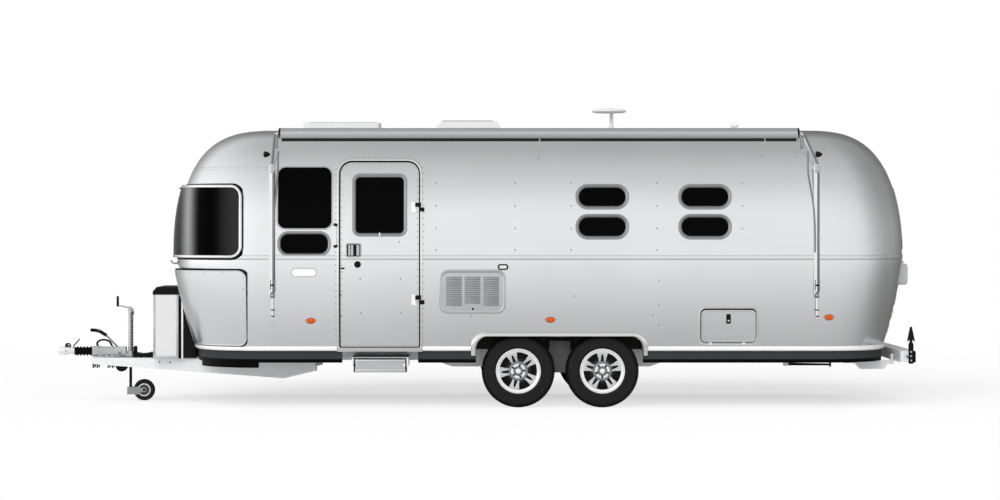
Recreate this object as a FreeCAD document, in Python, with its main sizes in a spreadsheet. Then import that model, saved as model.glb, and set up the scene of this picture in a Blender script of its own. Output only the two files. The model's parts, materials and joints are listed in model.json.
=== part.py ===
import FreeCAD, Part
import math
import os
import re
import Sketcher
from FreeCAD import Placement, Rotation, Vector

# Travel caravan: a twin-axle trailer with a rounded, riveted aluminium body.
# Millimetres. The coupling points to -X, the entry door is on the -Y side, +Z is up.
# The origin is on the ground, at the middle of the whole trailer's length and width.

doc = FreeCAD.newDocument("travel_caravan")
sheet = doc.addObject("Spreadsheet::Sheet", "sizes")

# ---------------------------------------------------------------- driving sizes
# Columns: alias, value, what it is.
SIZES = (
    # body shell
    ("front_seam", -2007, "x where the straight body meets the nose"),
    ("body_length", 5209, "length of the straight body between the two seams"),
    ("body_width", 2500, "width at the belt line"),
    ("sill_height", 552, "bottom edge of the shell"),
    ("belt_height", 1451, "belt line, where the body is widest and longest"),
    ("crown_rise", 1247, "from the belt line to the top of the roof"),
    ("side_tuck", 55, "how far each side leans in from belt to sill"),
    ("nose_reach", 1016, "from the front seam to the nose, at the belt"),
    ("tail_reach", 985, "from the rear seam to the tail, at the belt"),
    ("nose_tuck", 196, "how far the nose leans back from belt to sill"),
    ("tail_tuck", 200, "how far the tail leans in from belt to sill"),
    ("wall", 45, "thickness of walls, roof and door, lining included"),
    ("roof_split", 2480, "height where side wall and roof panel meet"),
    ("floor_thick", 48, "cabin floor"),
    ("seat_gap", 0.3, "gap left where one piece seats on another"),
    ("trim_proud", 10, "how far frames and surrounds stand off the skin"),
    ("pane_outer", 20, "depth of a pane's outer face behind the skin"),
    ("pane_thick", 8, "thickness of a window pane"),
    ("cutter_out", 90, "how far a cutting block stands out from the body side"),
    ("cutter_in", 330, "how far a cutting block reaches in from the body side"),
    ("root", 120, "how far a bracket runs in before it is trimmed to the skin"),
    # skirt under the shell
    ("skirt_height", 436, "bottom of the skirt, top of the drawbar"),
    ("skirt_inset", 10, "how far the skirt stands in from the sill edge"),
    ("skirt_thick", 50, "wall of the skirt"),
    ("lip_height", 385, "bottom of the skirt's front corners"),
    ("lip_inner", 650, "inner end of the skirt's front corners, from the middle"),
    ("lip_rear", 143, "from the front seam forward to the skirt's front corners"),
    ("lip_inset", 12, "skirt's front corners, in from the skirt's face"),
    ("recess_gap", 110, "step recess in the skirt, beyond each end of the tread"),
    ("recess_top", 7, "strip of skirt left above the step recess"),
    # wheels
    ("wheel_radius", 353, "tyre radius"),
    ("tyre_width", 215, "tyre width"),
    ("tyre_shoulder", 38, "radius of the tyre's shoulders"),
    ("front_axle_x", 351, "front axle"),
    ("axle_spacing", 811, "from the front axle to the rear axle"),
    ("wheel_inset", 152, "from the wall's inner face in to the wheel's middle plane"),
    ("rim_radius", 217, "outer radius of the alloy rim"),
    ("rim_wall", 14, "thickness of the rim's barrel"),
    ("rim_width", 186, "width of the rim's barrel"),
    ("rim_face", 62, "from the middle plane out to the back of the spokes"),
    ("spoke_thick", 24, "thickness of the spokes along the axle"),
    ("spoke_width", 22, "width of one spoke"),
    ("spoke_apart", 46, "distance between the two spokes of a pair"),
    ("hub_radius", 62, "hub of the rim"),
    ("hub_back", 30, "hub, in beyond the middle plane"),
    # axles
    ("stub_radius", 20, "axle stub that carries a wheel"),
    ("stub_fit", 0.3, "clearance between stub and hub bore"),
    ("stub_tip", 8, "stub, out beyond the back of the spokes"),
    ("arm_length", 140, "from the torsion tube back to the stub"),
    ("tube_height", 300, "centre of the torsion tubes"),
    ("tube_radius", 45, "torsion tube"),
    ("arm_width", 50, "swing arm, across the trailer"),
    ("arm_half", 30, "half the depth of a swing arm"),
    ("arm_gap", 18, "between swing arm and tyre"),
    ("hanger_half", 60, "half the length of a torsion tube's hanger"),
    ("hanger_lap", 5, "how far a hanger laps onto its tube"),
    # wheel openings and wheel boxes
    ("arch_front_gap", 55, "wheel opening, ahead of the front tyre"),
    ("arch_rear_gap", 36, "wheel opening, behind the rear tyre"),
    ("arch_top", 686, "top edge of the wheel opening"),
    ("arch_corner", 110, "corner radius of the wheel opening"),
    ("arch_trim", 48, "width of the trim round the wheel opening"),
    ("well_top", 800, "underside of the wheel box"),
    ("well_depth", 390, "from the body side in to the wheel box's inner wall"),
    ("well_wall", 6, "sheet of the wheel box"),
    ("well_gap", 4, "wheel box, in from the ends of the wheel opening"),
    # chassis
    ("rail_gauge", 1200, "distance between the two chassis rails"),
    ("rail_width", 50, "chassis rail and drawbar beam"),
    ("rail_front", 250, "from the front seam forward to the rails' front ends"),
    ("rail_rear", 650, "from the rear seam back to the rails' rear ends"),
    ("rail_belly", 64, "how much deeper the rails are over the axles"),
    ("belly_front", 820, "from the front axle forward to the start of the deep part"),
    ("belly_rear", 670, "from the rear axle back to the end of the deep part"),
    ("belly_slope", 180, "length over which the rails grow deeper"),
    ("drawbar_member", 300, "from the front seam back to the member over the drawbar's ends"),
    ("tail_member", 60, "from the rails' rear ends forward to the last member"),
    ("cross_height", 60, "height of the cross-members"),
    ("outrigger_length", 1500, "length of the cross-members that carry the steadies"),
    # drawbar
    ("nose_gauge", 150, "distance between the drawbar beams at the front"),
    ("drawbar_nose", -3895, "front end of the drawbar beams"),
    ("drawbar_length", 2342, "drawbar beam, front to rear, along the trailer"),
    ("drawbar_nose_deep", 66, "depth of the beam at its front end"),
    ("shoulder_x", 422, "from the beam's front end back to its shoulder"),
    ("shoulder_deep", 90, "depth of the beam at its shoulder"),
    ("drawbar_deep_x", 2014, "from the beam's front end back to its deepest point"),
    ("drawbar_deep", 183, "depth of the beam at its deepest point"),
    ("drawbar_tail_deep", 105, "depth of the beam at its rear end"),
    # coupling
    ("coupling_x", -4190, "middle of the ball socket"),
    ("coupling_z", 470, "mouth of the ball socket"),
    ("socket_radius", 25.2, "ball socket, for a 50 mm ball"),
    ("socket_depth", 32, "depth of the ball socket"),
    ("head_front", 60, "from the socket's middle to the front of the head"),
    ("head_length", 170, "coupling head"),
    ("head_width", 86, "coupling head"),
    ("head_height", 75, "coupling head"),
    ("head_rim", 52, "height of the head's wide part"),
    ("head_corner", 28, "corner radius of the head"),
    ("spine_width", 43, "raised middle of the head"),
    ("spine_front", 40, "from the head's front back to its raised middle"),
    ("latch_width", 30, "release lever on the head"),
    ("shaft_rise", 26, "from the socket's mouth up to the bellows' axis"),
    ("bellows_radius", 48, "rubber bellows behind the head"),
    ("housing_lap", 10, "overrun housing, ahead of the drawbar's front end"),
    ("housing_length", 345, "overrun housing"),
    ("housing_width", 110, "overrun housing"),
    ("housing_front", 84, "height of the overrun housing's front face"),
    ("housing_peak", 103, "overrun housing, where it is highest"),
    ("housing_peak_x", 190, "from the overrun housing's front back to its highest point"),
    ("housing_back", 46, "height of the overrun housing's rear face"),
    # handbrake, from its pivot
    ("lever_x", 275, "from the drawbar's front end back to the handbrake's pivot"),
    ("lever_z", 60, "from the drawbar's top up to the handbrake's pivot"),
    ("lever_side", 16, "from the housing's side out to the lever's middle"),
    ("lever_boss", 22, "radius of the handbrake's boss"),
    ("lever_radius", 9, "handbrake lever's bar"),
    ("grip_radius", 16, "handbrake lever's grip"),
    ("knee_x", 150, "forward to the lower end of the grip"),
    ("knee_z", 151, "up to the lower end of the grip"),
    ("bend_x", 230, "forward to the grip's bend"),
    ("bend_z", 204, "up to the grip's bend"),
    ("tip_x", 311, "forward to the grip's tip"),
    ("tip_z", 209, "up to the grip's tip"),
    # jockey wheel
    ("mast_x", -3519, "jockey mast"),
    ("mast_radius", 24, "outer tube of the jockey"),
    ("mast_wall", 3.7, "wall of the outer tube"),
    ("mast_bottom", 346, "lower end of the outer tube"),
    ("mast_top", 925, "upper end of the outer tube"),
    ("mast_cap", 6, "closed top of the outer tube"),
    ("clamp_width", 330, "bracket across the beams that holds the mast"),
    ("clamp_length", 68, "the same bracket, along the trailer"),
    ("clamp_height", 40, "the same bracket, up from the drawbar"),
    ("stem_radius", 20, "inner tube of the jockey"),
    ("stem_bottom", 140, "lower end of the inner tube"),
    ("stem_drop", 140, "from the mast's top down to the inner tube's top"),
    ("crank_rise", 20, "from the mast's top to the top of the crank arm"),
    ("crank_arm", 130, "crank arm"),
    ("crank_width", 20, "crank arm, across"),
    ("crank_thick", 12, "crank arm, up"),
    ("crank_radius", 8, "crank's spindle"),
    ("crank_grip", 105, "crank handle"),
    ("crank_grip_radius", 13, "crank handle"),
    ("caster_trail", 30, "from the mast's axis back to the jockey wheel's rim"),
    ("jockey_radius", 108, "jockey wheel"),
    ("jockey_width", 50, "jockey wheel"),
    ("jockey_round", 12, "radius of the jockey wheel's shoulders"),
    ("fork_plate", 6, "plates of the jockey's fork"),
    ("fork_gap", 5, "between fork plate and jockey wheel"),
    ("fork_front", 34, "fork, ahead of the mast's axis"),
    ("fork_back", 24, "fork's crown, behind the mast's axis"),
    ("fork_low", 60, "underside of the fork"),
    ("fork_lug", 24, "fork, beyond the jockey wheel's axle"),
    ("caster_pin", 8, "axle of the jockey wheel"),
    ("caster_head", 4, "the same axle's ends, beyond the fork"),
    # corner steadies
    ("steady_pivot_z", 400, "pivot of the corner steadies"),
    ("steady_pivot_y", 700, "pivot of the corner steadies, from the middle"),
    ("steady_front", 193, "from the front seam forward to the steadies' pivots"),
    ("steady_rear", 222, "from the rear seam forward to the steadies' pivots"),
    ("steady_length", 430, "corner steady, pivot to foot"),
    ("steady_width", 40, "corner steady's leg"),
    ("steady_deep", 26, "depth of the corner steady's leg"),
    ("steady_taper", 8, "how much shallower the leg is at its foot"),
    ("steady_heel", 18, "corner steady's leg, behind its pivot"),
    ("foot_width", 90, "foot plate of the corner steady"),
    ("foot_thick", 9, "foot plate of the corner steady"),
    ("foot_rim", 12, "foot plate, beyond the leg above and below"),
    ("ear_half", 22, "half the length of the ears that hold a steady"),
    ("ear_thick", 6, "ears that hold a steady"),
    ("ear_gap", 4, "between a steady's leg and its ears"),
    ("ear_drop", 16, "ears, below the steadies' pivots"),
    ("pin_radius", 6, "pivot pins"),
    ("pin_fit", 0.3, "clearance round a pivot pin"),
    # entry step
    ("step_front", 772, "from the front seam back to the front edge of the tread"),
    ("step_length", 510, "step tread, along the trailer"),
    ("step_depth", 250, "step tread, across the trailer"),
    ("step_top", 467, "top of the step's tray"),
    ("step_inset", 62, "from the body side in to the tread's edge"),
    ("tray_thick", 40, "step tray"),
    ("riser_inset", 30, "riser under the tray, in from the tread's ends"),
    ("riser_thick", 10, "riser under the tray"),
    ("riser_height", 27, "riser under the tray"),
    ("step_lip", 57, "height of the step's lower lip"),
    ("step_lip_thick", 28, "the step's lower lip"),
    ("step_side", 18, "side plates of the step"),
    ("step_side_low", 66, "side plates, below the tray's top"),
    ("step_side_high", 15, "side plates, above the tray's top"),
    ("step_cover", 6, "plate above the tray"),
    ("step_cover_inset", 120, "from the body side in to the plate above the tray"),
    ("step_slack", 0.3, "clearance between the sliding tread and its side plates"),
    # entry door
    ("door_x", 1024.5, "from the front seam back to the middle of the door"),
    ("door_length", 755, "door leaf"),
    ("door_bottom", 590, "bottom edge of the door leaf"),
    ("door_height", 1776, "door leaf"),
    ("door_corner", 110, "corner radius of the door leaf"),
    ("door_gap", 12, "gap between the door leaf and its surround"),
    ("door_trim", 22, "width of the door surround"),
    ("door_swing_gap", 22, "wall opening ahead of the latch, where the leaf's edge sweeps"),
    ("door_hinge_gap", 8, "from the leaf's rear edge to the hinge axis"),
    ("hinge_out", 18, "from the belt line out to the hinge axis"),
    ("hinge_radius", 8, "door hinge barrel"),
    ("hinge_height", 90, "door hinge"),
    ("hinge_leaf", 44, "door hinge, from its axis to the end of a leaf"),
    ("hinge_plate", 10, "door hinge's leaves"),
    ("hinge_low", 451, "from the leaf's bottom edge to the lower hinge"),
    ("hinge_high", 1344, "from the leaf's bottom edge to the upper hinge"),
    ("door_pane_z", 1954, "middle of the door's window"),
    ("door_pane_length", 450, "door window"),
    ("door_pane_height", 528, "door window"),
    ("door_pane_corner", 36, "corner radius of the door window"),
    ("door_pane_trim", 40, "frame of the door window"),
    ("handle_x", 250, "from the leaf's middle forward to the handle"),
    ("handle_z", 1519, "middle of the handle"),
    ("handle_length", 144, "handle bezel"),
    ("handle_height", 130, "handle bezel"),
    ("handle_corner", 10, "corner radius of the handle bezel"),
    ("knob_x", 165, "from the leaf's front edge back to the lock knob"),
    ("knob_z", 1382, "door lock knob"),
    ("knob_radius", 33, "door lock knob"),
    ("grab_x", 427, "from the door's middle forward to the grab handle"),
    ("grab_z", 1660, "middle of the grab handle"),
    ("grab_length", 240, "grab handle"),
    ("grab_radius", 10, "grab handle's bar"),
    ("grab_post", 14, "from the grab handle's ends in to its posts"),
    ("grab_out", 42, "grab handle's bar, out from the skin"),
    # hatches, one on each side
    ("hatch_x", 832, "from the rear seam forward to the middle of the hatch"),
    ("hatch_length", 528, "hatch leaf"),
    ("hatch_bottom", 633, "bottom edge of the hatch leaf"),
    ("hatch_height", 312, "hatch leaf"),
    ("hatch_corner", 45, "corner radius of the hatch leaf"),
    ("hatch_gap", 6, "gap round the hatch leaf"),
    ("hatch_top_gap", 14, "gap above the hatch leaf, where its edge sweeps"),
    ("hatch_trim", 16, "frame round the hatch"),
    ("hatch_hinge_drop", 5, "from the leaf's bottom edge down to the hinge axis"),
    ("hatch_hinge_in", 31, "from the belt line's width in to the hatch hinge axis"),
    ("hatch_hinge_radius", 5, "hatch hinge barrel"),
    ("hatch_hinge_length", 60, "hatch hinge barrel"),
    ("hatch_hinge_apart", 320, "distance between a hatch's two hinges"),
    ("hatch_tab", 22, "how far a hinge tab laps over the hatch leaf"),
    ("hatch_tab_out", 2, "hinge tabs, out from the hatch hinge's axis"),
    ("hatch_tab_margin", 1, "hinge tabs on the frame, in from the frame's edges"),
    # fridge vent
    ("vent_x", 1916, "from the front seam back to the middle of the fridge vent"),
    ("vent_z", 1121, "middle of the fridge vent"),
    ("vent_length", 618, "fridge vent"),
    ("vent_height", 414, "fridge vent"),
    ("vent_corner", 40, "corner radius of the fridge vent"),
    ("vent_rim", 30, "flat rim of the vent, on the wall round its opening"),
    ("louvre_pitch", 34, "from one louvre to the next"),
    ("louvre_height", 12, "height of a louvre's slot"),
    ("louvre_length", 154, "length of a louvre's slot"),
    ("louvre_apart", 179, "from one column of louvres to the next"),
    # front rock guard
    ("guard_bottom", 1445, "bottom edge of the window's rock guard"),
    ("guard_top", 2140, "top edge of the window's rock guard"),
    ("guard_out", 40, "from the skin out to the guard's inner face"),
    ("guard_thick", 6, "thickness of the guard"),
    ("guard_rear", 293, "from the front seam forward to the guard's rear edges"),
    ("guard_corner", 110, "corner radius of the guard's rear edges"),
    ("guard_barrel", 8, "radius of the guard's hinge barrels"),
    ("guard_barrel_gap", 6, "between the guard's top edge and its hinge barrels"),
    ("guard_barrel_drop", 12, "from the guard's top edge down to its hinge axis"),
    ("guard_hinge_y", 210, "guard hinges, from the middle"),
    ("guard_hinge_length", 70, "guard hinge"),
    ("guard_tab_thick", 2, "guard's hinge tab, ahead of the hinge axis"),
    ("guard_tab_reach", 40, "guard's hinge tab, back from the hinge axis to the guard"),
    ("guard_tab_high", 6, "from the guard's hinge axis down to the tab's top"),
    ("guard_tab_low", 30, "from the guard's hinge axis down to the tab's foot"),
    ("front_glass_bottom", 1520, "front windows"),
    ("front_glass_top", 2080, "front windows"),
    ("front_glass_rear", 413, "from the front seam forward to the front windows"),
    ("pillar_inner", 520, "window pillar, from the middle to its inner edge"),
    ("pillar_outer", 600, "window pillar, from the middle to its outer edge"),
    # stone guards
    ("stone_bottom", 600, "bottom edge of the stone guards"),
    ("stone_top", 1325, "top edge of the stone guards"),
    ("stone_out_low", 16, "stone guard's stand-off at its bottom edge"),
    ("stone_out_high", 48, "stone guard's stand-off at its top edge"),
    ("stone_thick", 3, "sheet of the stone guards"),
    ("stone_foot", 14, "height of the strip that joins a stone guard to the skin"),
    ("stone_inner", 415, "stone guard's inner edge, from the middle"),
    ("stone_rear", 253, "from the front seam forward to the stone guards' rear edges"),
    # gas locker
    ("locker_rear", -3000, "rear wall of the gas locker"),
    ("locker_depth", 250, "gas locker, along the trailer"),
    ("locker_width", 800, "gas locker"),
    ("locker_height", 635, "gas locker, without its lid"),
    ("locker_wall", 4, "sheet of the gas locker"),
    ("locker_corner", 20, "corner radius of the gas locker"),
    ("lid_height", 77, "gas locker lid"),
    ("lid_front", 35, "height of the lid's front face"),
    ("lid_slope", 34, "how far the lid's front edge slopes back"),
    ("lid_lap", 4, "how far the lid stands out over the locker"),
    ("lid_wall", 5, "thickness of the lid"),
    ("lid_hinge", 60, "lid's hinge plate"),
    # awning
    ("awning_front", 60, "from the front seam back to the roller"),
    ("awning_rear", 156, "from the rear seam forward to the roller"),
    ("roller_radius", 50, "awning roller"),
    ("roller_y", 1170, "awning roller, from the middle"),
    ("roller_z", 2645, "awning roller"),
    ("front_arm_out", 64, "from the roller's front end forward to its arm"),
    ("rear_arm_out", 170, "from the roller's rear end back to its arm"),
    ("front_head_out", 34, "from the roller's front end forward to the arm's head"),
    ("rear_head_out", 36, "from the roller's rear end back to the arm's head"),
    ("arm_bottom", 869, "lower end of the awning arms"),
    ("arm_knee", 2350, "where the awning arms bend in to the roller"),
    ("arm_radius", 11, "awning arm's inner tube"),
    ("arm_bend", 13, "radius of the joint where an awning arm bends"),
    ("arm_out", 15, "awning arms, out from the belt line"),
    ("channel_low", 1100, "lower end of an awning arm's outer channel"),
    ("channel_width", 32, "awning arm's outer channel, along the trailer"),
    ("channel_depth", 20, "awning arm's outer channel, across the trailer"),
    ("arm_axle", 14, "radius of the axle at each end of the roller"),
    ("arm_foot", 28, "feet that hold the awning arms to the body"),
    ("arm_foot_low", 14, "from an arm's lower end up to its lower foot"),
    ("arm_foot_high", 60, "from an arm's bend down to its upper foot"),
    # roof
    ("skylight_x", 619, "from the front seam back to the middle of the skylight"),
    ("skylight_length", 762, "skylight"),
    ("skylight_width", 520, "skylight"),
    ("skylight_rise", 82, "skylight, above the roof"),
    ("skylight_corner", 40, "corner radius of the skylight"),
    ("skylight_wall", 12, "thickness of the skylight's top"),
    ("roof_frame", 60, "width of a roof fitting's frame, round the hole in the roof"),
    ("roof_lap", 60, "how far a roof fitting reaches down before it is trimmed"),
    ("roof_vent_x", 1878.5, "from the front seam back to the middle of the roof vent"),
    ("roof_vent_length", 647, "roof vent"),
    ("roof_vent_width", 460, "roof vent"),
    ("roof_vent_rise", 30, "roof vent's base"),
    ("roof_vent_lid", 98, "top of the roof vent's lid, above the roof"),
    ("roof_vent_front", 60, "how far the lid's front end slopes in"),
    ("roof_vent_rear", 30, "how far the lid's rear end slopes in"),
    ("roof_vent_wall", 10, "thickness of the lid"),
    ("dish_x", 1916, "from the rear seam forward to the aerial's disc"),
    ("dish_radius", 173, "aerial's disc"),
    ("dish_bottom", 2885, "underside of the aerial's disc"),
    ("dish_height", 46, "aerial's disc"),
    ("stalk_radius", 18, "aerial's stalk"),
    ("stalk_x", 24, "from the disc's middle back to the stalk"),
    ("dish_foot", 430, "aerial's foot, along the roof"),
    ("dish_foot_width", 90, "aerial's foot"),
    ("dish_foot_rise", 34, "aerial's foot, above the roof"),
    ("cap_vent_x", 659, "from the rear seam forward to the small roof vent"),
    ("cap_vent_radius", 45, "small roof vent's cap"),
    ("cap_vent_top", 27, "small roof vent's cap, at its top"),
    ("cap_vent_cone", 26, "height of the small roof vent's cap"),
    ("cap_vent_pipe", 26, "radius of the small roof vent's pipe"),
    ("cap_vent_rise", 88, "small roof vent"),
    # tail
    ("bumper_rear", 988, "from the rear seam back to the bumper's rear face"),
    ("bumper_depth", 150, "bumper, along the trailer"),
    ("bumper_bottom", 436, "bumper"),
    ("bumper_height", 110, "bumper"),
    ("bumper_width", 2160, "bumper"),
    ("bumper_corner", 36, "corner radius of the bumper"),
    ("bracket_front", 440, "from the rear seam back to the bumper brackets' front ends"),
    ("bracket_slope", 80, "length over which a bumper bracket deepens"),
    ("bracket_length", 231, "length of a bumper bracket's deep part"),
    ("bracket_deep", 88, "depth of a bumper bracket's deep part"),
    ("bracket_thin", 40, "depth of a bumper bracket behind its deep part"),
    ("bracket_rise", 60, "a bumper bracket's upright, above the bumper's underside"),
    ("bracket_lap", 10, "a bumper bracket's upright, into the bumper"),
    ("bracket_thick", 30, "a bumper bracket's upright, along the trailer"),
    ("marker_x", 903, "from the rear seam back to the marker arms"),
    ("marker_reach", 1300, "tip of a marker arm, from the middle"),
    ("marker_low", 430, "lower end of the marker arms"),
    ("marker_high", 790, "upper end of the marker arms"),
    ("marker_width", 50, "marker arm, across the trailer"),
    ("marker_stem", 48, "bar that carries a marker arm, along the trailer"),
    ("marker_stem_low", 30, "the same bar, up from the bumper's underside"),
    ("marker_stem_high", 70, "the same bar's top, up from the bumper's underside"),
    ("rear_glass_length", 900, "rear window"),
    ("rear_glass_bottom", 1560, "rear window"),
    ("rear_glass_height", 540, "rear window"),
    ("rear_glass_corner", 90, "corner radius of the rear window"),
    ("plate_rear", 1026, "from the rear seam back to the number plate's face"),
    ("plate_bottom", 1167, "number plate's holder"),
    ("plate_height", 210, "number plate's holder"),
    ("plate_width", 540, "number plate's holder"),
    ("plate_lamp", 22, "lamp above the number plate, out from its face"),
    ("plate_lamp_width", 120, "lamp above the number plate"),
    ("plate_lamp_height", 36, "lamp above the number plate"),
)

# Side windows. Columns: name, side (-1 is the door side), seam it is measured from,
# x from that seam, z, glass length, glass height, corner radius, frame width.
WINDOWS = (
    ("bedroom_left", -1, "front", 305.5, 2022, 513, 584, 72, 14),
    ("bedroom_low_left", -1, "front", 299, 1581, 442, 172, 70, 36),
    ("lounge_left_high", -1, "rear", -2047, 2033, 437, 167, 80, 40),
    ("lounge_left_low", -1, "rear", -2047, 1745, 437, 167, 80, 40),
    ("rear_left_high", -1, "rear", -1060, 2033, 437, 167, 80, 40),
    ("rear_left_low", -1, "rear", -1060, 1745, 437, 167, 80, 40),
    ("bedroom_right", 1, "front", 305.5, 2022, 513, 584, 72, 14),
    ("dinette_right", 1, "front", 1907, 1850, 1000, 560, 90, 30),
    ("rear_right_high", 1, "rear", -1060, 2033, 437, 167, 80, 40),
    ("rear_right_low", 1, "rear", -1060, 1745, 437, 167, 80, 40),
)
WINDOW_SIZES = ("x", "z", "length", "height", "corner", "frame")

# Side lamps. Columns: name, panel it sits on, seam it is measured from, how many sides have
# one, x from that seam, z, length, height.
LAMPS = (
    ("marker_front", "side", "front", 2, 361, 840, 112, 55),
    ("marker_middle", "side", "front", 2, 2665, 850, 112, 55),
    ("marker_rear", "tail", "rear", 2, 134, 874, 108, 48),
    ("clearance_front", "nose", "front", 2, -76, 2443, 60, 48),
    ("clearance_rear", "tail", "rear", 2, 40, 2440, 50, 48),
    ("porch_lamp", "side", "front", 1, 2209, 1358, 100, 56),
)
LAMP_SIZES = ("x", "z", "length", "height")
LAMP_ROUND = 0.42    # a lamp's corner radius, as a share of its shorter side

# Side view of a marker arm's blade. Columns: along X, share of its height.
MARKER_BLADE = ((-36, 0), (36, 0), (52, 0.5), (8, 1), (-20, 0.5))

SUPER_ROUND = 4.4    # exponent of the cross-section above the belt line
PLAN_ROUND = 2.6     # exponent of the nose and tail seen from above
NOSE_ROUND = (3.2, 2.4)    # exponents of the nose's side view above the belt line
TAIL_ROUND = (3.1, 2.15)   # the same for the tail
SILL_CURVE = 1.5     # how the sides curve in below the belt line
END_CURVE = 1.4      # how the nose and tail curve in below the belt line
BELOW = (1.0, 0.72, 0.4, 0.15)    # levels below the belt line, as shares of the drop
PLAN_ANGLES = (0, 8, 20, 45, 70, 82, 90)    # where arcs meet on each half of the nose and tail
ABOVE = (0, 0.25, 0.45, 0.61, 0.73, 0.82, 0.885, 0.935, 0.97, 0.985, 0.993)   # and above it


def fill_sheet():
    """Write every driving size into the sheet, one row each, with its alias."""
    rows = list(SIZES)
    for table, names, first, about in (
        (WINDOWS, WINDOW_SIZES, 3, "side window"), (LAMPS, LAMP_SIZES, 4, "side lamp"),
    ):
        for row in table:
            rows += [("%s_%s" % (row[0], name), value, about) for name, value in zip(names, row[first:])]
    for line, (alias, value, about) in enumerate(rows, start=1):
        sheet.set("A%d" % line, about)
        sheet.set("B%d" % line, str(value))
        sheet.setAlias("B%d" % line, alias)
    doc.recompute()
    return {row[0] for row in rows}


ALIASES = fill_sheet()
FRONT = "front_seam"
REAR = "(front_seam + body_length)"
SEAM = {"front": FRONT, "rear": REAR}
HALF = "(body_width / 2)"
ROOF = "(belt_height + crown_rise)"


# ---------------------------------------------------------------- helpers
def size(alias):
    """A driving size, read from the sheet."""
    return float(sheet.get(alias))


def terms(text):
    """An expression in which each size's name points at its cell."""
    def point(word):
        return "sizes." + word.group() if word.group() in ALIASES else word.group()

    return re.sub(r"[a-z_]+", point, str(text))


def bind(thing, **properties):
    """Bind each property to an expression in the sheet's sizes."""
    for name, text in properties.items():
        thing.setExpression(name.replace("__", "."), terms(text))
    return thing


def place(thing, at, turn=None):
    """Bind a thing's position; its rotation is fixed."""
    if turn:
        thing.Placement = Placement(Vector(), turn)
    for axis, text in zip("xyz", at):
        thing.setExpression("Placement.Base." + axis, terms(text))
    return thing


def new(kind, label):
    thing = doc.addObject(kind, label)
    thing.Label = label
    return thing


def box(label, low, high):
    """A block between two corners, whose coordinates are expressions."""
    block = bind(
        new("Part::Box", label),
        Length="(%s) - (%s)" % (high[0], low[0]),
        Width="(%s) - (%s)" % (high[1], low[1]),
        Height="(%s) - (%s)" % (high[2], low[2]),
    )
    return place(block, low)


AXIS_TURN = {
    "X": Rotation(Vector(0, 1, 0), 90),
    "Y": Rotation(Vector(1, 0, 0), -90),
    "Z": Rotation(),
}


def cylinder(label, radius, length, start, axis):
    """A round bar from a start point along +X, +Y or +Z."""
    bar = bind(new("Part::Cylinder", label), Radius=radius, Height=length)
    return place(bar, start, AXIS_TURN[axis])


def cone(label, radius_low, radius_high, length, start, axis):
    body = bind(new("Part::Cone", label), Radius1=radius_low, Radius2=radius_high, Height=length)
    return place(body, start, AXIS_TURN[axis])


def fuse(label, *pieces):
    joined = new("Part::MultiFuse", label)
    joined.Shapes = list(pieces)
    joined.Refine = True
    return joined


def cut(label, base, *tools):
    """A base with one or more tools taken away."""
    result = new("Part::Cut", label)
    result.Base = base
    result.Tool = tools[0] if len(tools) == 1 else together(label + "_tools", *tools)
    return result


def together(label, *pieces):
    """Pieces that share a node without touching, or a set of cutting tools."""
    group = new("Part::Compound", label)
    group.Links = list(pieces)
    return group


def common(label, one, other):
    result = new("Part::Common", label)
    result.Base = one
    result.Tool = other
    return result


def mirrored(label, source):
    """The same piece on the other side of the trailer."""
    copy = new("Part::Mirroring", label)
    copy.Source = source
    copy.Normal = Vector(0, 1, 0)
    return copy


def both_sides(label, piece):
    return together(label, piece, mirrored(label + "_mirrored", piece))


def fillet_along(label, block, direction, radius):
    """Round a block's edges that run along one direction."""
    block.recompute()
    rounded = new("Part::Fillet", label)
    rounded.Base = block
    edges = []
    for number, edge in enumerate(block.Shape.Edges, start=1):
        run = edge.Vertexes[-1].Point - edge.Vertexes[0].Point
        if run.Length > 0 and run.normalize().cross(direction).Length < 0.001:
            edges.append((number, radius, radius))
    rounded.Edges = edges
    return rounded


def side_block(label, low_x, high_x, low_z, high_z):
    """A cutting block that runs through the door side of the body."""
    return box(label, (low_x, "-%s - cutter_out" % HALF, low_z), (high_x, "-%s + cutter_in" % HALF, high_z))


def side_prism(label, side, x_mid, z_mid, length, height, corner, grow="0"):
    """A rounded block that runs through one side of the body, for openings and frames."""
    low_y, high_y = "-%s - cutter_out" % HALF, "-%s + cutter_in" % HALF
    if side > 0:
        low_y, high_y = HALF + " - cutter_in", HALF + " + cutter_out"
    half_x, half_z = ("((%s) / 2 + (%s))" % (extent, grow) for extent in (length, height))
    block = box(
        label + "_block",
        ("%s - %s" % (x_mid, half_x), low_y, "%s - %s" % (z_mid, half_z)),
        ("%s + %s" % (x_mid, half_x), high_y, "%s + %s" % (z_mid, half_z)),
    )
    return fillet_along(label, block, Vector(0, 1, 0), max(corner, 1))


def sketch(label, points):
    """A closed outline; each corner's two distances from the origin are expressions."""
    outline = new("Sketcher::SketchObject", label)
    count = len(points)
    turns = [math.tau * i / count for i in range(count)]
    ring = [Vector(math.cos(turn), math.sin(turn), 0) * 100 for turn in turns]
    for i in range(count):
        outline.addGeometry(Part.LineSegment(ring[i], ring[(i + 1) % count]))
    for i in range(count):
        outline.addConstraint(Sketcher.Constraint("Coincident", i, 2, (i + 1) % count, 1))
    for i, corner in enumerate(points):
        for kind, name, start, text in zip(("DistanceX", "DistanceY"), "uv", ring[i], corner):
            number = outline.addConstraint(Sketcher.Constraint(kind, -1, 1, i, 1, start))
            outline.renameConstraint(number, "%s_%d" % (name, i))
            outline.setExpression("Constraints.%s_%d" % (name, i), terms(text))
    return outline


def extrude(label, outline, length):
    solid = new("Part::Extrusion", label)
    solid.Base = outline
    solid.DirMode = "Normal"
    solid.Solid = True
    return bind(solid, LengthFwd=length)


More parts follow.
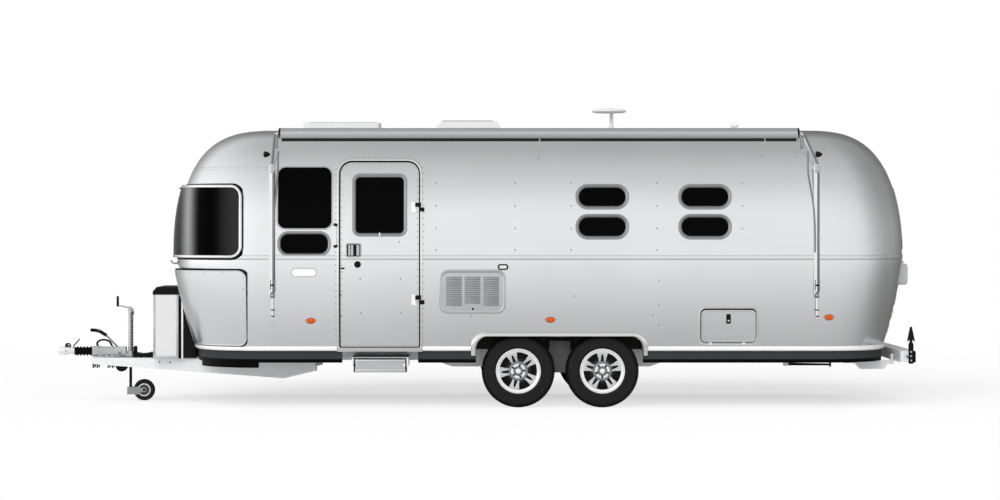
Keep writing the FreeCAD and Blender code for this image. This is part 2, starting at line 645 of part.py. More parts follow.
def side_profile(label, points, y_high, width):
    """A plate seen from the side: points are (x, z), it runs from y_high towards -Y."""
    outline = place(sketch(label + "_outline", points), ("0", y_high, "0"), Rotation(Vector(1, 0, 0), 90))
    return extrude(label, outline, width)


def shape_feature(label, shape):
    """A piece whose surface follows the body's formula."""
    feature = new("Part::Feature", label)
    feature.Shape = shape
    feature.Placement = Placement()
    return feature


def rod(label, radius, start, end):
    """A round bar between two points."""
    run = end - start
    bar = bind(new("Part::Cylinder", label), Radius=radius)
    bar.Height = run.Length
    bar.Placement = Placement(start, Rotation(Vector(0, 0, 1), run))
    return bar


def ball(label, radius, at):
    sphere = bind(new("Part::Sphere", label), Radius=radius)
    sphere.Placement = Placement(at, Rotation())
    return sphere


# ---------------------------------------------------------------- the body's surface
# Across, the body is widest at the belt line: below it the sides lean in, above it they
# follow a superellipse over the roof. Seen from above, nose and tail are superellipses
# that start at the seams. An offset moves the surface out (+) or in (-).
def half_width(z, offset=0.0):
    half = size("body_width") / 2 + offset
    belt = size("belt_height")
    if z <= belt:
        drop = (belt - z) / (belt - size("sill_height"))
        return half - size("side_tuck") * drop ** SILL_CURVE
    rise = (z - belt) / (size("crown_rise") + offset)
    return half * (1 - rise ** SUPER_ROUND) ** (1 / SUPER_ROUND)


def end_reach(z, end, offset=0.0):
    """How far the nose or tail reaches beyond its seam at a height."""
    reach, tuck, (power, rise_power) = {
        "nose": (size("nose_reach"), size("nose_tuck"), NOSE_ROUND),
        "tail": (size("tail_reach"), size("tail_tuck"), TAIL_ROUND),
    }[end]
    belt = size("belt_height")
    if z <= belt:
        drop = (belt - z) / (belt - size("sill_height"))
        return reach + offset - tuck * drop ** END_CURVE
    rise = (z - belt) / (size("crown_rise") + offset)
    return (reach + offset) * (1 - rise ** rise_power) ** (1 / power)


def seam_x(end):
    return size("front_seam") + (size("body_length") if end == "tail" else 0)


def outward(end):
    return 1 if end == "tail" else -1


def level_heights(offset, top_share=None):
    """The heights at which the surface is drawn, from the sill up."""
    belt = size("belt_height")
    drop = belt - size("sill_height")
    shares = ABOVE + ((top_share,) if top_share else ())
    crown = size("crown_rise") + offset
    return [belt - share * drop for share in BELOW] + [belt + share * crown for share in shares]


def plan_points(z, end, offset):
    """Points round the nose or tail, from the -Y side to the +Y side."""
    reach, half = end_reach(z, end, offset), half_width(z, offset)
    points = []
    for degrees in PLAN_ANGLES + tuple(180 - angle for angle in reversed(PLAN_ANGLES[:-1])):
        angle = math.radians(degrees)
        along = abs(math.sin(angle)) ** (2 / PLAN_ROUND) * reach
        across = -math.copysign(abs(math.cos(angle)) ** (2 / PLAN_ROUND), math.cos(angle)) * half
        points.append(Vector(seam_x(end) + outward(end) * along, across, z))
    points[0].x = points[-1].x = seam_x(end)
    return points


def arcs_through(points):
    """Three-point arcs along an odd number of points."""
    return [Part.Arc(*points[i:i + 3]).toShape() for i in range(0, len(points) - 1, 2)]


def plan_wire(z, end, offset):
    points = plan_points(z, end, offset)
    return Part.Wire(arcs_through(points) + [Part.LineSegment(points[-1], points[0]).toShape()])


def cap_solid(end, offset, heights):
    """The nose or tail as one block, its skin moved by an offset."""
    return Part.makeLoft([plan_wire(z, end, offset) for z in heights], True, True)


def section_points(offset, x, low_z):
    """Half of the cross-section at x, from the sill at -Y up to the edge of the flat roof arc."""
    belt = size("belt_height")
    heights = [low_z, (low_z + belt) / 2] + [belt + share * (size("crown_rise") + offset) for share in ABOVE]
    return [Vector(x, -half_width(z, offset), z) for z in heights]


def body_block(offset, x_low, x_high, low_z):
    """The straight body as one block, its skin moved by an offset."""
    left = section_points(offset, x_low, low_z)
    right = [Vector(x_low, -point.y, point.z) for point in reversed(left)]
    top = Vector(x_low, 0, size("belt_height") + size("crown_rise") + offset)
    edges = arcs_through(left) + [Part.Arc(left[-1], top, right[0]).toShape()] + arcs_through(right)
    edges.append(Part.LineSegment(right[-1], left[0]).toShape())
    return Part.Face(Part.Wire(edges)).extrude(Vector(x_high - x_low, 0, 0))


def body_layer(outer, inner):
    """A layer of the straight body between two offsets, open at the bottom."""
    low = size("sill_height")
    front, rear = seam_x("nose"), seam_x("tail")
    return body_block(outer, front, rear, low).cut(body_block(inner, front - 1, rear + 1, low - 1))


def cap_layer(end, outer, inner):
    """A layer of the nose or tail between two offsets, open at the seam and the bottom."""
    inner_heights = level_heights(inner, 0.9995)
    inner_heights[0] = size("sill_height") - 1
    return cap_solid(end, outer, level_heights(outer, 0.9995)).cut(cap_solid(end, inner, inner_heights))


WALL = size("wall")
PROUD = size("trim_proud")
SEAT = size("seat_gap")
PANE = (-size("pane_outer"), -size("pane_outer") - size("pane_thick"))
SILL = size("sill_height")

wall_stock = shape_feature("wall_stock", body_layer(0, -WALL))
trim_stock = shape_feature("trim_stock", body_layer(PROUD, SEAT))
pane_stock = shape_feature("pane_stock", body_layer(*PANE))
nose_stock = shape_feature("nose_stock", cap_layer("nose", 0, -WALL))
tail_stock = shape_feature("tail_stock", cap_layer("tail", 0, -WALL))
nose_trim_stock = shape_feature("nose_trim_stock", cap_layer("nose", PROUD, SEAT))
tail_trim_stock = shape_feature("tail_trim_stock", cap_layer("tail", PROUD, SEAT))
nose_pane_stock = shape_feature("nose_pane_stock", cap_layer("nose", *PANE))
tail_pane_stock = shape_feature("tail_pane_stock", cap_layer("tail", *PANE))
parts = {}


def keep(node, *pieces):
    """Name a sub-part; several pieces of one body that don't touch share the node."""
    piece = pieces[0] if len(pieces) == 1 else together(node, *pieces)
    piece.Label = node
    parts[node] = piece
    return piece


def skin_block(label, offset=SEAT, beyond=0.0):
    """The straight body with its skin moved out, to trim what stands on it."""
    return shape_feature(label, body_block(offset, seam_x("nose") - beyond, seam_x("tail") + beyond, SILL))


# ---------------------------------------------------------------- walls and roof
def window_prism(row, grow="0", extra=0.0):
    name, side, seam = row[:3]
    return side_prism(
        "%s_prism" % name, side, "%s + %s_x" % (SEAM[seam], name), name + "_z",
        name + "_length", name + "_height", size(name + "_corner") + extra, grow,
    )


DOOR_MID = FRONT + " + door_x"
HATCH_MID = REAR + " - hatch_x"
ARCH_LOW = "front_axle_x - wheel_radius - arch_front_gap"
ARCH_HIGH = "front_axle_x + axle_spacing + wheel_radius + arch_rear_gap"


def door_prism(label, grow, corner, ahead="0"):
    """The door's outline grown all round, and further ahead of the latch edge."""
    block = side_block(
        label + "_block",
        "%s - door_length / 2 - (%s) - (%s)" % (DOOR_MID, grow, ahead),
        "%s + door_length / 2 + (%s)" % (DOOR_MID, grow),
        "door_bottom - (%s)" % grow,
        "door_bottom + door_height + (%s)" % grow,
    )
    return fillet_along(label, block, Vector(0, 1, 0), corner)


def hatch_prism(label, grow, top="0", corner=None):
    """The hatch's outline grown all round, and further at the top."""
    block = side_block(
        label + "_block",
        "%s - hatch_length / 2 - (%s)" % (HATCH_MID, grow),
        "%s + hatch_length / 2 + (%s)" % (HATCH_MID, grow),
        "hatch_bottom - (%s)" % grow,
        "hatch_bottom + hatch_height + (%s) + (%s)" % (grow, top),
    )
    return fillet_along(label, block, Vector(0, 1, 0), corner or size("hatch_corner"))


def arch_prism(label, grow="0"):
    """The wheel opening, whose two upper corners are rounded."""
    block = side_block(
        label + "_block",
        "%s - (%s)" % (ARCH_LOW, grow), "%s + (%s)" % (ARCH_HIGH, grow),
        "sill_height - cutter_in", "arch_top + (%s)" % grow,
    )
    return fillet_along(label, block, Vector(0, 1, 0), size("arch_corner"))


def half_block(label, side, low_z, high_z):
    """One side of the straight body between two heights."""
    low_y, high_y = ("-body_width", "0") if side < 0 else ("0", "body_width")
    return box(label, (FRONT + " - 1", low_y, low_z), (REAR + " + 1", high_y, high_z))


def roof_hole(label, x_mid, length, width):
    """The hole below a roof fitting, inside the fitting's frame."""
    return box(
        label,
        ("%s - %s / 2 + roof_frame" % (x_mid, length), "-%s / 2 + roof_frame" % width, ROOF + " - root"),
        ("%s + %s / 2 - roof_frame" % (x_mid, length), "%s / 2 - roof_frame" % width, ROOF + " + root"),
    )


def make_walls():
    vent_opening = side_prism(
        "vent_opening", -1, FRONT + " + vent_x", "vent_z",
        "vent_length", "vent_height", size("vent_corner"), "-vent_rim",
    )
    door_corner = size("door_corner") + size("door_gap")
    door_opening = door_prism("door_opening", "door_gap", door_corner, "door_swing_gap - door_gap")
    hatch_opening = hatch_prism("hatch_opening", "hatch_gap", "hatch_top_gap - hatch_gap")
    arch_opening = arch_prism("arch_opening")
    openings = {
        -1: [vent_opening, door_opening, hatch_opening, arch_opening],
        1: [mirrored("hatch_opening_right", hatch_opening), mirrored("arch_opening_right", arch_opening)],
    }
    for row in WINDOWS:
        openings[row[1]].append(window_prism(row))
    for side, name in ((-1, "left_wall"), (1, "right_wall")):
        half = half_block(name + "_half", side, "sill_height - 1", "roof_split")
        keep(name, cut(name + "_cut", common(name + "_blank", wall_stock, half), *openings[side]))
    roof_low = (FRONT + " - 1", "-body_width", "roof_split")
    roof = box("roof_half", roof_low, (REAR + " + 1", "body_width", ROOF + " + 1"))
    holes = (
        roof_hole("skylight_hole", FRONT + " + skylight_x", "skylight_length", "skylight_width"),
        roof_hole("roof_vent_hole", FRONT + " + roof_vent_x", "roof_vent_length", "roof_vent_width"),
    )
    keep("roof_panel", cut("roof_cut", common("roof_blank", wall_stock, roof), *holes))


def glass_band(label, grow):
    """The front windows' openings, as three blocks with pillars between them."""
    low_x, high_x = FRONT + " - nose_reach - root", "%s - front_glass_rear + (%s)" % (FRONT, grow)
    low_z, high_z = "front_glass_bottom - (%s)" % grow, "front_glass_top + (%s)" % grow
    inner, outer = "pillar_inner + (%s)" % grow, "-pillar_outer + (%s)" % grow
    middle = box(label + "_middle", (low_x, "-(%s)" % inner, low_z), (high_x, inner, high_z))
    left = box(label + "_left", (low_x, "-body_width", low_z), (high_x, outer, high_z))
    return [middle, left, mirrored(label + "_right", left)]


def rear_glass_prism(label, grow):
    half, low = "rear_glass_length / 2 + (%s)" % grow, "rear_glass_bottom - (%s)" % grow
    block = box(
        label + "_block",
        (REAR + " + tail_reach / 2", "-(%s)" % half, low),
        (REAR + " + tail_reach + root", half, "rear_glass_bottom + rear_glass_height + (%s)" % grow),
    )
    return fillet_along(label, block, Vector(1, 0, 0), size("rear_glass_corner"))


def make_caps():
    for end, stock, low_x, high_x, openings in (
        ("front", nose_stock, FRONT + " - nose_reach - 1", FRONT, glass_band("front_glass_opening", "0")),
        ("rear", tail_stock, REAR, REAR + " + tail_reach + 1", [rear_glass_prism("rear_glass_opening", "0")]),
    ):
        lower, upper = (
            common("%s_%s_blank" % (end, half), stock, box(
                "%s_%s_half" % (end, half), (low_x, "-body_width", low_z), (high_x, "body_width", high_z)
            ))
            for half, low_z, high_z in (
                ("lower", "sill_height - 1", "belt_height"), ("upper", "belt_height", ROOF + " + 1")
            )
        )
        keep(end + "_cap_lower", lower)
        keep(end + "_cap_upper", cut(end + "_upper_cut", upper, *openings))


def make_windows():
    frames, panes = [], []
    for row in WINDOWS:
        name = row[0]
        outer = window_prism(row, name + "_frame", size(name + "_frame"))
        inner = window_prism(row)
        frames.append(common(name + "_frame_ring", trim_stock, cut(name + "_frame_prism", outer, inner)))
        panes.append(common(name + "_pane", pane_stock, window_prism(row, "-seat_gap", -SEAT)))
    for number, prism in enumerate(glass_band("front_pane", "-seat_gap")):
        panes.append(common("front_pane_%d" % number, nose_pane_stock, prism))
    panes.append(common("rear_pane", tail_pane_stock, rear_glass_prism("rear_pane_prism", "-seat_gap")))
    keep("window_frames", *frames)
    keep("window_panes", *panes)


LOUVRE_ROWS = range(-4, 5)
LOUVRE_COLUMNS = (-1, 0, 1)


def make_side_trim():
    """Surrounds and vents that follow the body side."""
    inner_corner = size("door_corner") + size("door_gap")
    door_outer = door_prism("door_trim_outer", "door_gap + door_trim", inner_corner + size("door_trim"))
    door_inner = door_prism("door_trim_inner", "door_gap", inner_corner)
    door_ring = common("door_ring", trim_stock, cut("door_ring_prism", door_outer, door_inner))
    keep("door_surround", door_ring, *hinge_blocks("door_fixed", "fixed"))
    hatch_top = "hatch_top_gap - hatch_gap"
    hatch_corner = size("hatch_corner") + size("hatch_trim")
    hatch_outer = hatch_prism("hatch_trim_outer", "hatch_gap + hatch_trim", hatch_top, hatch_corner)
    hatch_inner = hatch_prism("hatch_trim_inner", "hatch_gap", hatch_top)
    hatch_ring = common("hatch_ring", trim_stock, cut("hatch_ring_prism", hatch_outer, hatch_inner))
    arch_outer = arch_prism("arch_trim_outer", "arch_trim")
    arch_inner = arch_prism("arch_trim_inner")
    arch_ring = common("arch_ring", trim_stock, cut("arch_ring_prism", arch_outer, arch_inner))
    keep("side_trims", both_sides("hatch_rings", hatch_ring), both_sides("arch_rings", arch_ring))
    middle = FRONT + " + vent_x"
    vent = side_prism("vent_prism", -1, middle, "vent_z", "vent_length", "vent_height", size("vent_corner"))
    slots = []
    for row in LOUVRE_ROWS:
        for column in LOUVRE_COLUMNS:
            x = "%s + (%d) * louvre_apart" % (middle, column)
            z = "vent_z + (%d) * louvre_pitch" % row
            slots.append(side_block(
                "louvre", x + " - louvre_length / 2", x + " + louvre_length / 2",
                z + " - louvre_height / 2", z + " + louvre_height / 2",
            ))
    keep("fridge_vent", cut("vent_louvred", common("vent_plate", trim_stock, vent), *slots))


# ---------------------------------------------------------------- entry door
HINGE_X = DOOR_MID + " + door_length / 2 + door_hinge_gap"
HINGE_Y = "-%s - hinge_out" % HALF


def hinge_blocks(label, half):
    """Door hinges: the leaf carries the upper half of each barrel, the body the lower half."""
    blocks = []
    fixed = half == "fixed"
    for name in ("hinge_low", "hinge_high"):
        own = "%s_%s" % (label, name)
        middle = "door_bottom + " + name
        if fixed:
            low_z, high_z = middle + " - hinge_height / 2", middle + " - seat_gap / 2"
            low_x, high_x = HINGE_X, HINGE_X + " + hinge_leaf"
        else:
            low_z, high_z = middle + " + seat_gap / 2", middle + " + hinge_height / 2"
            low_x, high_x = HINGE_X + " - hinge_leaf", HINGE_X
        length = "(%s) - (%s)" % (high_z, low_z)
        barrel = cylinder(own + "_barrel", "hinge_radius", length, (HINGE_X, HINGE_Y, low_z), "Z")
        strap = box(
            own + "_strap",
            (low_x, HINGE_Y + " - hinge_plate / 2", low_z),
            (high_x, "-%s + root" % HALF, high_z),
        )
        clear = skin_block(own + "_clear", PROUD + SEAT if fixed else SEAT)
        blocks.append(cut(own, fuse(own + "_raw", strap, barrel), clear))
    return blocks


def make_door():
    leaf = common("door_leaf_blank", wall_stock, door_prism("door_leaf_prism", "0", size("door_corner")))
    pane = (-1, DOOR_MID, "door_pane_z", "door_pane_length", "door_pane_height")
    corner = size("door_pane_corner")
    opening = side_prism("door_pane_opening", *pane, corner)
    keep("entry_door", cut("door_leaf", leaf, opening))
    pane_prism = side_prism("door_pane_prism", *pane, corner - SEAT, "-seat_gap")
    keep("entry_door_window", common("door_pane", pane_stock, pane_prism))
    ring_outer = side_prism("door_pane_ring_outer", *pane, corner + size("door_pane_trim"), "door_pane_trim")
    ring = common("door_pane_ring", trim_stock, cut("door_pane_ring_prism", ring_outer, opening))
    bezel = side_prism(
        "handle_bezel_prism", -1, DOOR_MID + " - handle_x", "handle_z",
        "handle_length", "handle_height", size("handle_corner"),
    )
    plate = common("handle_bezel", trim_stock, bezel)
    knob_at = (DOOR_MID + " - door_length / 2 + knob_x", "-%s - cutter_out" % HALF, "knob_z")
    knob = common("door_knob", trim_stock, cylinder("knob_prism", "knob_radius", "cutter_in", knob_at, "Y"))
    keep("entry_door_fittings", ring, plate, knob, *hinge_blocks("door_moving", "moving"))
    x = DOOR_MID + " - grab_x"
    bar_y = str(-half_width(size("grab_z")) - size("grab_out"))
    bar = cylinder("grab_bar", "grab_radius", "grab_length", (x, bar_y, "grab_z - grab_length / 2"), "Z")
    posts = []
    for end, height in (
        ("low", "grab_z - grab_length / 2 + grab_post"), ("high", "grab_z + grab_length / 2 - grab_post")
    ):
        posts.append(cylinder("grab_post_" + end, "grab_radius", "root", (x, bar_y, height), "Y"))
    keep("grab_handle", cut("grab_trimmed", fuse("grab_raw", bar, *posts), skin_block("grab_clear")))


# ---------------------------------------------------------------- hatches
HATCH_HINGE_Y = "-%s + hatch_hinge_in" % HALF
HATCH_HINGE_Z = "hatch_bottom - hatch_hinge_drop"


def hatch_knuckles(label, moving):
    """Barrels on the hatch's hinge line: the leaf's lie beside the frame's."""
    knuckles = []
    if moving:
        low_z, high_z = HATCH_HINGE_Z, "hatch_bottom + hatch_tab"
    else:
        low_z = "hatch_bottom - hatch_gap - hatch_trim + hatch_tab_margin"
        high_z = "hatch_bottom - hatch_gap - hatch_tab_margin"
    length = "hatch_hinge_length / 2 - seat_gap / 2"
    for number, side in enumerate((-1, 1)):
        own = "%s_%d" % (label, number)
        middle = "%s + (%d) * hatch_hinge_apart / 2" % (HATCH_MID, side)
        start = middle + (" + seat_gap / 2" if moving else " - hatch_hinge_length / 2")
        axis = (start, HATCH_HINGE_Y, HATCH_HINGE_Z)
        barrel = cylinder(own + "_barrel", "hatch_hinge_radius", length, axis, "X")
        tab = box(
            own + "_tab", (start, HATCH_HINGE_Y + " - hatch_tab_out", low_z),
            ("%s + %s" % (start, length), "-%s + root" % HALF, high_z),
        )
        clear = skin_block(own + "_clear", SEAT if moving else PROUD + SEAT)
        knuckles.append(cut(own, fuse(own + "_raw", barrel, tab), clear))
    return knuckles


def make_hatches():
    leaf = common("hatch_leaf", wall_stock, hatch_prism("hatch_leaf_prism", "0"))
    moving = together("hatch_left_set", leaf, *hatch_knuckles("hatch_moving", True))
    keep("left_hatch", moving)
    keep("right_hatch", mirrored("hatch_right_set", moving))
    fixed = together("hatch_fixed_left", *hatch_knuckles("hatch_fixed", False))
    keep("hatch_hinges", both_sides("hatch_fixed_both", fixed))


# ---------------------------------------------------------------- floor, skirt and wheel boxes
def outline_wire(z, offset, level):
    """The whole body's outline at height z, seen from above and drawn at another level."""
    nose = [Vector(point.x, point.y, level) for point in plan_points(z, "nose", offset)]
    tail = [Vector(point.x, point.y, level) for point in reversed(plan_points(z, "tail", offset))]
    edges = arcs_through(nose)
    edges.append(Part.LineSegment(nose[-1], tail[0]).toShape())
    edges += arcs_through(tail)
    edges.append(Part.LineSegment(tail[-1], nose[0]).toShape())
    return Part.Wire(edges)


def outline_block(offset, low, high):
    """A block with the outline of the sill, moved by an offset, between two heights."""
    return Part.Face(outline_wire(SILL, offset, low)).extrude(Vector(0, 0, high - low))


def make_floor():
    plate = shape_feature("floor_plate", outline_block(-WALL - SEAT, SILL, SILL + size("floor_thick")))
    well_low, well_high = ARCH_LOW + " + well_gap", ARCH_HIGH + " - well_gap"
    outside = "-%s + side_tuck + wall + seat_gap" % HALF
    inner = "-%s + well_depth" % HALF
    shell = box(
        "well_outer", (well_low + " - well_wall", outside, "sill_height"),
        (well_high + " + well_wall", inner + " + well_wall", "well_top + well_wall"),
    )
    hollow = box(
        "well_inner", (well_low, "-%s - cutter_out" % HALF, "skirt_height"), (well_high, inner, "well_top")
    )
    raw = fuse("floor_raw", plate, both_sides("well_shells", shell))
    keep("floor_pan", cut("floor_cut", raw, both_sides("well_hollows", hollow)))


def outline_ring(inset, thick, low, high):
    return outline_block(-inset, low, high).cut(outline_block(-inset - thick, low - 1, high + 1))


def make_skirt():
    top = SILL - SEAT
    inset, thick, lip = size("skirt_inset"), size("skirt_thick"), size("lip_inset")
    ring = outline_ring(inset, thick, size("skirt_height"), top)
    lip_ring = outline_ring(inset + lip, thick - lip, size("lip_height"), top)
    width, reach = size("body_width"), size("nose_reach")
    for y_low in (-width, size("lip_inner")):
        corner = Part.makeBox(
            reach, width - size("lip_inner"), top,
            Vector(seam_x("nose") - size("lip_rear") - reach, y_low, 0),
        )
        ring = ring.fuse(lip_ring.common(corner))
    skirt = shape_feature("skirt_ring", ring.removeSplitter())
    arch = side_block("skirt_arch_cut", ARCH_LOW, ARCH_HIGH, "skirt_height - cutter_out", "sill_height + 1")
    recess = side_block(
        "step_recess", STEP_LOW + " - recess_gap", STEP_HIGH + " + recess_gap",
        "skirt_height - cutter_out", "sill_height - recess_top",
    )
    keep("underbody_skirt", cut("skirt_cut", skirt, both_sides("skirt_arches", arch), recess))


# ---------------------------------------------------------------- chassis
BEAM_Y = "rail_gauge / 2"
WHEEL_Y = "(%s - wall - wheel_inset)" % HALF
REAR_AXLE = "(front_axle_x + axle_spacing)"
STEADY_FRONT = FRONT + " - steady_front"
STEADY_REAR = REAR + " - steady_rear"


def make_chassis():
    low_x, high_x = FRONT + " - rail_front", REAR + " + rail_rear"
    belly_low, belly_high = "front_axle_x - belly_front", REAR_AXLE + " + belly_rear"
    rail = side_profile(
        "rail",
        (
            (low_x, "sill_height"), (low_x, "skirt_height"), (belly_low, "skirt_height"),
            (belly_low + " + belly_slope", "skirt_height - rail_belly"),
            (belly_high + " - belly_slope", "skirt_height - rail_belly"),
            (belly_high, "skirt_height"), (high_x, "skirt_height"), (high_x, "sill_height"),
        ),
        "-%s + rail_width / 2" % BEAM_Y, "rail_width",
    )
    members = []
    for name, x, half in (
        ("front", STEADY_FRONT, "outrigger_length / 2"),
        ("drawbar", FRONT + " + drawbar_member", BEAM_Y),
        ("axle", "front_axle_x - arm_length", BEAM_Y),
        ("axle_rear", REAR_AXLE + " - arm_length", BEAM_Y),
        ("rear", STEADY_REAR, "outrigger_length / 2"),
        ("tail", high_x + " - tail_member", BEAM_Y),
    ):
        members.append(box(
            "member_" + name, (x + " - rail_width / 2", "-(%s)" % half, "skirt_height"),
            (x + " + rail_width / 2", half, "skirt_height + cross_height"),
        ))
    ears = []
    for name, x in (("front", STEADY_FRONT), ("rear", STEADY_REAR)):
        for ear, low_y in (
            ("outer", "-steady_pivot_y - steady_width / 2 - ear_gap - ear_thick"),
            ("inner", "-steady_pivot_y + steady_width / 2 + ear_gap"),
        ):
            plate = box(
                "steady_plate_%s_%s" % (name, ear), (x + " - ear_half", low_y, "steady_pivot_z - ear_drop"),
                (x + " + ear_half", low_y + " + ear_thick", "skirt_height"),
            )
            ears.append(both_sides("steady_ears_%s_%s" % (name, ear), plate))
        pin = cylinder(
            "steady_pin_" + name, "pin_radius", "steady_width + 2 * (ear_gap + ear_thick)",
            (x, "-steady_pivot_y - steady_width / 2 - ear_gap - ear_thick", "steady_pivot_z"), "Y",
        )
        ears.append(both_sides("steady_pins_" + name, pin))
    keep("chassis_frame", fuse("chassis_raw", both_sides("rails", rail), *members, *ears))


def make_axles():
    """Rubber torsion axles: a cross tube hung from the rails, with a swing arm and a stub at each end."""
    arm_outer = WHEEL_Y + " - tyre_width / 2 - arm_gap"
    axles = []
    for name, x in (("front", "front_axle_x"), ("rear", REAR_AXLE)):
        root = x + " - arm_length"
        tube_at = (root, "-(%s)" % arm_outer, "tube_height")
        tube = cylinder("torsion_tube_" + name, "tube_radius", "2 * (%s)" % arm_outer, tube_at, "Y")
        arm = side_profile(
            "swing_arm_" + name,
            (
                (root + " - tube_radius", "tube_height - arm_half"),
                (x + " + arm_half", "wheel_radius - arm_half"),
                (x + " + arm_half", "wheel_radius + arm_half"),
                (root + " - tube_radius", "tube_height + arm_half"),
            ),
            "-(%s) + arm_width" % arm_outer, "arm_width",
        )
        stub = cylinder(
            "stub_" + name, "stub_radius", "%s + rim_face + stub_tip - (%s)" % (WHEEL_Y, arm_outer),
            (x, "-%s - rim_face - stub_tip" % WHEEL_Y, "wheel_radius"), "Y",
        )
        hanger_low = "tube_height + tube_radius - hanger_lap"
        hanger = box(
            "hanger_" + name,
            (root + " - hanger_half", "-%s - rail_width / 2" % BEAM_Y, hanger_low),
            (root + " + hanger_half", "-%s + rail_width / 2" % BEAM_Y, "skirt_height - rail_belly"),
        )
        axles.append(fuse("axle_" + name, tube, *(
            both_sides(piece.Label + "_both", piece) for piece in (arm, stub, hanger)
        )))
    keep("axles", *axles)


def make_drawbar():
    """Two tapered beams that run back from the coupling and spread apart."""
    run = size("front_seam") + size("drawbar_member") - size("drawbar_nose")
    spread = math.degrees(math.atan2((size("rail_gauge") - size("nose_gauge")) / 2, run))
    outline = sketch("beam_outline", (
        ("0", "0"), ("0", "-drawbar_nose_deep"), ("shoulder_x", "-shoulder_deep"),
        ("drawbar_deep_x", "-drawbar_deep"), ("drawbar_length", "-drawbar_tail_deep"),
        ("drawbar_length", "0"),
    ))
    turn = Rotation(Vector(0, 0, 1), -spread) * Rotation(Vector(1, 0, 0), 90)
    place(outline, ("drawbar_nose", "-nose_gauge / 2 + rail_width / 2", "skirt_height"), turn)
    keep("drawbar", both_sides("drawbar_beams", extrude("beam", outline, "rail_width")))


# ---------------------------------------------------------------- coupling and handbrake
# Side view of the head's release lever. Columns: back from the head's front, up from its top.
LATCH = ((55, -10), (145, -10), (245, 46), (238, 58), (60, 14))


def make_coupling():
    head_low, head_high = "coupling_x - head_front", "coupling_x - head_front + head_length"
    rim = box(
        "head_block",
        (head_low, "-head_width / 2", "coupling_z"), (head_high, "head_width / 2", "coupling_z + head_rim"),
    )
    rounded = fillet_along("head_rounded", rim, Vector(0, 0, 1), size("head_corner"))
    spine = box(
        "head_spine", (head_low + " + spine_front", "-spine_width / 2", "coupling_z + head_rim / 2"),
        (head_high, "spine_width / 2", "coupling_z + head_height"),
    )
    latch = side_profile(
        "head_latch",
        tuple(("%s + %d" % (head_low, along), "coupling_z + head_height + (%d)" % up) for along, up in LATCH),
        "latch_width / 2", "latch_width",
    )
    mouth = ("coupling_x", "0", "coupling_z - 1")
    socket = cylinder("socket", "socket_radius", "socket_depth + 1", mouth, "Z")
    keep("coupling_head", cut("head_bored", fuse("head_raw", rounded, spine, latch), socket))
    low, high = "drawbar_nose - housing_lap", "drawbar_nose - housing_lap + housing_length"
    bellows = cylinder(
        "bellows", "bellows_radius", "%s - (%s) - seat_gap" % (low, head_high),
        (head_high + " + seat_gap", "0", "coupling_z + shaft_rise"), "X",
    )
    housing = side_profile(
        "housing",
        (
            (low, "skirt_height"), (high, "skirt_height"), (high, "skirt_height + housing_back"),
            (low + " + housing_peak_x", "skirt_height + housing_peak"), (low, "skirt_height + housing_front"),
        ),
        "housing_width / 2", "housing_width",
    )
    keep("overrun_housing", bellows, housing)


def make_handbrake():
    pivot = Vector(
        size("drawbar_nose") + size("lever_x"), size("housing_width") / 2 + size("lever_side"),
        size("skirt_height") + size("lever_z"),
    )
    knee, bend, tip = (
        pivot + Vector(-size(name + "_x"), 0, size(name + "_z")) for name in ("knee", "bend", "tip")
    )
    boss_at = (str(pivot.x), "housing_width / 2", str(pivot.z))
    boss = cylinder("lever_boss", "lever_boss", "lever_side", boss_at, "Y")
    bar = rod("lever_bar", "lever_radius", pivot, knee)
    grip = (rod("grip_low", "grip_radius", knee, bend), ball("grip_bend", "grip_radius", bend))
    keep("handbrake_lever", fuse("lever", boss, bar, *grip, rod("grip_high", "grip_radius", bend, tip)))


# ---------------------------------------------------------------- jockey wheel
FORK_Y = "(jockey_width / 2 + fork_gap)"
CASTER_X = "mast_x + caster_trail + jockey_radius"


def make_jockey():
    mast = cylinder("mast_tube", "mast_radius", "mast_top - mast_bottom", ("mast_x", "0", "mast_bottom"), "Z")
    bore = cylinder(
        "mast_bore", "mast_radius - mast_wall", "mast_top - mast_bottom - mast_cap + 1",
        ("mast_x", "0", "mast_bottom - 1"), "Z",
    )
    clamp = box(
        "mast_clamp", ("mast_x - clamp_length / 2", "-clamp_width / 2", "skirt_height"),
        ("mast_x + clamp_length / 2", "clamp_width / 2", "skirt_height + clamp_height"),
    )
    screw = cylinder("crank_screw", "crank_radius", "crank_rise + 1", ("mast_x", "0", "mast_top - 1"), "Z")
    arm = box(
        "crank_bar",
        ("mast_x - crank_arm - crank_width / 2", "-crank_width / 2", "mast_top + crank_rise - crank_thick"),
        ("mast_x + crank_width / 2", "crank_width / 2", "mast_top + crank_rise"),
    )
    grip_at = ("mast_x - crank_arm", "0", "mast_top + crank_rise - 1")
    grip = cylinder("crank_handle", "crank_grip_radius", "crank_grip", grip_at, "Z")
    keep("jockey_mast", cut("mast_bored", fuse("mast_raw", mast, clamp, screw, arm, grip), bore))
    length = "mast_top - stem_drop - stem_bottom"
    keep("jockey_stem", cylinder("stem_tube", "stem_radius", length, ("mast_x", "0", "stem_bottom"), "Z"))


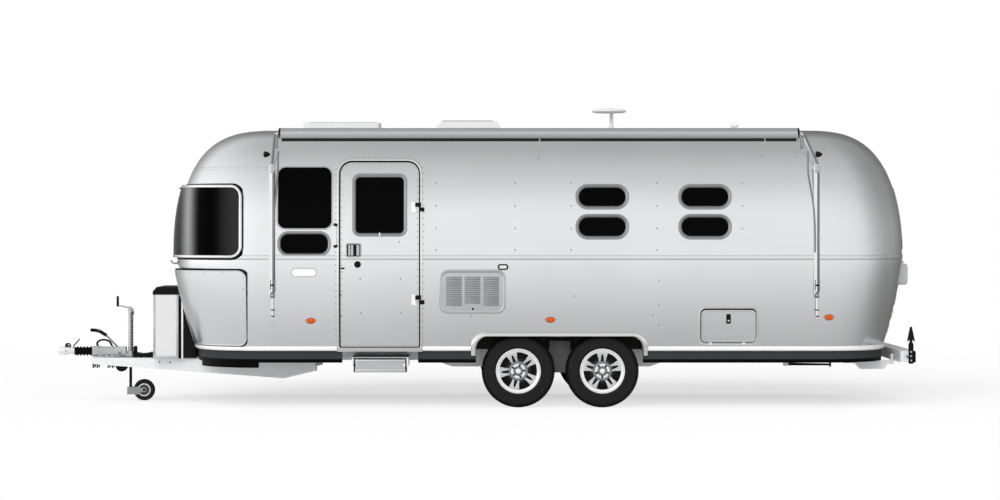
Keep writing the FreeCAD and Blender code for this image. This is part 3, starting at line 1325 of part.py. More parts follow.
def make_caster():
    """The jockey's fork, which swivels below the inner tube, and its wheel."""
    high = "stem_bottom - seat_gap"
    plates = []
    for label, y_high in (("left", "-%s" % FORK_Y), ("right", "%s + fork_plate" % FORK_Y)):
        plates.append(side_profile(
            "fork_plate_" + label,
            (
                ("mast_x - fork_front", high), ("mast_x - fork_front", "fork_low"),
                (CASTER_X + " + fork_lug", "jockey_radius - fork_lug"),
                (CASTER_X + " + fork_lug", "jockey_radius + fork_lug"),
                ("mast_x + fork_back", high),
            ),
            y_high, "fork_plate",
        ))
    crown = box(
        "fork_crown", ("mast_x - fork_front", "-%s - fork_plate" % FORK_Y, "fork_low"),
        ("mast_x + fork_back", "%s + fork_plate" % FORK_Y, high),
    )
    pin = cylinder(
        "caster_axle", "caster_pin", "2 * (%s + fork_plate + caster_head)" % FORK_Y,
        (CASTER_X, "-%s - fork_plate - caster_head" % FORK_Y, "jockey_radius"), "Y",
    )
    keep("jockey_fork", fuse("fork", crown, pin, *plates))
    tread_at = (CASTER_X, "-jockey_width / 2", "jockey_radius")
    tread = cylinder("caster_tread", "jockey_radius", "jockey_width", tread_at, "Y")
    hole_at = (CASTER_X, "-jockey_width / 2 - 1", "jockey_radius")
    hole = cylinder("caster_hole", "caster_pin + pin_fit", "jockey_width + 2", hole_at, "Y")
    keep("jockey_wheel", cut("caster", round_rims("caster_round", tread, size("jockey_round")), hole))


# ---------------------------------------------------------------- steadies and step
def make_steadies():
    for end, x, toward in (("front", STEADY_FRONT, -1), ("rear", STEADY_REAR, 1)):
        tip = "%s + (%d) * steady_length" % (x, toward)
        heel = "%s - (%d) * steady_heel" % (x, toward)
        low_z, high_z = "steady_pivot_z - steady_deep / 2", "steady_pivot_z + steady_deep / 2"
        leg = side_profile(
            "steady_leg_" + end,
            ((heel, low_z), (tip, low_z), (tip, high_z + " - steady_taper"), (heel, high_z)),
            "-steady_pivot_y + steady_width / 2", "steady_width",
        )
        foot_low, foot_high = (tip + " - foot_thick", tip) if toward < 0 else (tip, tip + " + foot_thick")
        foot = box(
            "steady_foot_" + end, (foot_low, "-steady_pivot_y - foot_width / 2", low_z + " - foot_rim"),
            (foot_high, "-steady_pivot_y + foot_width / 2", high_z + " + foot_rim"),
        )
        hole = cylinder(
            "steady_hole_" + end, "pin_radius + pin_fit", "steady_width + 2",
            (x, "-steady_pivot_y - steady_width / 2 - 1", "steady_pivot_z"), "Y",
        )
        left = cut("steady_left_" + end, fuse("steady_raw_" + end, leg, foot), hole)
        keep("steady_%s_left" % end, left)
        keep("steady_%s_right" % end, mirrored("steady_right_" + end, left))


STEP_LOW = FRONT + " + step_front"
STEP_HIGH = STEP_LOW + " + step_length"


def make_step():
    rail_face = "-%s - rail_width / 2" % BEAM_Y
    edge = "-%s + step_inset" % HALF
    front, rear = STEP_LOW + " - step_slack - step_side", STEP_HIGH + " + step_slack"
    sides = [
        box(
            "step_side_" + name, (low, edge, "step_top - step_side_low"),
            (low + " + step_side", rail_face, "step_top + step_side_high"),
        )
        for name, low in (("front", front), ("rear", rear))
    ]
    cover = box(
        "step_cover", (front, "-%s + step_cover_inset" % HALF, "step_top + step_side_high"),
        (rear + " + step_side", rail_face, "step_top + step_side_high + step_cover"),
    )
    keep("step_frame", fuse("step_frame_raw", cover, *sides))
    tray_low = "step_top - tray_thick"
    tray = box("step_tray", (STEP_LOW, edge, tray_low), (STEP_HIGH, edge + " + step_depth", "step_top"))
    riser = box(
        "step_riser", (STEP_LOW + " + riser_inset", edge + " + riser_thick", tray_low + " - riser_height"),
        (STEP_HIGH + " - riser_inset", edge + " + 2 * riser_thick", tray_low),
    )
    lip = box(
        "step_lip", (STEP_LOW, edge, tray_low + " - riser_height - step_lip"),
        (STEP_HIGH, edge + " + step_lip_thick", tray_low + " - riser_height"),
    )
    keep("step_tread", fuse("step", tray, riser, lip))


# ---------------------------------------------------------------- wheels
PAIRS = 5    # pairs of spokes in a rim
ONE_PAIR_UP, ONE_PAIR_DOWN = 0, 0.5    # how a rim is turned, in shares of the angle between pairs


def round_rims(label, disc, radius):
    """A disc with both its rims rounded."""
    disc.recompute()
    rounded = new("Part::Fillet", label)
    rounded.Base = disc
    rounded.Edges = [
        (number, radius, radius) for number, edge in enumerate(disc.Shape.Edges, start=1)
        if isinstance(edge.Curve, Part.Circle)
    ]
    return rounded


def make_spokes(end, x, stands):
    """Five pairs of parallel spokes, from the hub out to the rim, with one pair up or one pair down."""
    spokes = []
    for pair in range(PAIRS):
        turn = Rotation(Vector(0, 1, 0), (pair + stands) * 360 / PAIRS)
        across = turn.multVec(Vector(1, 0, 0))
        for side in (-1, 1):
            spoke = bind(
                new("Part::Box", "spoke_%s_%d_%d" % (end, pair, side)),
                Length="spoke_width", Width="spoke_thick", Height="rim_radius - rim_wall / 2",
            )
            shift = "(%d * spoke_apart / 2 - spoke_width / 2)" % side
            spokes.append(place(spoke, (
                "%s + %.6f * %s" % (x, across.x, shift), "-%s - rim_face - spoke_thick" % WHEEL_Y,
                "wheel_radius + %.6f * %s" % (across.z, shift),
            ), turn))
    return spokes


def make_wheels():
    for end, x, stands in (("front", "front_axle_x", ONE_PAIR_DOWN), ("rear", REAR_AXLE, ONE_PAIR_UP)):
        def disc(label, radius, inner, outer):
            """A disc on the wheel's axis, between two distances from the middle plane."""
            at = (x, "-%s - (%s)" % (WHEEL_Y, outer), "wheel_radius")
            return cylinder("%s_%s" % (label, end), radius, "(%s) + (%s)" % (outer, inner), at, "Y")

        block = disc("tyre_block", "wheel_radius", "tyre_width / 2", "tyre_width / 2")
        seat = disc("tyre_seat", "rim_radius + seat_gap", "tyre_width / 2 + 1", "tyre_width / 2 + 1")
        tyre = cut("tyre_left_" + end, round_rims("tyre_round_" + end, block, size("tyre_shoulder")), seat)
        barrel = disc("rim_barrel", "rim_radius", "rim_width / 2", "rim_width / 2")
        inside = disc("rim_inside", "rim_radius - rim_wall", "rim_width / 2 + 1", "rim_width / 2 + 1")
        hub = disc("hub", "hub_radius", "hub_back", "rim_face + spoke_thick")
        bore = disc("hub_bore", "stub_radius + stub_fit", "hub_back + 1", "rim_face + stub_tip + stub_fit")
        ring = cut("rim_tube_" + end, barrel, inside)
        rim = cut("rim_left_" + end, fuse("rim_raw_" + end, ring, hub, *make_spokes(end, x, stands)), bore)
        keep("tyre_%s_left" % end, tyre)
        keep("tyre_%s_right" % end, mirrored("tyre_right_" + end, tyre))
        keep("rim_%s_left" % end, rim)
        keep("rim_%s_right" % end, mirrored("rim_right_" + end, rim))


# ---------------------------------------------------------------- front guards and gas locker
def cap_ring(end, low, high, inner, outer):
    """A band round the nose or tail between two heights, with straight walls between them."""
    outside = Part.makeLoft([plan_wire(z, end, offset) for z, offset in zip((low, high), outer)], True, True)
    inside = Part.makeLoft([plan_wire(z, end, offset) for z, offset in zip((low, high), inner)], True, True)
    return outside.cut(inside)


def cap_skin(label, end):
    """The whole nose or tail with its skin moved out, to trim what stands on it."""
    return shape_feature(label, cap_solid(end, SEAT, level_heights(SEAT, 0.9995)))


# Side view of the guard's fixed hinge, from its axis: up the front of the guard and back
# over its top edge to the skin. Columns: along X, up.
BRIDGE = ((-8, 0), (-8, 32), (110, 32), (110, 21), (1, 21), (1, 0))


def make_rock_guard():
    low, high = size("guard_bottom"), size("guard_top")
    out, thick = size("guard_out"), size("guard_thick")
    band = shape_feature("guard_band", cap_ring("nose", low, high, (out, out), (out + thick, out + thick)))
    low_x, high_x = FRONT + " - nose_reach - root", FRONT + " - guard_rear"
    tall_block = box(
        "guard_outline_block",
        (low_x, "-body_width", "guard_bottom"), (high_x, "body_width", "guard_top + cutter_in"),
    )
    outline = fillet_along("guard_outline", tall_block, Vector(0, 1, 0), size("guard_corner"))
    guard = common("guard_trimmed", band, outline)
    barrel = size("guard_barrel")
    axis_x = seam_x("nose") - end_reach(high, "nose") - out - thick - barrel - size("guard_barrel_gap")
    axis_z = high - size("guard_barrel_drop")
    outer_face = Part.makeLoft([plan_wire(z, "nose", out + thick + SEAT) for z in (low, high)], True, True)
    moving, fixed = [], []
    for side in (-1, 1):
        y = "(%d) * guard_hinge_y" % side
        post_y = y + " - guard_hinge_length / 2 - seat_gap"
        half = "guard_hinge_length / 2"
        axis = (str(axis_x), y, str(axis_z))
        knuckle = cylinder("guard_knuckle_%d" % side, "guard_barrel", half, axis, "Y")
        tab = box(
            "guard_tab_%d" % side, ("%f - guard_tab_thick" % axis_x, y, "%f - guard_tab_low" % axis_z),
            ("%f + guard_tab_reach" % axis_x, "%s + %s" % (y, half), "%f - guard_tab_high" % axis_z),
        )
        face = shape_feature("guard_outer_face_%d" % side, outer_face)
        raw = fuse("guard_knuckle_raw_%d" % side, knuckle, tab)
        moving.append(cut("guard_tab_trimmed_%d" % side, raw, face))
        axis = (str(axis_x), post_y, str(axis_z))
        post = cylinder("guard_post_barrel_%d" % side, "guard_barrel", half, axis, "Y")
        bridge = side_profile(
            "guard_bridge_%d" % side,
            tuple((str(axis_x + along), str(axis_z + up)) for along, up in BRIDGE),
            y + " - seat_gap", half,
        )
        raw = fuse("guard_post_raw_%d" % side, post, bridge)
        fixed.append(cut("guard_post_%d" % side, raw, cap_skin("guard_skin_%d" % side, "nose")))
    keep("rock_guard", guard, *moving)
    keep("rock_guard_hinges", *fixed)
    return axis_x, axis_z


def make_stone_guards():
    low, high = size("stone_bottom"), size("stone_top")
    thick = size("stone_thick")
    inner = (size("stone_out_low"), size("stone_out_high"))
    sheet_band = cap_ring("nose", low, high, inner, tuple(out + thick for out in inner))
    foot_out = inner[0] + thick / 2
    foot = cap_ring("nose", low, low + size("stone_foot"), (SEAT, SEAT), (foot_out, foot_out))
    band = shape_feature("stone_band", sheet_band.fuse(foot))
    left = box(
        "stone_left", (FRONT + " - nose_reach - root", "-body_width", "stone_bottom - 1"),
        (FRONT + " - stone_rear", "-stone_inner", "stone_top + 1"),
    )
    keep("stone_guards", both_sides("stone_pair", common("stone_guard_left", band, left)))


def make_gas_locker():
    front, rear = "locker_rear - locker_depth", "locker_rear"
    top = "skirt_height + locker_height"
    half = "locker_width / 2"
    block = box("locker_block", (front, "-" + half, "skirt_height"), (rear, half, top))
    inside = box(
        "locker_inside", (front + " + locker_wall", "-%s + locker_wall" % half, "skirt_height + locker_wall"),
        (rear + " - locker_wall", half + " - locker_wall", top + " + 1"),
    )
    rounded = fillet_along("locker_rounded", block, Vector(0, 0, 1), size("locker_corner"))
    hinges = []
    for side in (-1, 1):
        middle = "(%d) * locker_width / 4" % side
        hinges.append(box(
            "lid_hinge_%d" % side, (rear + " + seat_gap", middle + " - lid_hinge / 2", top + " - lid_hinge"),
            (rear + " + lid_wall", middle + " + lid_hinge / 2", top + " + lid_height - lid_wall"),
        ))
    keep("gas_locker", cut("locker", rounded, inside), *hinges)
    lid_top, seat = top + " + lid_height", top + " + seat_gap"
    lid = side_profile(
        "lid_block",
        (
            (front + " - lid_lap", seat), (rear, seat), (rear, lid_top), (front + " + lid_slope", lid_top),
            (front + " - lid_lap", top + " + lid_front"),
        ),
        half + " + lid_lap", "locker_width + 2 * lid_lap",
    )
    hollow = side_profile(
        "lid_hollow",
        (
            (front + " + lid_wall", top), (rear + " - lid_wall", top),
            (rear + " - lid_wall", lid_top + " - lid_wall"),
            (front + " + lid_slope + lid_wall", lid_top + " - lid_wall"),
            (front + " + lid_wall", top + " + lid_front"),
        ),
        half + " - lid_wall", "locker_width - 2 * lid_wall",
    )
    keep("gas_locker_lid", cut("lid", lid, hollow))


# ---------------------------------------------------------------- awning and roof
def make_awning():
    """The roller, and an arm at each end of it that folds flat against the body."""
    roller_at = (FRONT + " + awning_front", "-roller_y", "roller_z")
    length = "body_length - awning_front - awning_rear"
    keep("awning_roller", cylinder("roller", "roller_radius", length, roller_at, "X"))
    roller_ends = {"front": size("front_seam") + size("awning_front")}
    roller_ends["rear"] = size("front_seam") + size("body_length") - size("awning_rear")
    arm_y = "-%s - arm_out" % HALF
    arms = []
    for end, toward in (("front", -1), ("rear", 1)):
        at = roller_ends[end] + toward * size(end + "_arm_out")
        head_x = roller_ends[end] + toward * size(end + "_head_out")
        head = Vector(head_x, -size("roller_y"), size("roller_z"))
        knee = Vector(at, -size("body_width") / 2 - size("arm_out"), size("arm_knee"))
        x = str(at)
        foot_at = (x, arm_y, "arm_bottom")
        straight = cylinder("arm_tube_" + end, "arm_radius", "arm_knee - arm_bottom", foot_at, "Z")
        channel = box(
            "arm_channel_" + end, (x + " - channel_width", arm_y + " - channel_depth / 2", "channel_low"),
            (x, arm_y + " + channel_depth / 2", "arm_knee - arm_bend"),
        )
        low_x = head_x if toward < 0 else roller_ends[end] + SEAT
        length = str(abs(roller_ends[end] - head_x) - SEAT)
        axle = cylinder("roller_axle_" + end, "arm_axle", length, (str(low_x), "-roller_y", "roller_z"), "X")
        feet = []
        for name, height in (("low", "arm_bottom + arm_foot_low"), ("high", "arm_knee - arm_foot_high")):
            feet.append(box(
                "arm_foot_%s_%s" % (end, name), (x + " - arm_foot / 2", arm_y, "%s - arm_foot / 2" % height),
                (x + " + arm_foot / 2", "-%s + root" % HALF, "%s + arm_foot / 2" % height),
            ))
        slant = rod("arm_slant_" + end, "arm_radius", knee, head)
        joint = ball("arm_joint_" + end, "arm_bend", knee)
        raw = fuse("awning_arm_raw_" + end, straight, channel, slant, joint, axle, *feet)
        arms.append(cut("awning_arm_" + end, raw, skin_block("arm_clear_" + end, SEAT, size("cutter_in"))))
    keep("awning_arms", *arms)


def on_roof(label, x_mid, length, width, low, high):
    return box(
        label, ("%s - (%s) / 2" % (x_mid, length), "-(%s) / 2" % width, low),
        ("%s + (%s) / 2" % (x_mid, length), "(%s) / 2" % width, high),
    )


def make_roof_fittings():
    roof_skin = skin_block("roof_skin")
    inner = " - 2 * roof_frame"
    low = ROOF + " - roof_lap"
    mid = FRONT + " + skylight_x"
    dome = on_roof("skylight_dome", mid, "skylight_length", "skylight_width", low, ROOF + " + skylight_rise")
    hollow = on_roof(
        "skylight_hollow", mid, "skylight_length" + inner, "skylight_width" + inner,
        low, ROOF + " + skylight_rise - skylight_wall",
    )
    rounded = fillet_along("skylight_round", dome, Vector(0, 0, 1), size("skylight_corner"))
    keep("skylight", cut("skylight_cut", rounded, roof_skin, hollow))
    mid = FRONT + " + roof_vent_x"
    seat = ROOF + " + roof_vent_rise"
    base = on_roof("roof_vent_block", mid, "roof_vent_length", "roof_vent_width", low, seat)
    hole = on_roof(
        "roof_vent_inner", mid, "roof_vent_length" + inner, "roof_vent_width" + inner,
        low + " - 1", seat + " + 1",
    )
    keep("roof_vent_base", cut("roof_vent_frame", base, roof_skin, hole))
    front, rear = mid + " - roof_vent_length / 2", mid + " + roof_vent_length / 2"
    top = ROOF + " + roof_vent_lid"
    lid = side_profile(
        "vent_lid_block",
        (
            (front, seat + " + seat_gap"), (rear, seat + " + seat_gap"),
            (rear + " - roof_vent_rear", top), (front + " + roof_vent_front", top),
        ),
        "roof_vent_width / 2", "roof_vent_width",
    )
    lid_hollow = side_profile(
        "vent_lid_hollow",
        (
            (front + " + roof_vent_wall", seat), (rear + " - roof_vent_wall", seat),
            (rear + " - roof_vent_rear - roof_vent_wall", top + " - roof_vent_wall"),
            (front + " + roof_vent_front + roof_vent_wall", top + " - roof_vent_wall"),
        ),
        "roof_vent_width / 2 - roof_vent_wall", "roof_vent_width - 2 * roof_vent_wall",
    )
    keep("roof_vent_lid", cut("vent_lid", lid, lid_hollow))
    mid = REAR + " - dish_x"
    disc = cylinder("dish", "dish_radius", "dish_height", (mid, "0", "dish_bottom"), "Z")
    stalk_at = (mid + " + stalk_x", "0", ROOF)
    stalk = cylinder("dish_stalk", "stalk_radius", "dish_bottom - %s + 1" % ROOF, stalk_at, "Z")
    foot = box(
        "dish_foot_plate", (mid, "-dish_foot_width / 2", low),
        (mid + " + dish_foot", "dish_foot_width / 2", ROOF + " + dish_foot_rise"),
    )
    mid = REAR + " - cap_vent_x"
    cone_low = ROOF + " + cap_vent_rise - cap_vent_cone"
    pipe_length = "roof_lap + cap_vent_rise - cap_vent_cone"
    pipe = cylinder("cap_vent_pipe", "cap_vent_pipe", pipe_length, (mid, "0", low), "Z")
    cap = cone("cap_vent_top", "cap_vent_radius", "cap_vent_top", "cap_vent_cone", (mid, "0", cone_low), "Z")
    keep(
        "roof_aerial_and_cowl", cut("aerial", fuse("aerial_raw", disc, stalk, foot), roof_skin),
        cut("cowl", fuse("cowl_raw", cap, pipe), roof_skin),
    )


# ---------------------------------------------------------------- lamps and tail
LAMP_STOCK = {"side": trim_stock, "nose": nose_trim_stock, "tail": tail_trim_stock}


def make_lamps():
    lamps = []
    for name, panel, seam, sides, *_ in LAMPS:
        length, height = name + "_length", name + "_height"
        corner = min(size(length), size(height)) * LAMP_ROUND
        x_mid = "%s + %s_x" % (SEAM[seam], name)
        prism = side_prism(name + "_prism", -1, x_mid, name + "_z", length, height, corner)
        lamp = common(name + "_left", LAMP_STOCK[panel], prism)
        lamps.append(lamp if sides == 1 else both_sides(name, lamp))
    keep("side_lamps", *lamps)


def make_tail():
    rear = REAR + " + bumper_rear"
    front = rear + " - bumper_depth"
    bar = box(
        "bumper_bar", (front, "-bumper_width / 2", "bumper_bottom"),
        (rear, "bumper_width / 2", "bumper_bottom + bumper_height"),
    )
    rounded = fillet_along("bumper_round", bar, Vector(0, 0, 1), size("bumper_corner"))
    start = REAR + " + bracket_front"
    deep, thin = "skirt_height - bracket_deep", "skirt_height - bracket_thin"
    upright, back = "bumper_bottom + bracket_rise", front + " + bracket_lap"
    bracket = side_profile(
        "bumper_bracket",
        (
            (start, "skirt_height"), (start + " + bracket_slope", deep),
            (start + " + bracket_slope + bracket_length", deep),
            (start + " + bracket_slope + bracket_length + bracket_thin", thin), (back, thin), (back, upright),
            (back + " - bracket_thick", upright), (back + " - bracket_thick", "skirt_height"),
        ),
        "-%s + rail_width / 2" % BEAM_Y, "rail_width",
    )
    keep("rear_bumper", fuse("bumper", rounded, both_sides("bumper_brackets", bracket)))
    blade = side_profile(
        "marker_blade",
        tuple(
            ("%s + marker_x + (%d)" % (REAR, along), "marker_low + (marker_high - marker_low) * %g" % share)
            for along, share in MARKER_BLADE
        ),
        "-marker_reach + marker_width", "marker_width",
    )
    middle = REAR + " + marker_x"
    stem_low, stem_high = "bumper_bottom + marker_stem_low", "bumper_bottom + marker_stem_high"
    stem = box(
        "marker_stem",
        (middle + " - marker_stem / 2", "-marker_reach + marker_width - 1", stem_low),
        (middle + " + marker_stem / 2", "-bumper_width / 2 - seat_gap", stem_high),
    )
    keep("marker_arms", both_sides("marker_pair", fuse("marker_left", blade, stem)))
    face, inside = REAR + " + plate_rear", REAR + " + tail_reach - root"
    top = "plate_bottom + plate_height"
    holder = box("plate_block", (inside, "-plate_width / 2", "plate_bottom"), (face, "plate_width / 2", top))
    lamp = box(
        "plate_lamp_block", (inside, "-plate_lamp_width / 2", top),
        (face + " + plate_lamp", "plate_lamp_width / 2", top + " + plate_lamp_height"),
    )
    raw = fuse("plate_raw", holder, lamp)
    keep("number_plate_holder", cut("plate_holder", raw, cap_skin("tail_skin", "tail")))


make_walls()
make_caps()
make_windows()
make_side_trim()
make_door()
make_hatches()
make_floor()
make_skirt()
make_chassis()
make_axles()
make_drawbar()
make_coupling()
make_handbrake()
make_jockey()
make_caster()
make_steadies()
make_step()
make_wheels()
guard_axis = make_rock_guard()
make_stone_guards()
make_gas_locker()
make_awning()
make_roof_fittings()
make_lamps()
make_tail()


# ---------------------------------------------------------------- checks and files
def check_and_write():
    doc.recompute()
    failed = [thing.Label for thing in doc.Objects if {"Invalid", "Error"} & set(thing.State)]
    if failed:
        raise SystemExit("objects that failed: " + ", ".join(failed))
    for node, piece in parts.items():
        shape = piece.Shape
        if shape.isNull() or not shape.isValid() or not shape.Solids:
            raise SystemExit("not a valid solid: " + node)
    os.makedirs("parts", exist_ok=True)
    for node, piece in parts.items():
        piece.Shape.exportStep(os.path.join("parts", node + ".step"))
    box_all = Part.makeCompound([piece.Shape for piece in parts.values()]).BoundBox
    print("nodes", len(parts), "box", box_all)
    print("guard hinge axis", guard_axis)


check_and_write()
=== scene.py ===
# %% [markdown]
# # A riveted aluminium travel caravan
#
# This lesson dresses a caravan whose frame is already engineered. The frame gives every
# hinge, wheel and bracket at its real size, in metres, with X along the trailer (the coupling
# is at -X), the entry door on the -Y side and Z up. Each step says what a piece is on the real
# object, how it could be made, and why this way was chosen.

# %% Load the frame
import json
import math

import bmesh
import bpy
from mathutils import Matrix, Vector

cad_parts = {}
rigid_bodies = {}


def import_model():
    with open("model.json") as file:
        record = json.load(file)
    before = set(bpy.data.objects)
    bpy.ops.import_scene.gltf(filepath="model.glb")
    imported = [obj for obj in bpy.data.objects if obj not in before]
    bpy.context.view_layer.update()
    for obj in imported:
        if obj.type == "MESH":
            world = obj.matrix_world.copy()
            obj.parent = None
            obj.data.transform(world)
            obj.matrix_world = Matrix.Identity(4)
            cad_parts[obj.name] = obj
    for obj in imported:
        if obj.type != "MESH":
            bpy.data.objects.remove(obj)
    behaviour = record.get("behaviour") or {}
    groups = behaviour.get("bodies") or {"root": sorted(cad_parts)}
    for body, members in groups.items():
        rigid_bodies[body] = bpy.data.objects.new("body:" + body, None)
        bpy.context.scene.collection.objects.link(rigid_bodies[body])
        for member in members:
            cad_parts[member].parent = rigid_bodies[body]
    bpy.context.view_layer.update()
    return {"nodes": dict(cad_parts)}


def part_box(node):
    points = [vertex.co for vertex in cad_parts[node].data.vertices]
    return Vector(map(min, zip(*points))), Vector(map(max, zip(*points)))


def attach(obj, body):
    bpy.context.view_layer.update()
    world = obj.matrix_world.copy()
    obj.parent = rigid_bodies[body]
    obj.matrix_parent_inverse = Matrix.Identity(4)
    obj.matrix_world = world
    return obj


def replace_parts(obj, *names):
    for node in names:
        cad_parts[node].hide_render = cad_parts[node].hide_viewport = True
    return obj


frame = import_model()
NODES = frame["nodes"]
MM = 0.001

# %% [markdown]
# ## The studio
#
# A camera stands well back from a caravan with a long lens, so that its long side
# stays straight. The lens is at about 30 m, level with the middle of the body. A pale floor
# takes the soft shadow, and a white sky, a little darker overhead, is what the metal mirrors.

# %% Camera
scene = bpy.context.scene
scene.view_settings.view_transform = "Standard"
IMAGE_WIDTH = 1000
CAMERA_AT = Vector((-0.211, -28.25, 1.75))
FOCAL_STEPS = 2812      # focal length, in the steps of which the image is IMAGE_WIDTH wide


def stand(name, data):
    """An object in the scene."""
    thing = bpy.data.objects.new(name, data)
    scene.collection.objects.link(thing)
    return thing


def add_camera():
    data = bpy.data.cameras.new("camera")
    data.sensor_width = 36
    data.lens = FOCAL_STEPS * data.sensor_width / IMAGE_WIDTH
    data.shift_x, data.shift_y = 0.040, -0.0238
    data.clip_end = 400
    scene.camera = stand("camera", data)
    scene.camera.location = CAMERA_AT
    scene.camera.rotation_euler = (math.pi / 2, 0, 0)
    print("camera: lens %.1f mm on a 36 mm sensor, %.1f m away" % (data.lens, -CAMERA_AT.y))


add_camera()

# %% [markdown]
# ## Materials: a few small tools
#
# Every finish here is worked out by nodes. One function turns a written colour into light, one
# adds a node with its settings and links, and one starts a material with its shader and with
# Object coordinates in millimetres, so that a pattern's scale can be given in real sizes.


# %% Colour and node tools
def linear(text):
    """An sRGB hex colour as linear red, green, blue and alpha."""
    channels = [int(text[i:i + 2], 16) / 255 for i in (1, 3, 5)]
    return [c / 12.92 if c <= 0.04045 else ((c + 0.055) / 1.055) ** 2.4 for c in channels] + [1.0]


def plug(tree, socket, value):
    """Sets an input to a value, or links a socket, or a node's first output, to it."""
    if isinstance(value, bpy.types.Node):
        value = value.outputs[0]
    if isinstance(value, bpy.types.NodeSocket):
        tree.links.new(value, socket)
    else:
        socket.default_value = value


def add(tree, kind, inputs=None, stops=(), **settings):
    """A node with its settings, its inputs' values and links, and a ramp's (position, value) stops."""
    node = tree.nodes.new(kind)
    for name, value in settings.items():
        setattr(node, name, value)
    for name, value in (inputs or {}).items():
        plug(tree, node.inputs[name], value)
    if stops:
        ends = node.color_ramp.elements
        ends[0].position, ends[1].position = stops[0][0], stops[-1][0]
        for position, _ in stops[1:-1]:
            ends.new(position)
        for end, (_, value) in zip(ends, stops):
            end.color = linear(value) if isinstance(value, str) else [value] * 3 + [1]
    return node


class Finish:
    """A material in the making: its tree, its shader and its coordinates in millimetres."""

    def __init__(self, name, colour, roughness, metallic=0.0, **sockets):
        self.material = bpy.data.materials.new(name)
        self.material.use_nodes = True
        self.tree = self.material.node_tree
        self.shader = self.tree.nodes["Principled BSDF"]
        for socket, value in {"Base Color": linear(colour), "Roughness": roughness, "Metallic": metallic,
                              **sockets}.items():
            self.set(socket.replace("_", " "), value)
        self.place = add(self.tree, "ShaderNodeTexCoord").outputs["Object"]

    def set(self, name, value):
        plug(self.tree, self.shader.inputs[name], value)


# %% Floor
FLOOR_OWN_LIGHT = (0.86, 0.34)   # share of the floor's white that no shadow touches, near and far
FLOOR_OWN_REACH = (-1.6, 3.0)    # metres from the middle, between which that share changes
FLOOR_MIRRORED = ((0.0, 0.42), (0.16, 0.50), (0.26, 0.62), (0.42, 0.80), (1.0, 0.96))
FLOOR_FADE = 26.0             # metres over which the mirrored floor brightens
# How bright the studio's left, right and back are in the metal, as shares from -1 to 1 along a
# direction; the right-hand end darkens along a line that slants away from the camera.
LEFT_LEVELS = ((0.0, 1.0), (0.10, 0.94), (0.25, 0.84), (0.44, 0.735), (0.50, 0.66), (1.0, 0.66))
RIGHT_LEVELS = ((0.0, 1.0), (0.20, 1.0), (0.41, 0.97), (0.62, 0.90), (0.80, 0.62), (1.0, 0.38))
BACK_LEVELS = ((0.0, 1.0), (0.80, 1.0), (0.90, 0.66), (0.96, 0.42), (1.0, 0.32))
DIRECTIONS = (((1, 0, 0), LEFT_LEVELS), ((0.8, 0.6, 0), RIGHT_LEVELS), ((0, 1, 0), BACK_LEVELS))
MIRROR_STRENGTH = 1.60
WHITE = linear("#FFFFFF")


def turned_level(tree, way, level):
    """A level that changes towards the studio's left, right and back."""
    for direction, stops in DIRECTIONS:
        share = add(tree, "ShaderNodeVectorMath", {0: way, 1: direction}, operation="DOT_PRODUCT")
        share = add(tree, "ShaderNodeMapRange", {"Value": share.outputs["Value"], "From Min": -1.0})
        fall = add(tree, "ShaderNodeValToRGB", {"Fac": share}, stops)
        level = add(tree, "ShaderNodeMix", {0: 1.0, 6: level, 7: fall}, data_type="RGBA",
                    blend_type="MULTIPLY").outputs[2]
    return level


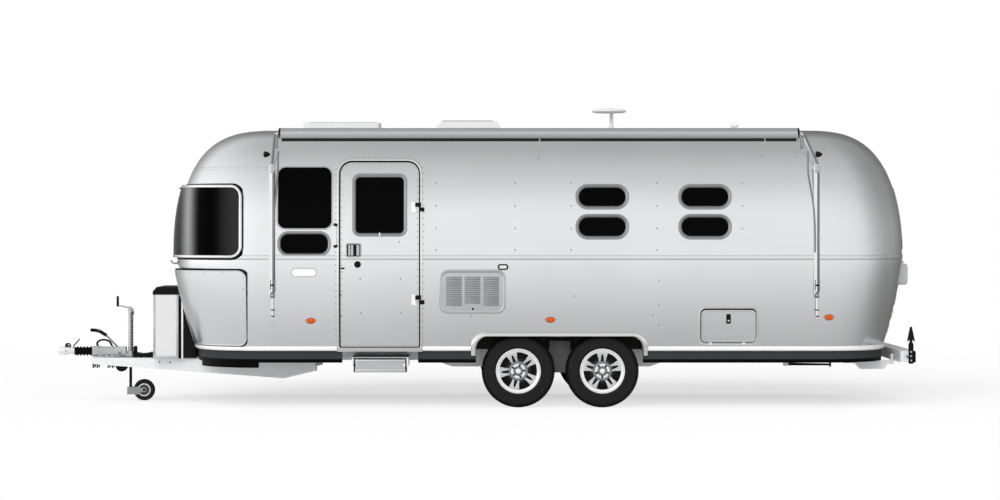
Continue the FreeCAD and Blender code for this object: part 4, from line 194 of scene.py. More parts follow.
def add_floor():
    """A wide floor: white with a soft shadow to the camera, brighter further off in the metal."""
    data = bpy.data.meshes.new("floor")
    reach, middle_x = 120.0, 0.5
    corners = [(middle_x + x * reach, y * reach, 0) for x, y in ((-1, -1), (1, -1), (1, 1), (-1, 1))]
    data.from_pydata(corners, [], [(0, 1, 2, 3)])
    finish = Finish("painted_studio_floor", "#FFFFFF", 0.9, Specular_IOR_Level=0.0)
    tree, painted = finish.tree, finish.shader.outputs[0]
    clouds = add(tree, "ShaderNodeTexNoise", {"Vector": finish.place, "Scale": 1 / (400 * MM), "Detail": 3})
    tones = ((0, "#FDFDFD"), (1, "#FFFFFF"))
    finish.set("Base Color", add(tree, "ShaderNodeValToRGB", {"Fac": clouds}, tones))
    place = add(tree, "ShaderNodeMapping", {"Vector": finish.place, "Scale": (0.55, 1, 1)})
    away = add(tree, "ShaderNodeVectorMath", {0: place}, operation="LENGTH").outputs["Value"]
    share = add(tree, "ShaderNodeMath", {0: away, 1: FLOOR_FADE}, operation="DIVIDE")
    level = add(tree, "ShaderNodeValToRGB", {"Fac": share}, FLOOR_MIRRORED)
    direction = add(tree, "ShaderNodeVectorMath", {0: place}, operation="NORMALIZE")
    level = turned_level(tree, direction, level)
    mirrored = add(tree, "ShaderNodeEmission", {"Color": level, "Strength": MIRROR_STRENGTH})
    white = add(tree, "ShaderNodeEmission", {"Color": WHITE})
    seen = add(tree, "ShaderNodeLightPath").outputs
    depth = add(tree, "ShaderNodeSeparateXYZ", {"Vector": finish.place}).outputs["Y"]
    (near, far), (near_light, far_light) = FLOOR_OWN_REACH, FLOOR_OWN_LIGHT
    own = add(tree, "ShaderNodeMapRange", {
        "Value": depth, "From Min": near, "From Max": far, "To Min": near_light, "To Max": far_light})
    lifted = add(tree, "ShaderNodeMixShader", {"Fac": own, 1: painted, 2: white})
    to_camera = add(tree, "ShaderNodeMixShader", {"Fac": seen["Is Camera Ray"], 1: painted, 2: lifted})
    to_metal = add(tree, "ShaderNodeMixShader", {"Fac": seen["Is Glossy Ray"], 1: to_camera, 2: mirrored})
    edge = add(tree, "ShaderNodeMapRange", {"Value": away, "From Min": 9.0, "From Max": 16.0})
    to_eye = add(tree, "ShaderNodeMath", {0: edge, 1: seen["Is Camera Ray"]}, operation="MULTIPLY")
    final = add(tree, "ShaderNodeMixShader", {"Fac": to_eye, 1: to_metal, 2: white})
    plug(tree, tree.nodes["Material Output"].inputs["Surface"], final)
    data.materials.append(finish.material)
    stand("floor", data)


# %% Sky and sun
# Brightness of the mirrored sky at heights above the horizon, as shares from straight down to up.
SKY_LEVELS = ((0.50, 1.00), (0.535, 0.97), (0.57, 0.84), (0.63, 0.75), (0.70, 0.68), (0.80, 0.63),
              (0.93, 0.55), (1.0, 0.50))
SKY_FOR_ROUGH = 0.66    # strength of the sky's light on everything that isn't a mirror
SUN_STRENGTH, SUN_SPREAD = 1.75, 50
SUN_AT = (-0.35, -1.0, 0.80)


def add_sky():
    """White to the camera; a bright horizon under a greyer ceiling to the metal; even to the rest."""
    scene.world = bpy.data.worlds.new("studio_sky")
    scene.world.use_nodes = True
    tree = scene.world.node_tree
    direction = add(tree, "ShaderNodeTexCoord").outputs["Generated"]
    height = add(tree, "ShaderNodeSeparateXYZ", {"Vector": direction}).outputs["Z"]
    share = add(tree, "ShaderNodeMapRange", {"Value": height, "From Min": -1.0})
    level = turned_level(tree, direction, add(tree, "ShaderNodeValToRGB", {"Fac": share}, SKY_LEVELS))
    seen = add(tree, "ShaderNodeLightPath").outputs
    mirrored, soft, white = (
        add(tree, "ShaderNodeBackground", {"Color": colour, "Strength": strength})
        for colour, strength in ((level, MIRROR_STRENGTH), (WHITE, SKY_FOR_ROUGH), (WHITE, 1.0)))
    final = soft
    for ray, light in (("Is Glossy Ray", mirrored), ("Is Transmission Ray", white), ("Is Camera Ray", white)):
        final = add(tree, "ShaderNodeMixShader", {"Fac": seen[ray], 1: final, 2: light})
    plug(tree, tree.nodes["World Output"].inputs["Surface"], final)


def add_sun():
    """A very wide soft lamp from the door side; polished metal mirrors the sky alone."""
    data = bpy.data.lights.new("soft_sun", "SUN")
    data.energy, data.angle = SUN_STRENGTH, math.radians(SUN_SPREAD)
    sun = stand("soft_sun", data)
    sun.rotation_euler = (-Vector(SUN_AT)).to_track_quat("-Z", "Y").to_euler()
    sun.visible_glossy = False


add_floor()
add_sky()
add_sun()
print("studio: floor, sky and one soft sun")
# %% [markdown]
# ## Mesh tools
#
# Most pieces are outlines that are lofted, swept or turned. A few functions hold that work,
# and each piece ends as a plain mesh at the origin that rides on its body. A section is
# written as a maker's drawing gives it, in millimetres.


# %% Pieces
def mm(text):
    """Rows of millimetres, such as "5 -6, 4 -4", as tuples in metres."""
    return [tuple(round(float(word) * MM, 7) for word in row.split()) for row in text.split(",")]


def plain_mesh(name, points, faces=()):
    data = bpy.data.meshes.new(name)
    data.from_pydata([tuple(p) for p in points], [], faces)
    return data


def piece(name, shape, finish, body="caravan"):
    """A named mesh, given as (points, faces), with a finish, which rides on a body."""
    return wear(name, plain_mesh(name, *shape), finish, body)


def opened(data):
    """An open mesh without doubles or slivers, whose faces point outwards."""
    mesh = bmesh.new()
    mesh.from_mesh(data)
    bmesh.ops.remove_doubles(mesh, verts=mesh.verts, dist=0.00002)
    bmesh.ops.dissolve_degenerate(mesh, edges=mesh.edges, dist=0.00001)
    bmesh.ops.recalc_face_normals(mesh, faces=mesh.faces)
    return mesh


def shut(mesh, data):
    mesh.to_mesh(data)
    mesh.free()


def wear(name, data, finish, body="caravan", angle=40):
    """An object for a mesh, with its finish; edges that turn more than the angle stay sharp."""
    data.name = name
    mesh = opened(data)
    for face in mesh.faces:
        face.smooth = True
    for edge in mesh.edges:
        edge.smooth = len(edge.link_faces) == 2 and edge.calc_face_angle(math.pi) < math.radians(angle)
    shut(mesh, data)
    data.materials.append(finish)
    thing = stand(name, data)
    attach(thing, body)
    return thing


def settle(thing):
    """Turns an object's modifiers into plain mesh and removes them."""
    graph = bpy.context.evaluated_depsgraph_get()
    old, thing.data = thing.data, bpy.data.meshes.new_from_object(thing.evaluated_get(graph))
    thing.modifiers.clear()
    thing.data.name = thing.name
    bpy.data.meshes.remove(old)


def loft(rings, closed=True, capped=True):
    """Points and faces between rings of equal count; the end rings can be closed with a face."""
    count, last = len(rings[0]), (len(rings) - 1) * len(rings[0])
    points = [p for ring in rings for p in ring]
    faces = []
    for r in range(0, last, count):
        for i in range(count if closed else count - 1):
            j = (i + 1) % count
            faces.append((r + i, r + j, r + count + j, r + count + i))
    if closed and capped:
        faces += [tuple(reversed(range(count))), tuple(range(last, last + count))]
    return points, faces


def merge(*parts):
    """Several (points, faces) pairs as one."""
    points, faces = [], []
    for some_points, some_faces in parts:
        start = len(points)
        points += list(some_points)
        faces += [tuple(i + start for i in face) for face in some_faces]
    return points, faces


def round_outline(width, height, corner, steps=8):
    """A rectangle with round corners, one radius or (upper, lower), as (across, up) pairs."""
    points = []
    radii = corner if isinstance(corner, tuple) else (corner, corner)
    for side_x, side_z, start in ((1, 1, 0), (-1, 1, 90), (-1, -1, 180), (1, -1, 270)):
        corner = radii[side_z < 0]
        for step in range(steps + 1):
            angle = math.radians(start + 90 * step / steps)
            points.append((side_x * (width / 2 - corner) + corner * math.cos(angle),
                           side_z * (height / 2 - corner) + corner * math.sin(angle)))
    return points


def eased(corner, amount):
    """A corner radius, or an (upper, lower) pair, for an outline that grew or shrank."""
    if isinstance(corner, tuple):
        return tuple(eased(one, amount) for one in corner)
    return max(corner + amount, 0.002)


def circle(radius, steps):
    turns = [2 * math.pi * i / steps for i in range(steps)]
    return [(radius * math.cos(turn), radius * math.sin(turn)) for turn in turns]


AXES = {"X": ((0, 1, 0), (0, 0, 1), (1, 0, 0)), "Y": ((0, 0, 1), (1, 0, 0), (0, 1, 0)),
        "Z": ((1, 0, 0), (0, 1, 0), (0, 0, 1))}


def turned_rings(centre, axis, profile, steps):
    """A circle for each (distance along the axis, radius); an axis is a letter or a direction."""
    if isinstance(axis, str):
        across, up, along = (Vector(one) for one in AXES[axis])
    else:
        along = Vector(axis).normalized()
        across = along.orthogonal().normalized()
        up = along.cross(across)
    return [[Vector(centre) + along * distance + across * x + up * y for x, y in circle(radius, steps)]
            for distance, radius in profile]


def turned(centre, axis, profile, steps=32):
    """A turned part: profile is (distance along the axis, radius) pairs, closed at both ends."""
    return loft(turned_rings(centre, axis, [(d, max(radius, 0.00001)) for d, radius in profile], steps))


def hoop(centre, axis, section, steps=64):
    """A closed section of (along the axis, radius) pairs swept round an axis."""
    return loft(turned_rings(centre, axis, section + section[:1], steps), capped=False)


def tube(points, radius, steps=14):
    """A round bar along points."""
    points = [Vector(p) for p in points]
    rings, across = [], None
    for before, point, after in zip(points[:1] + points, points, points[1:] + points[-1:]):
        along = (after - before).normalized()
        across = along.orthogonal() if across is None else across - along * across.dot(along)
        across.normalize()
        up = along.cross(across)
        rings.append([point + across * x + up * y for x, y in circle(radius, steps)])
    return loft(rings)


def bent(points, radius, steps=6):
    """A path whose corners are rounded by arcs of about one radius."""
    points = [Vector(p) for p in points]
    path = [points[0]]
    for before, corner, after in zip(points, points[1:], points[2:]):
        into, out = (before - corner).normalized(), (after - corner).normalized()
        reach = min(radius, (before - corner).length * 0.45, (after - corner).length * 0.45)
        start, end = corner + into * reach, corner + out * reach
        for t in (step / steps for step in range(steps + 1)):
            path.append(start * (1 - t) ** 2 + corner * 2 * t * (1 - t) + end * t ** 2)
    return path + [points[-1]]


def smooth_path(points, steps=8):
    """A Catmull-Rom line through points."""
    points = [Vector(p) for p in points]
    padded = [points[0] * 2 - points[1]] + points + [points[-1] * 2 - points[-2]]
    path = []
    for a, b, c, d in zip(padded, padded[1:], padded[2:], padded[3:]):
        bend, ease = 2 * a - 5 * b + 4 * c - d, 3 * b - a - 3 * c + d
        for t in (k / steps for k in range(steps)):
            path.append(0.5 * (2 * b + (c - a) * t + bend * t * t + ease * t ** 3))
    return path + [points[-1]]


def block(low, high, bevel=0.002, segments=2):
    """A box between two corners, given in any order, with every edge rounded."""
    low, high = Vector(map(min, low, high)), Vector(map(max, low, high))
    size = high - low
    mesh = bmesh.new()
    bmesh.ops.create_cube(mesh, size=1)
    for vert in mesh.verts:
        vert.co = Vector(low[k] + (vert.co[k] + 0.5) * size[k] for k in range(3))
    bmesh.ops.bevel(mesh, geom=mesh.edges, offset=min(bevel, 0.45 * min(size)), segments=segments,
                    profile=0.5, affect="EDGES")
    return plain(mesh)


def plain(mesh):
    """A bmesh as (points, faces); frees it."""
    mesh.verts.index_update()
    shape = [v.co.copy() for v in mesh.verts], [tuple(v.index for v in face.verts) for face in mesh.faces]
    mesh.free()
    return shape


# %% [markdown]
# ## The body's surface
#
# A real one is built from flat sheets that are stretched and riveted over curved hoops. The
# shape follows a rule, so it is drawn by one: seen from the end, the sides lean in a little
# below the belt line and close over the roof as a superellipse, and the nose and tail do the
# same seen from the side and from above. Every trim on the body then finds its place and the
# way it faces from the same rule.

# %% The rule
WALL_LOW, WALL_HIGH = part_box("left_wall")
NOSE_LOW, NOSE_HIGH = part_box("front_cap_lower")
FRONT_SEAM, REAR_SEAM = WALL_LOW.x, WALL_HIGH.x
SEAMS = {"nose": (FRONT_SEAM, -1), "tail": (REAR_SEAM, 1)}
SIDES = (("left", -1), ("right", 1))
SILL, BELT, ROOF = WALL_LOW.z, NOSE_HIGH.z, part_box("roof_panel")[1].z
HALF, CROWN = -WALL_LOW.y, ROOF - BELT
REACH = {"nose": FRONT_SEAM - NOSE_LOW.x, "tail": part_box("rear_cap_lower")[1].x - REAR_SEAM}
TUCK = {"side": 0.055, "nose": 0.196, "tail": 0.200}
CAP_POWERS = {"nose": (3.2, 2.4), "tail": (3.1, 2.15)}
SECTION_POWER, PLAN_POWER = 4.4, 2.6
SIDE_CURVE, END_CURVE = 1.5, 1.4
WALL = 0.045


def half_width(z, out=0.0):
    """Half the body's width at a height; out moves the whole skin outwards."""
    if z <= BELT:
        return HALF + out - TUCK["side"] * ((BELT - z) / (BELT - SILL)) ** SIDE_CURVE
    rise = min((z - BELT) / (CROWN + out), 1.0)
    return (HALF + out) * (1 - rise ** SECTION_POWER) ** (1 / SECTION_POWER)


def end_reach(end, z, out=0.0):
    """How far the nose or tail stands beyond its seam at a height."""
    if z <= BELT:
        return REACH[end] + out - TUCK[end] * ((BELT - z) / (BELT - SILL)) ** END_CURVE
    power, rise_power = CAP_POWERS[end]
    rise = min((z - BELT) / (CROWN + out), 1.0)
    return (REACH[end] + out) * (1 - rise ** rise_power) ** (1 / power)


def cap_spot(end, angle, z, out=0.0):
    """A point round the nose or tail; the angle runs from 0 on the -Y side to 180 on the +Y side."""
    seam, way = SEAMS[end]
    sine, cosine = math.sin(math.radians(angle)), math.cos(math.radians(angle))
    along = abs(sine) ** (2 / PLAN_POWER) * end_reach(end, z, out)
    across = -math.copysign(abs(cosine) ** (2 / PLAN_POWER), cosine) * half_width(z, out)
    return Vector((seam + way * along, across, z))


def skin_value(x, y, z):
    """1 on the skin, less inside the body."""
    value = (abs(y) / max(half_width(z), 0.0001)) ** PLAN_POWER
    end, along = ("nose", FRONT_SEAM - x) if x < FRONT_SEAM else ("tail", x - REAR_SEAM)
    if along > 0:
        value += (along / max(end_reach(end, z), 0.0001)) ** PLAN_POWER
    return value


def facing(point, step=0.0004):
    """The direction in which the skin faces at a point on it."""
    x, y, z = point
    z = min(z, ROOF - 0.0009)
    if z >= ROOF - 0.001:
        return Vector((0, 0, 1))
    return Vector(skin_value(x + a, y + b, z + c) - skin_value(x - a, y - b, z - c)
                  for a, b, c in ((step, 0, 0), (0, step, 0), (0, 0, step))).normalized()


def on_side(x, z, side=-1, out=0.0):
    """A point on the side of the body, nose and tail included, moved off the skin."""
    along = max(FRONT_SEAM - x, x - REAR_SEAM, 0)
    end = "nose" if x < FRONT_SEAM else "tail"
    share = 1 - (along / end_reach(end, z)) ** PLAN_POWER if along else 1
    point = Vector((x, side * half_width(z) * max(share, 0) ** (1 / PLAN_POWER), z))
    return point + facing(point) * out if out else point


def on_end(end, y, z, out=0.0):
    """A point on the nose or tail, given how far it is from the middle, moved off the skin."""
    seam, way = SEAMS[end]
    share = max(1 - (abs(y) / half_width(z)) ** PLAN_POWER, 0)
    point = Vector((seam + way * end_reach(end, z) * share ** (1 / PLAN_POWER), y, z))
    return point + facing(point) * out if out else point


def on_roof(x, y):
    """A point on the roof between the seams."""
    return Vector((x, y, BELT + CROWN * (1 - (abs(y) / HALF) ** SECTION_POWER) ** (1 / SECTION_POWER)))


print("body: %.2f m long, %.2f m wide, %.2f m from sill to roof"
      % (REAR_SEAM - FRONT_SEAM + sum(REACH.values()), 2 * HALF, ROOF - SILL))

# %% [markdown]
# ## Finishes
#
# Each finish starts from the real material: its usual roughness, its grain and its wear.


# %% Metals
def shade(colour, change):
    """A hex colour, each channel moved by a few of 255 steps."""
    return "#%02X%02X%02X" % tuple(min(255, max(0, int(colour[i:i + 2], 16) + change)) for i in (1, 3, 5))


def rolled_sheet(name, colour, roughness, dents_mm=0.5, metallic=1.0):
    """Rolled aluminium sheet: a fine grain along the sheet and slow waves that bend reflections."""
    finish = Finish(name, colour, roughness, metallic)
    tree, place = finish.tree, finish.place
    drawn = add(tree, "ShaderNodeMapping", {"Vector": place, "Scale": (0.05, 1, 1)})
    grain = add(tree, "ShaderNodeTexNoise", {"Vector": drawn, "Scale": 1 / (14 * MM), "Detail": 3})
    finish.set("Roughness", add(tree, "ShaderNodeMapRange", {
        "Value": grain, "To Min": roughness - 0.035, "To Max": roughness + 0.045}))
    clouds = add(tree, "ShaderNodeTexNoise", {"Vector": place, "Scale": 1 / (900 * MM), "Detail": 2})
    tones = ((0, shade(colour, -5)), (1, shade(colour, 4)))
    finish.set("Base Color", add(tree, "ShaderNodeValToRGB", {"Fac": clouds}, tones))
    waves = add(tree, "ShaderNodeTexNoise", {"Vector": place, "Scale": 1 / (520 * MM), "Detail": 1})
    finish.set("Normal", add(tree, "ShaderNodeBump", {
        "Height": waves, "Distance": dents_mm * MM, "Strength": 0.25}))
    return finish.material


def worn_metal(name, colour, roughness, spread=0.08, tone=8, metallic=1.0):
    """Metal, bright or lacquered, with a fine cloudy grain of about 3 mm in colour and gloss."""
    finish = Finish(name, colour, roughness, metallic)
    tree, place = finish.tree, finish.place
    grain = add(tree, "ShaderNodeTexNoise", {"Vector": place, "Scale": 1 / (3 * MM), "Detail": 4})
    finish.set("Roughness", add(tree, "ShaderNodeMapRange", {
        "Value": grain, "To Min": roughness - spread / 2, "To Max": roughness + spread / 2}))
    clouds = add(tree, "ShaderNodeTexNoise", {"Vector": place, "Scale": 1 / (36 * MM), "Detail": 3})
    tones = ((0, shade(colour, -tone)), (1, shade(colour, tone)))
    finish.set("Base Color", add(tree, "ShaderNodeValToRGB", {"Fac": clouds}, tones))
    finish.set("Normal", add(tree, "ShaderNodeBump", {
        "Height": grain, "Distance": 0.15 * MM, "Strength": 0.3}))
    return finish.material


def galvanised(name):
    """Hot-dip galvanised steel: grey zinc with a spangle of crystals some centimetres across."""
    finish = Finish(name, "#E4E6E7", 0.42, 0.35)
    tree, place = finish.tree, finish.place
    cells = add(tree, "ShaderNodeTexVoronoi", {"Vector": place, "Scale": 1 / (9 * MM)})
    spangle = add(tree, "ShaderNodeMapRange", {"Value": cells.outputs["Color"]})
    tones = ((0, "#DCDEDF"), (1, "#EDEEEF"))
    finish.set("Base Color", add(tree, "ShaderNodeValToRGB", {"Fac": spangle}, tones))
    clouds = add(tree, "ShaderNodeTexNoise", {"Vector": place, "Scale": 1 / (30 * MM), "Detail": 3})
    finish.set("Roughness", add(tree, "ShaderNodeMapRange", {
        "Value": clouds, "To Min": 0.34, "To Max": 0.52}))
    runs = add(tree, "ShaderNodeTexNoise", {"Vector": place, "Scale": 1 / (9 * MM), "Detail": 3})
    finish.set("Normal", add(tree, "ShaderNodeBump", {"Height": runs, "Distance": 0.2 * MM, "Strength": 0.3}))
    return finish.material


def moulded(name, colour, roughness, grain_mm=1.6, tone=5, coat=0.0, specular=0.5):
    """A moulded or painted skin: fine orange-peel grain and a slight change of tone."""
    finish = Finish(name, colour, roughness, Coat_Weight=coat, Specular_IOR_Level=specular)
    tree, place = finish.tree, finish.place
    clouds = add(tree, "ShaderNodeTexNoise", {"Vector": place, "Scale": 1 / (120 * MM), "Detail": 3})
    tones = ((0, shade(colour, -tone)), (1, shade(colour, tone)))
    finish.set("Base Color", add(tree, "ShaderNodeValToRGB", {"Fac": clouds}, tones))
    grain = add(tree, "ShaderNodeTexNoise", {"Vector": place, "Scale": 1 / (grain_mm * MM), "Detail": 2})
    finish.set("Roughness", add(tree, "ShaderNodeMapRange", {
        "Value": grain, "To Min": roughness - 0.04, "To Max": roughness + 0.05}))
    finish.set("Normal", add(tree, "ShaderNodeBump", {
        "Height": grain, "Distance": 0.08 * MM, "Strength": 0.25}))
    return finish.material


def black(name, colour, roughness):
    """A black moulding, rubber or enamel, kept from greying under the white sky."""
    return moulded(name, colour, roughness, specular=0.10)


ALUMINIUM = rolled_sheet("polished_aluminium_sheet", "#E7E8E9", 0.20)
STAINLESS = rolled_sheet("satin_stainless_sheet", "#E4E5E6", 0.24, 0.3)
ANODISED = worn_metal("anodised_aluminium_extrusion", "#D2D3D4", 0.30)
RING_METAL = worn_metal("dull_aluminium_pressing", "#A6A7A8", 0.34)
BRIGHT_TRIM = worn_metal("polished_aluminium_trim", "#E8E8E8", 0.16, tone=3)
RIVET_METAL = worn_metal("aluminium_rivet", "#B8B9BA", 0.36)
SATIN_RAIL = worn_metal("clear_anodised_moulding", "#F7F7F7", 0.26, tone=3, metallic=0.30)
PRESSED_STEEL = worn_metal("zinc_plated_pressed_steel", "#9C9D9F", 0.40, 0.12, 18, 0.85)
CHROME = worn_metal("chromed_steel", "#E4E5E6", 0.10, 0.03, 3)
CAST_ALLOY = worn_metal("lacquered_cast_alloy", "#C8C9CA", 0.30, metallic=0.45)
MACHINED_ALLOY = worn_metal("machined_alloy_face", "#F2F2F3", 0.24, tone=3, metallic=0.45)
ZINC_STEEL = worn_metal("zinc_plated_steel", "#C9CACB", 0.30)
GALVANISED = galvanised("hot_dip_galvanised_steel")
BLACK_ABS = black("black_abs", "#101011", 0.38)
BLACK_RUBBER = black("epdm_rubber_seal", "#0A0A0B", 0.62)
BLACK_ENAMEL = black("black_enamelled_steel", "#0F0F10", 0.30)
GREY_PAINT = moulded("dark_grey_painted_sheet", "#3C3D3E", 0.45)
FIBREGLASS = moulded("white_gelcoat_fibreglass", "#E9EAEA", 0.30, coat=0.2)
WHITE_ABS = moulded("white_abs", "#ECECEC", 0.34)
LINER = moulded("vinyl_wall_liner", "#D8D6D0", 0.70)
print("finishes:", len(bpy.data.materials))

# %% [markdown]
# ## Skin of the body
#
# The skin is one closed shell with an inner face, so that the door and hatches open into a
# room. It is lofted from level outlines, and windows, door, hatches and wheel openings are cut
# by one Boolean with a single mesh of prisms. The shading normals come from the rule itself, so
# reflections run smoothly past each opening.

# %% Shell
CAP_STEPS, SIDE_STEPS = 44, 40
LEVELS_BELOW, LEVELS_ABOVE = 12, 46


def shell_rings(out):
    """Level outlines of the body, each from the rear seam on the -Y side forward and round."""
    heights = [SILL + (BELT - SILL) * i / LEVELS_BELOW for i in range(LEVELS_BELOW)]
    heights += [BELT + (CROWN + out) * math.sin(math.pi / 2 * i / LEVELS_ABOVE) ** (2 / SECTION_POWER)
                for i in range(LEVELS_ABOVE + 1)]
    length = REAR_SEAM - FRONT_SEAM
    run = [length * i / SIDE_STEPS for i in range(SIDE_STEPS)]
    turns = [180 * i / CAP_STEPS for i in range(CAP_STEPS)]
    return [[Vector((REAR_SEAM - x, -half_width(z, out), z)) for x in run]
            + [cap_spot("nose", turn, z, out) for turn in turns]
            + [Vector((FRONT_SEAM + x, half_width(z, out), z)) for x in run]
            + [cap_spot("tail", 180 - turn, z, out) for turn in turns] for z in heights]


# name, side, middle x, middle z, glass width, glass height, corner radius, frame width
TALL, SMALL = (0.513, 0.584, 0.072, 0.014), (0.437, 0.167, 0.080, 0.040)


def window_pair(name, side, back):
    """Two small windows, one above the other."""
    return [(name + level, side, REAR_SEAM - back, z, *SMALL)
            for level, z in (("_high", 2.033), ("_low", 1.745))]


WINDOWS = [
    ("bedroom_left", -1, FRONT_SEAM + 0.3055, 2.022, *TALL),
    ("bedroom_low", -1, FRONT_SEAM + 0.299, 1.581, 0.442, 0.172, 0.070, 0.036),
    *window_pair("lounge", -1, 2.047), *window_pair("rear", -1, 1.060),
    ("bedroom_right", 1, FRONT_SEAM + 0.3055, 2.022, *TALL),
    ("dinette_right", 1, FRONT_SEAM + 1.907, 1.850, 1.000, 0.560, 0.090, 0.030),
    *window_pair("rear_right", 1, 1.060),
]
WINDOW_FLANGE = 0.014    # how far a window's flange lies on the skin round its opening
DOOR_WIDTH, DOOR_HEIGHT, DOOR_CORNER = DOOR = 0.755, 1.776, (0.110, 0.014)
DOOR_GAP, DOOR_SWING_GAP = 0.012, 0.022
DOOR_LOW = 0.590
DOOR_X, DOOR_Z = FRONT_SEAM + 1.0245, DOOR_LOW + DOOR_HEIGHT / 2
HATCH_WIDTH, HATCH_HEIGHT, HATCH_CORNER = HATCH = 0.528, 0.312, 0.045
HATCH_X, HATCH_Z = REAR_SEAM - 0.832, 0.633 + HATCH_HEIGHT / 2
HATCH_GAP, HATCH_TOP_GAP = 0.006, 0.014
HATCH_HOLE = (HATCH_WIDTH + 2 * HATCH_GAP, HATCH_HEIGHT + HATCH_GAP + HATCH_TOP_GAP, HATCH_CORNER + HATCH_GAP)
HATCH_HOLE_Z = HATCH_Z + (HATCH_TOP_GAP - HATCH_GAP) / 2
AXLE_X, WHEEL_RADIUS = (0.351, 1.162), 0.353
ARCH_LOW, ARCH_HIGH = AXLE_X[0] - WHEEL_RADIUS - 0.055, AXLE_X[1] + WHEEL_RADIUS + 0.036
ARCH_TOP, ARCH_CORNER, ARCH_TRIM = 0.686, 0.110, 0.048
VENT_X, _, VENT_Z = sum(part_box("fridge_vent"), Vector()) / 2
VENT_HOLE = (0.558, 0.354, 0.020)
NOSE_GLASS = {"low": 1.520, "high": 2.080, "rear": 0.413, "inner": 0.520, "outer": 0.600}
TAIL_GLASS = {"half": 0.450, "low": 1.560, "high": 2.100, "corner": 0.090, "frame": 0.036}
CUT_DEPTH = 0.3


def arch_outline(grow=0.0):
    """The wheel opening: straight sides and two round upper corners, as (x, z) pairs."""
    low, high, top, corner = ARCH_LOW - grow, ARCH_HIGH + grow, ARCH_TOP + grow, ARCH_CORNER + grow / 2
    points = [(high, SILL - 0.2)]
    for middle, start in ((high - corner, 0), (low + corner, 90)):
        for angle in (math.radians(start + 9 * step) for step in range(11)):
            points.append((middle + corner * math.cos(angle), top - corner + corner * math.sin(angle)))
    return points + [(low, SILL - 0.2)]


def prism(outline, place):
    """A closed cutting block: outline pairs placed at two depths."""
    return loft([[place(x, z, depth) for x, z in outline] for depth in (0, 1)])


def side_cut(outline, side, x=0.0, z=0.0):
    """A block that opens the side of the body within an outline about a point."""
    return prism(outline, lambda across, up, depth: Vector(
        (x + across, side * (HALF + 0.1 - depth * CUT_DEPTH), z + up)))


def end_cut(end, y_low, y_high, z_low, z_high, corner=0.03):
    """A block that opens the nose or tail between two widths and heights."""
    seam, way = SEAMS[end]
    depths = REACH[end] + 0.12, NOSE_GLASS["rear"] if end == "nose" else REACH["tail"] / 2
    return prism(round_outline(y_high - y_low, z_high - z_low, corner), lambda across, up, depth: Vector(
        (seam + way * depths[depth], (y_low + y_high) / 2 + across, (z_low + z_high) / 2 + up)))


def roof_cut(node, frame_width=0.060):
    low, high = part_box(node)
    x, y, _ = (low + high) / 2
    outline = round_outline(high.x - low.x - 2 * frame_width, high.y - low.y - 2 * frame_width, 0.01)
    top = ROOF + 0.12
    return prism(outline, lambda across, up, depth: Vector((x + across, y + up, top - CUT_DEPTH * depth)))


def make_cutters():
    blocks = []
    for _, side, x, z, width, height, corner, frame_width in WINDOWS:
        dish = max(frame_width - WINDOW_FLANGE, 0)
        blocks.append(side_cut(round_outline(width + 2 * dish, height + 2 * dish, corner + dish), side, x, z))
    opening = round_outline(DOOR_WIDTH + DOOR_GAP + DOOR_SWING_GAP, DOOR_HEIGHT + 2 * DOOR_GAP,
                            eased(DOOR_CORNER, DOOR_GAP))
    blocks.append(side_cut(opening, -1, DOOR_X - (DOOR_SWING_GAP - DOOR_GAP) / 2, DOOR_Z))
    blocks.append(side_cut(round_outline(*VENT_HOLE), -1, VENT_X, VENT_Z))
    for _, side in SIDES:
        blocks += [side_cut(round_outline(*HATCH_HOLE), side, HATCH_X, HATCH_HOLE_Z),
                   side_cut(arch_outline(), side)]
    inner, outer = NOSE_GLASS["inner"], NOSE_GLASS["outer"]
    for y_low, y_high in ((-inner, inner), (-HALF, -outer), (outer, HALF)):
        blocks.append(end_cut("nose", y_low, y_high, NOSE_GLASS["low"], NOSE_GLASS["high"]))
    dish = TAIL_GLASS["frame"] - WINDOW_FLANGE
    half = TAIL_GLASS["half"] + dish
    blocks.append(end_cut("tail", -half, half, TAIL_GLASS["low"] - dish, TAIL_GLASS["high"] + dish,
                          TAIL_GLASS["corner"] + dish))
    data = plain_mesh("cutters", *merge(*blocks, roof_cut("skylight"), roof_cut("roof_vent_base")))
    shut(opened(data), data)
    return stand("cutters", data)


def rule_normals(data, inner_slot, reach=0.003):
    """Shading normals from the body's rule on every face that lies on the skin."""
    normals = [Vector()] * len(data.loops)
    slopes, outside = [], []
    for vert in data.vertices:
        value = skin_value(*vert.co) if vert.co.z < ROOF - 0.002 else 1.0
        slopes.append(facing(vert.co))
        outside.append(abs(value - 1) * half_width(min(vert.co.z, ROOF - 0.05)) / PLAN_POWER < reach
                       or vert.co.z > ROOF - 0.012)
    skin_faces = 0
    for face in data.polygons:
        face.use_smooth = True
        level = Vector(face.normal)
        on_skin = all(outside[i] for i in face.vertices) and level.dot(slopes[face.vertices[0]]) > 0.6
        skin_faces += on_skin
        if not on_skin:
            face.material_index = inner_slot
        for loop in face.loop_indices:
            normals[loop] = slopes[data.loops[loop].vertex_index] if on_skin else level
    data.normals_split_custom_set([tuple(n) for n in normals])
    return skin_faces


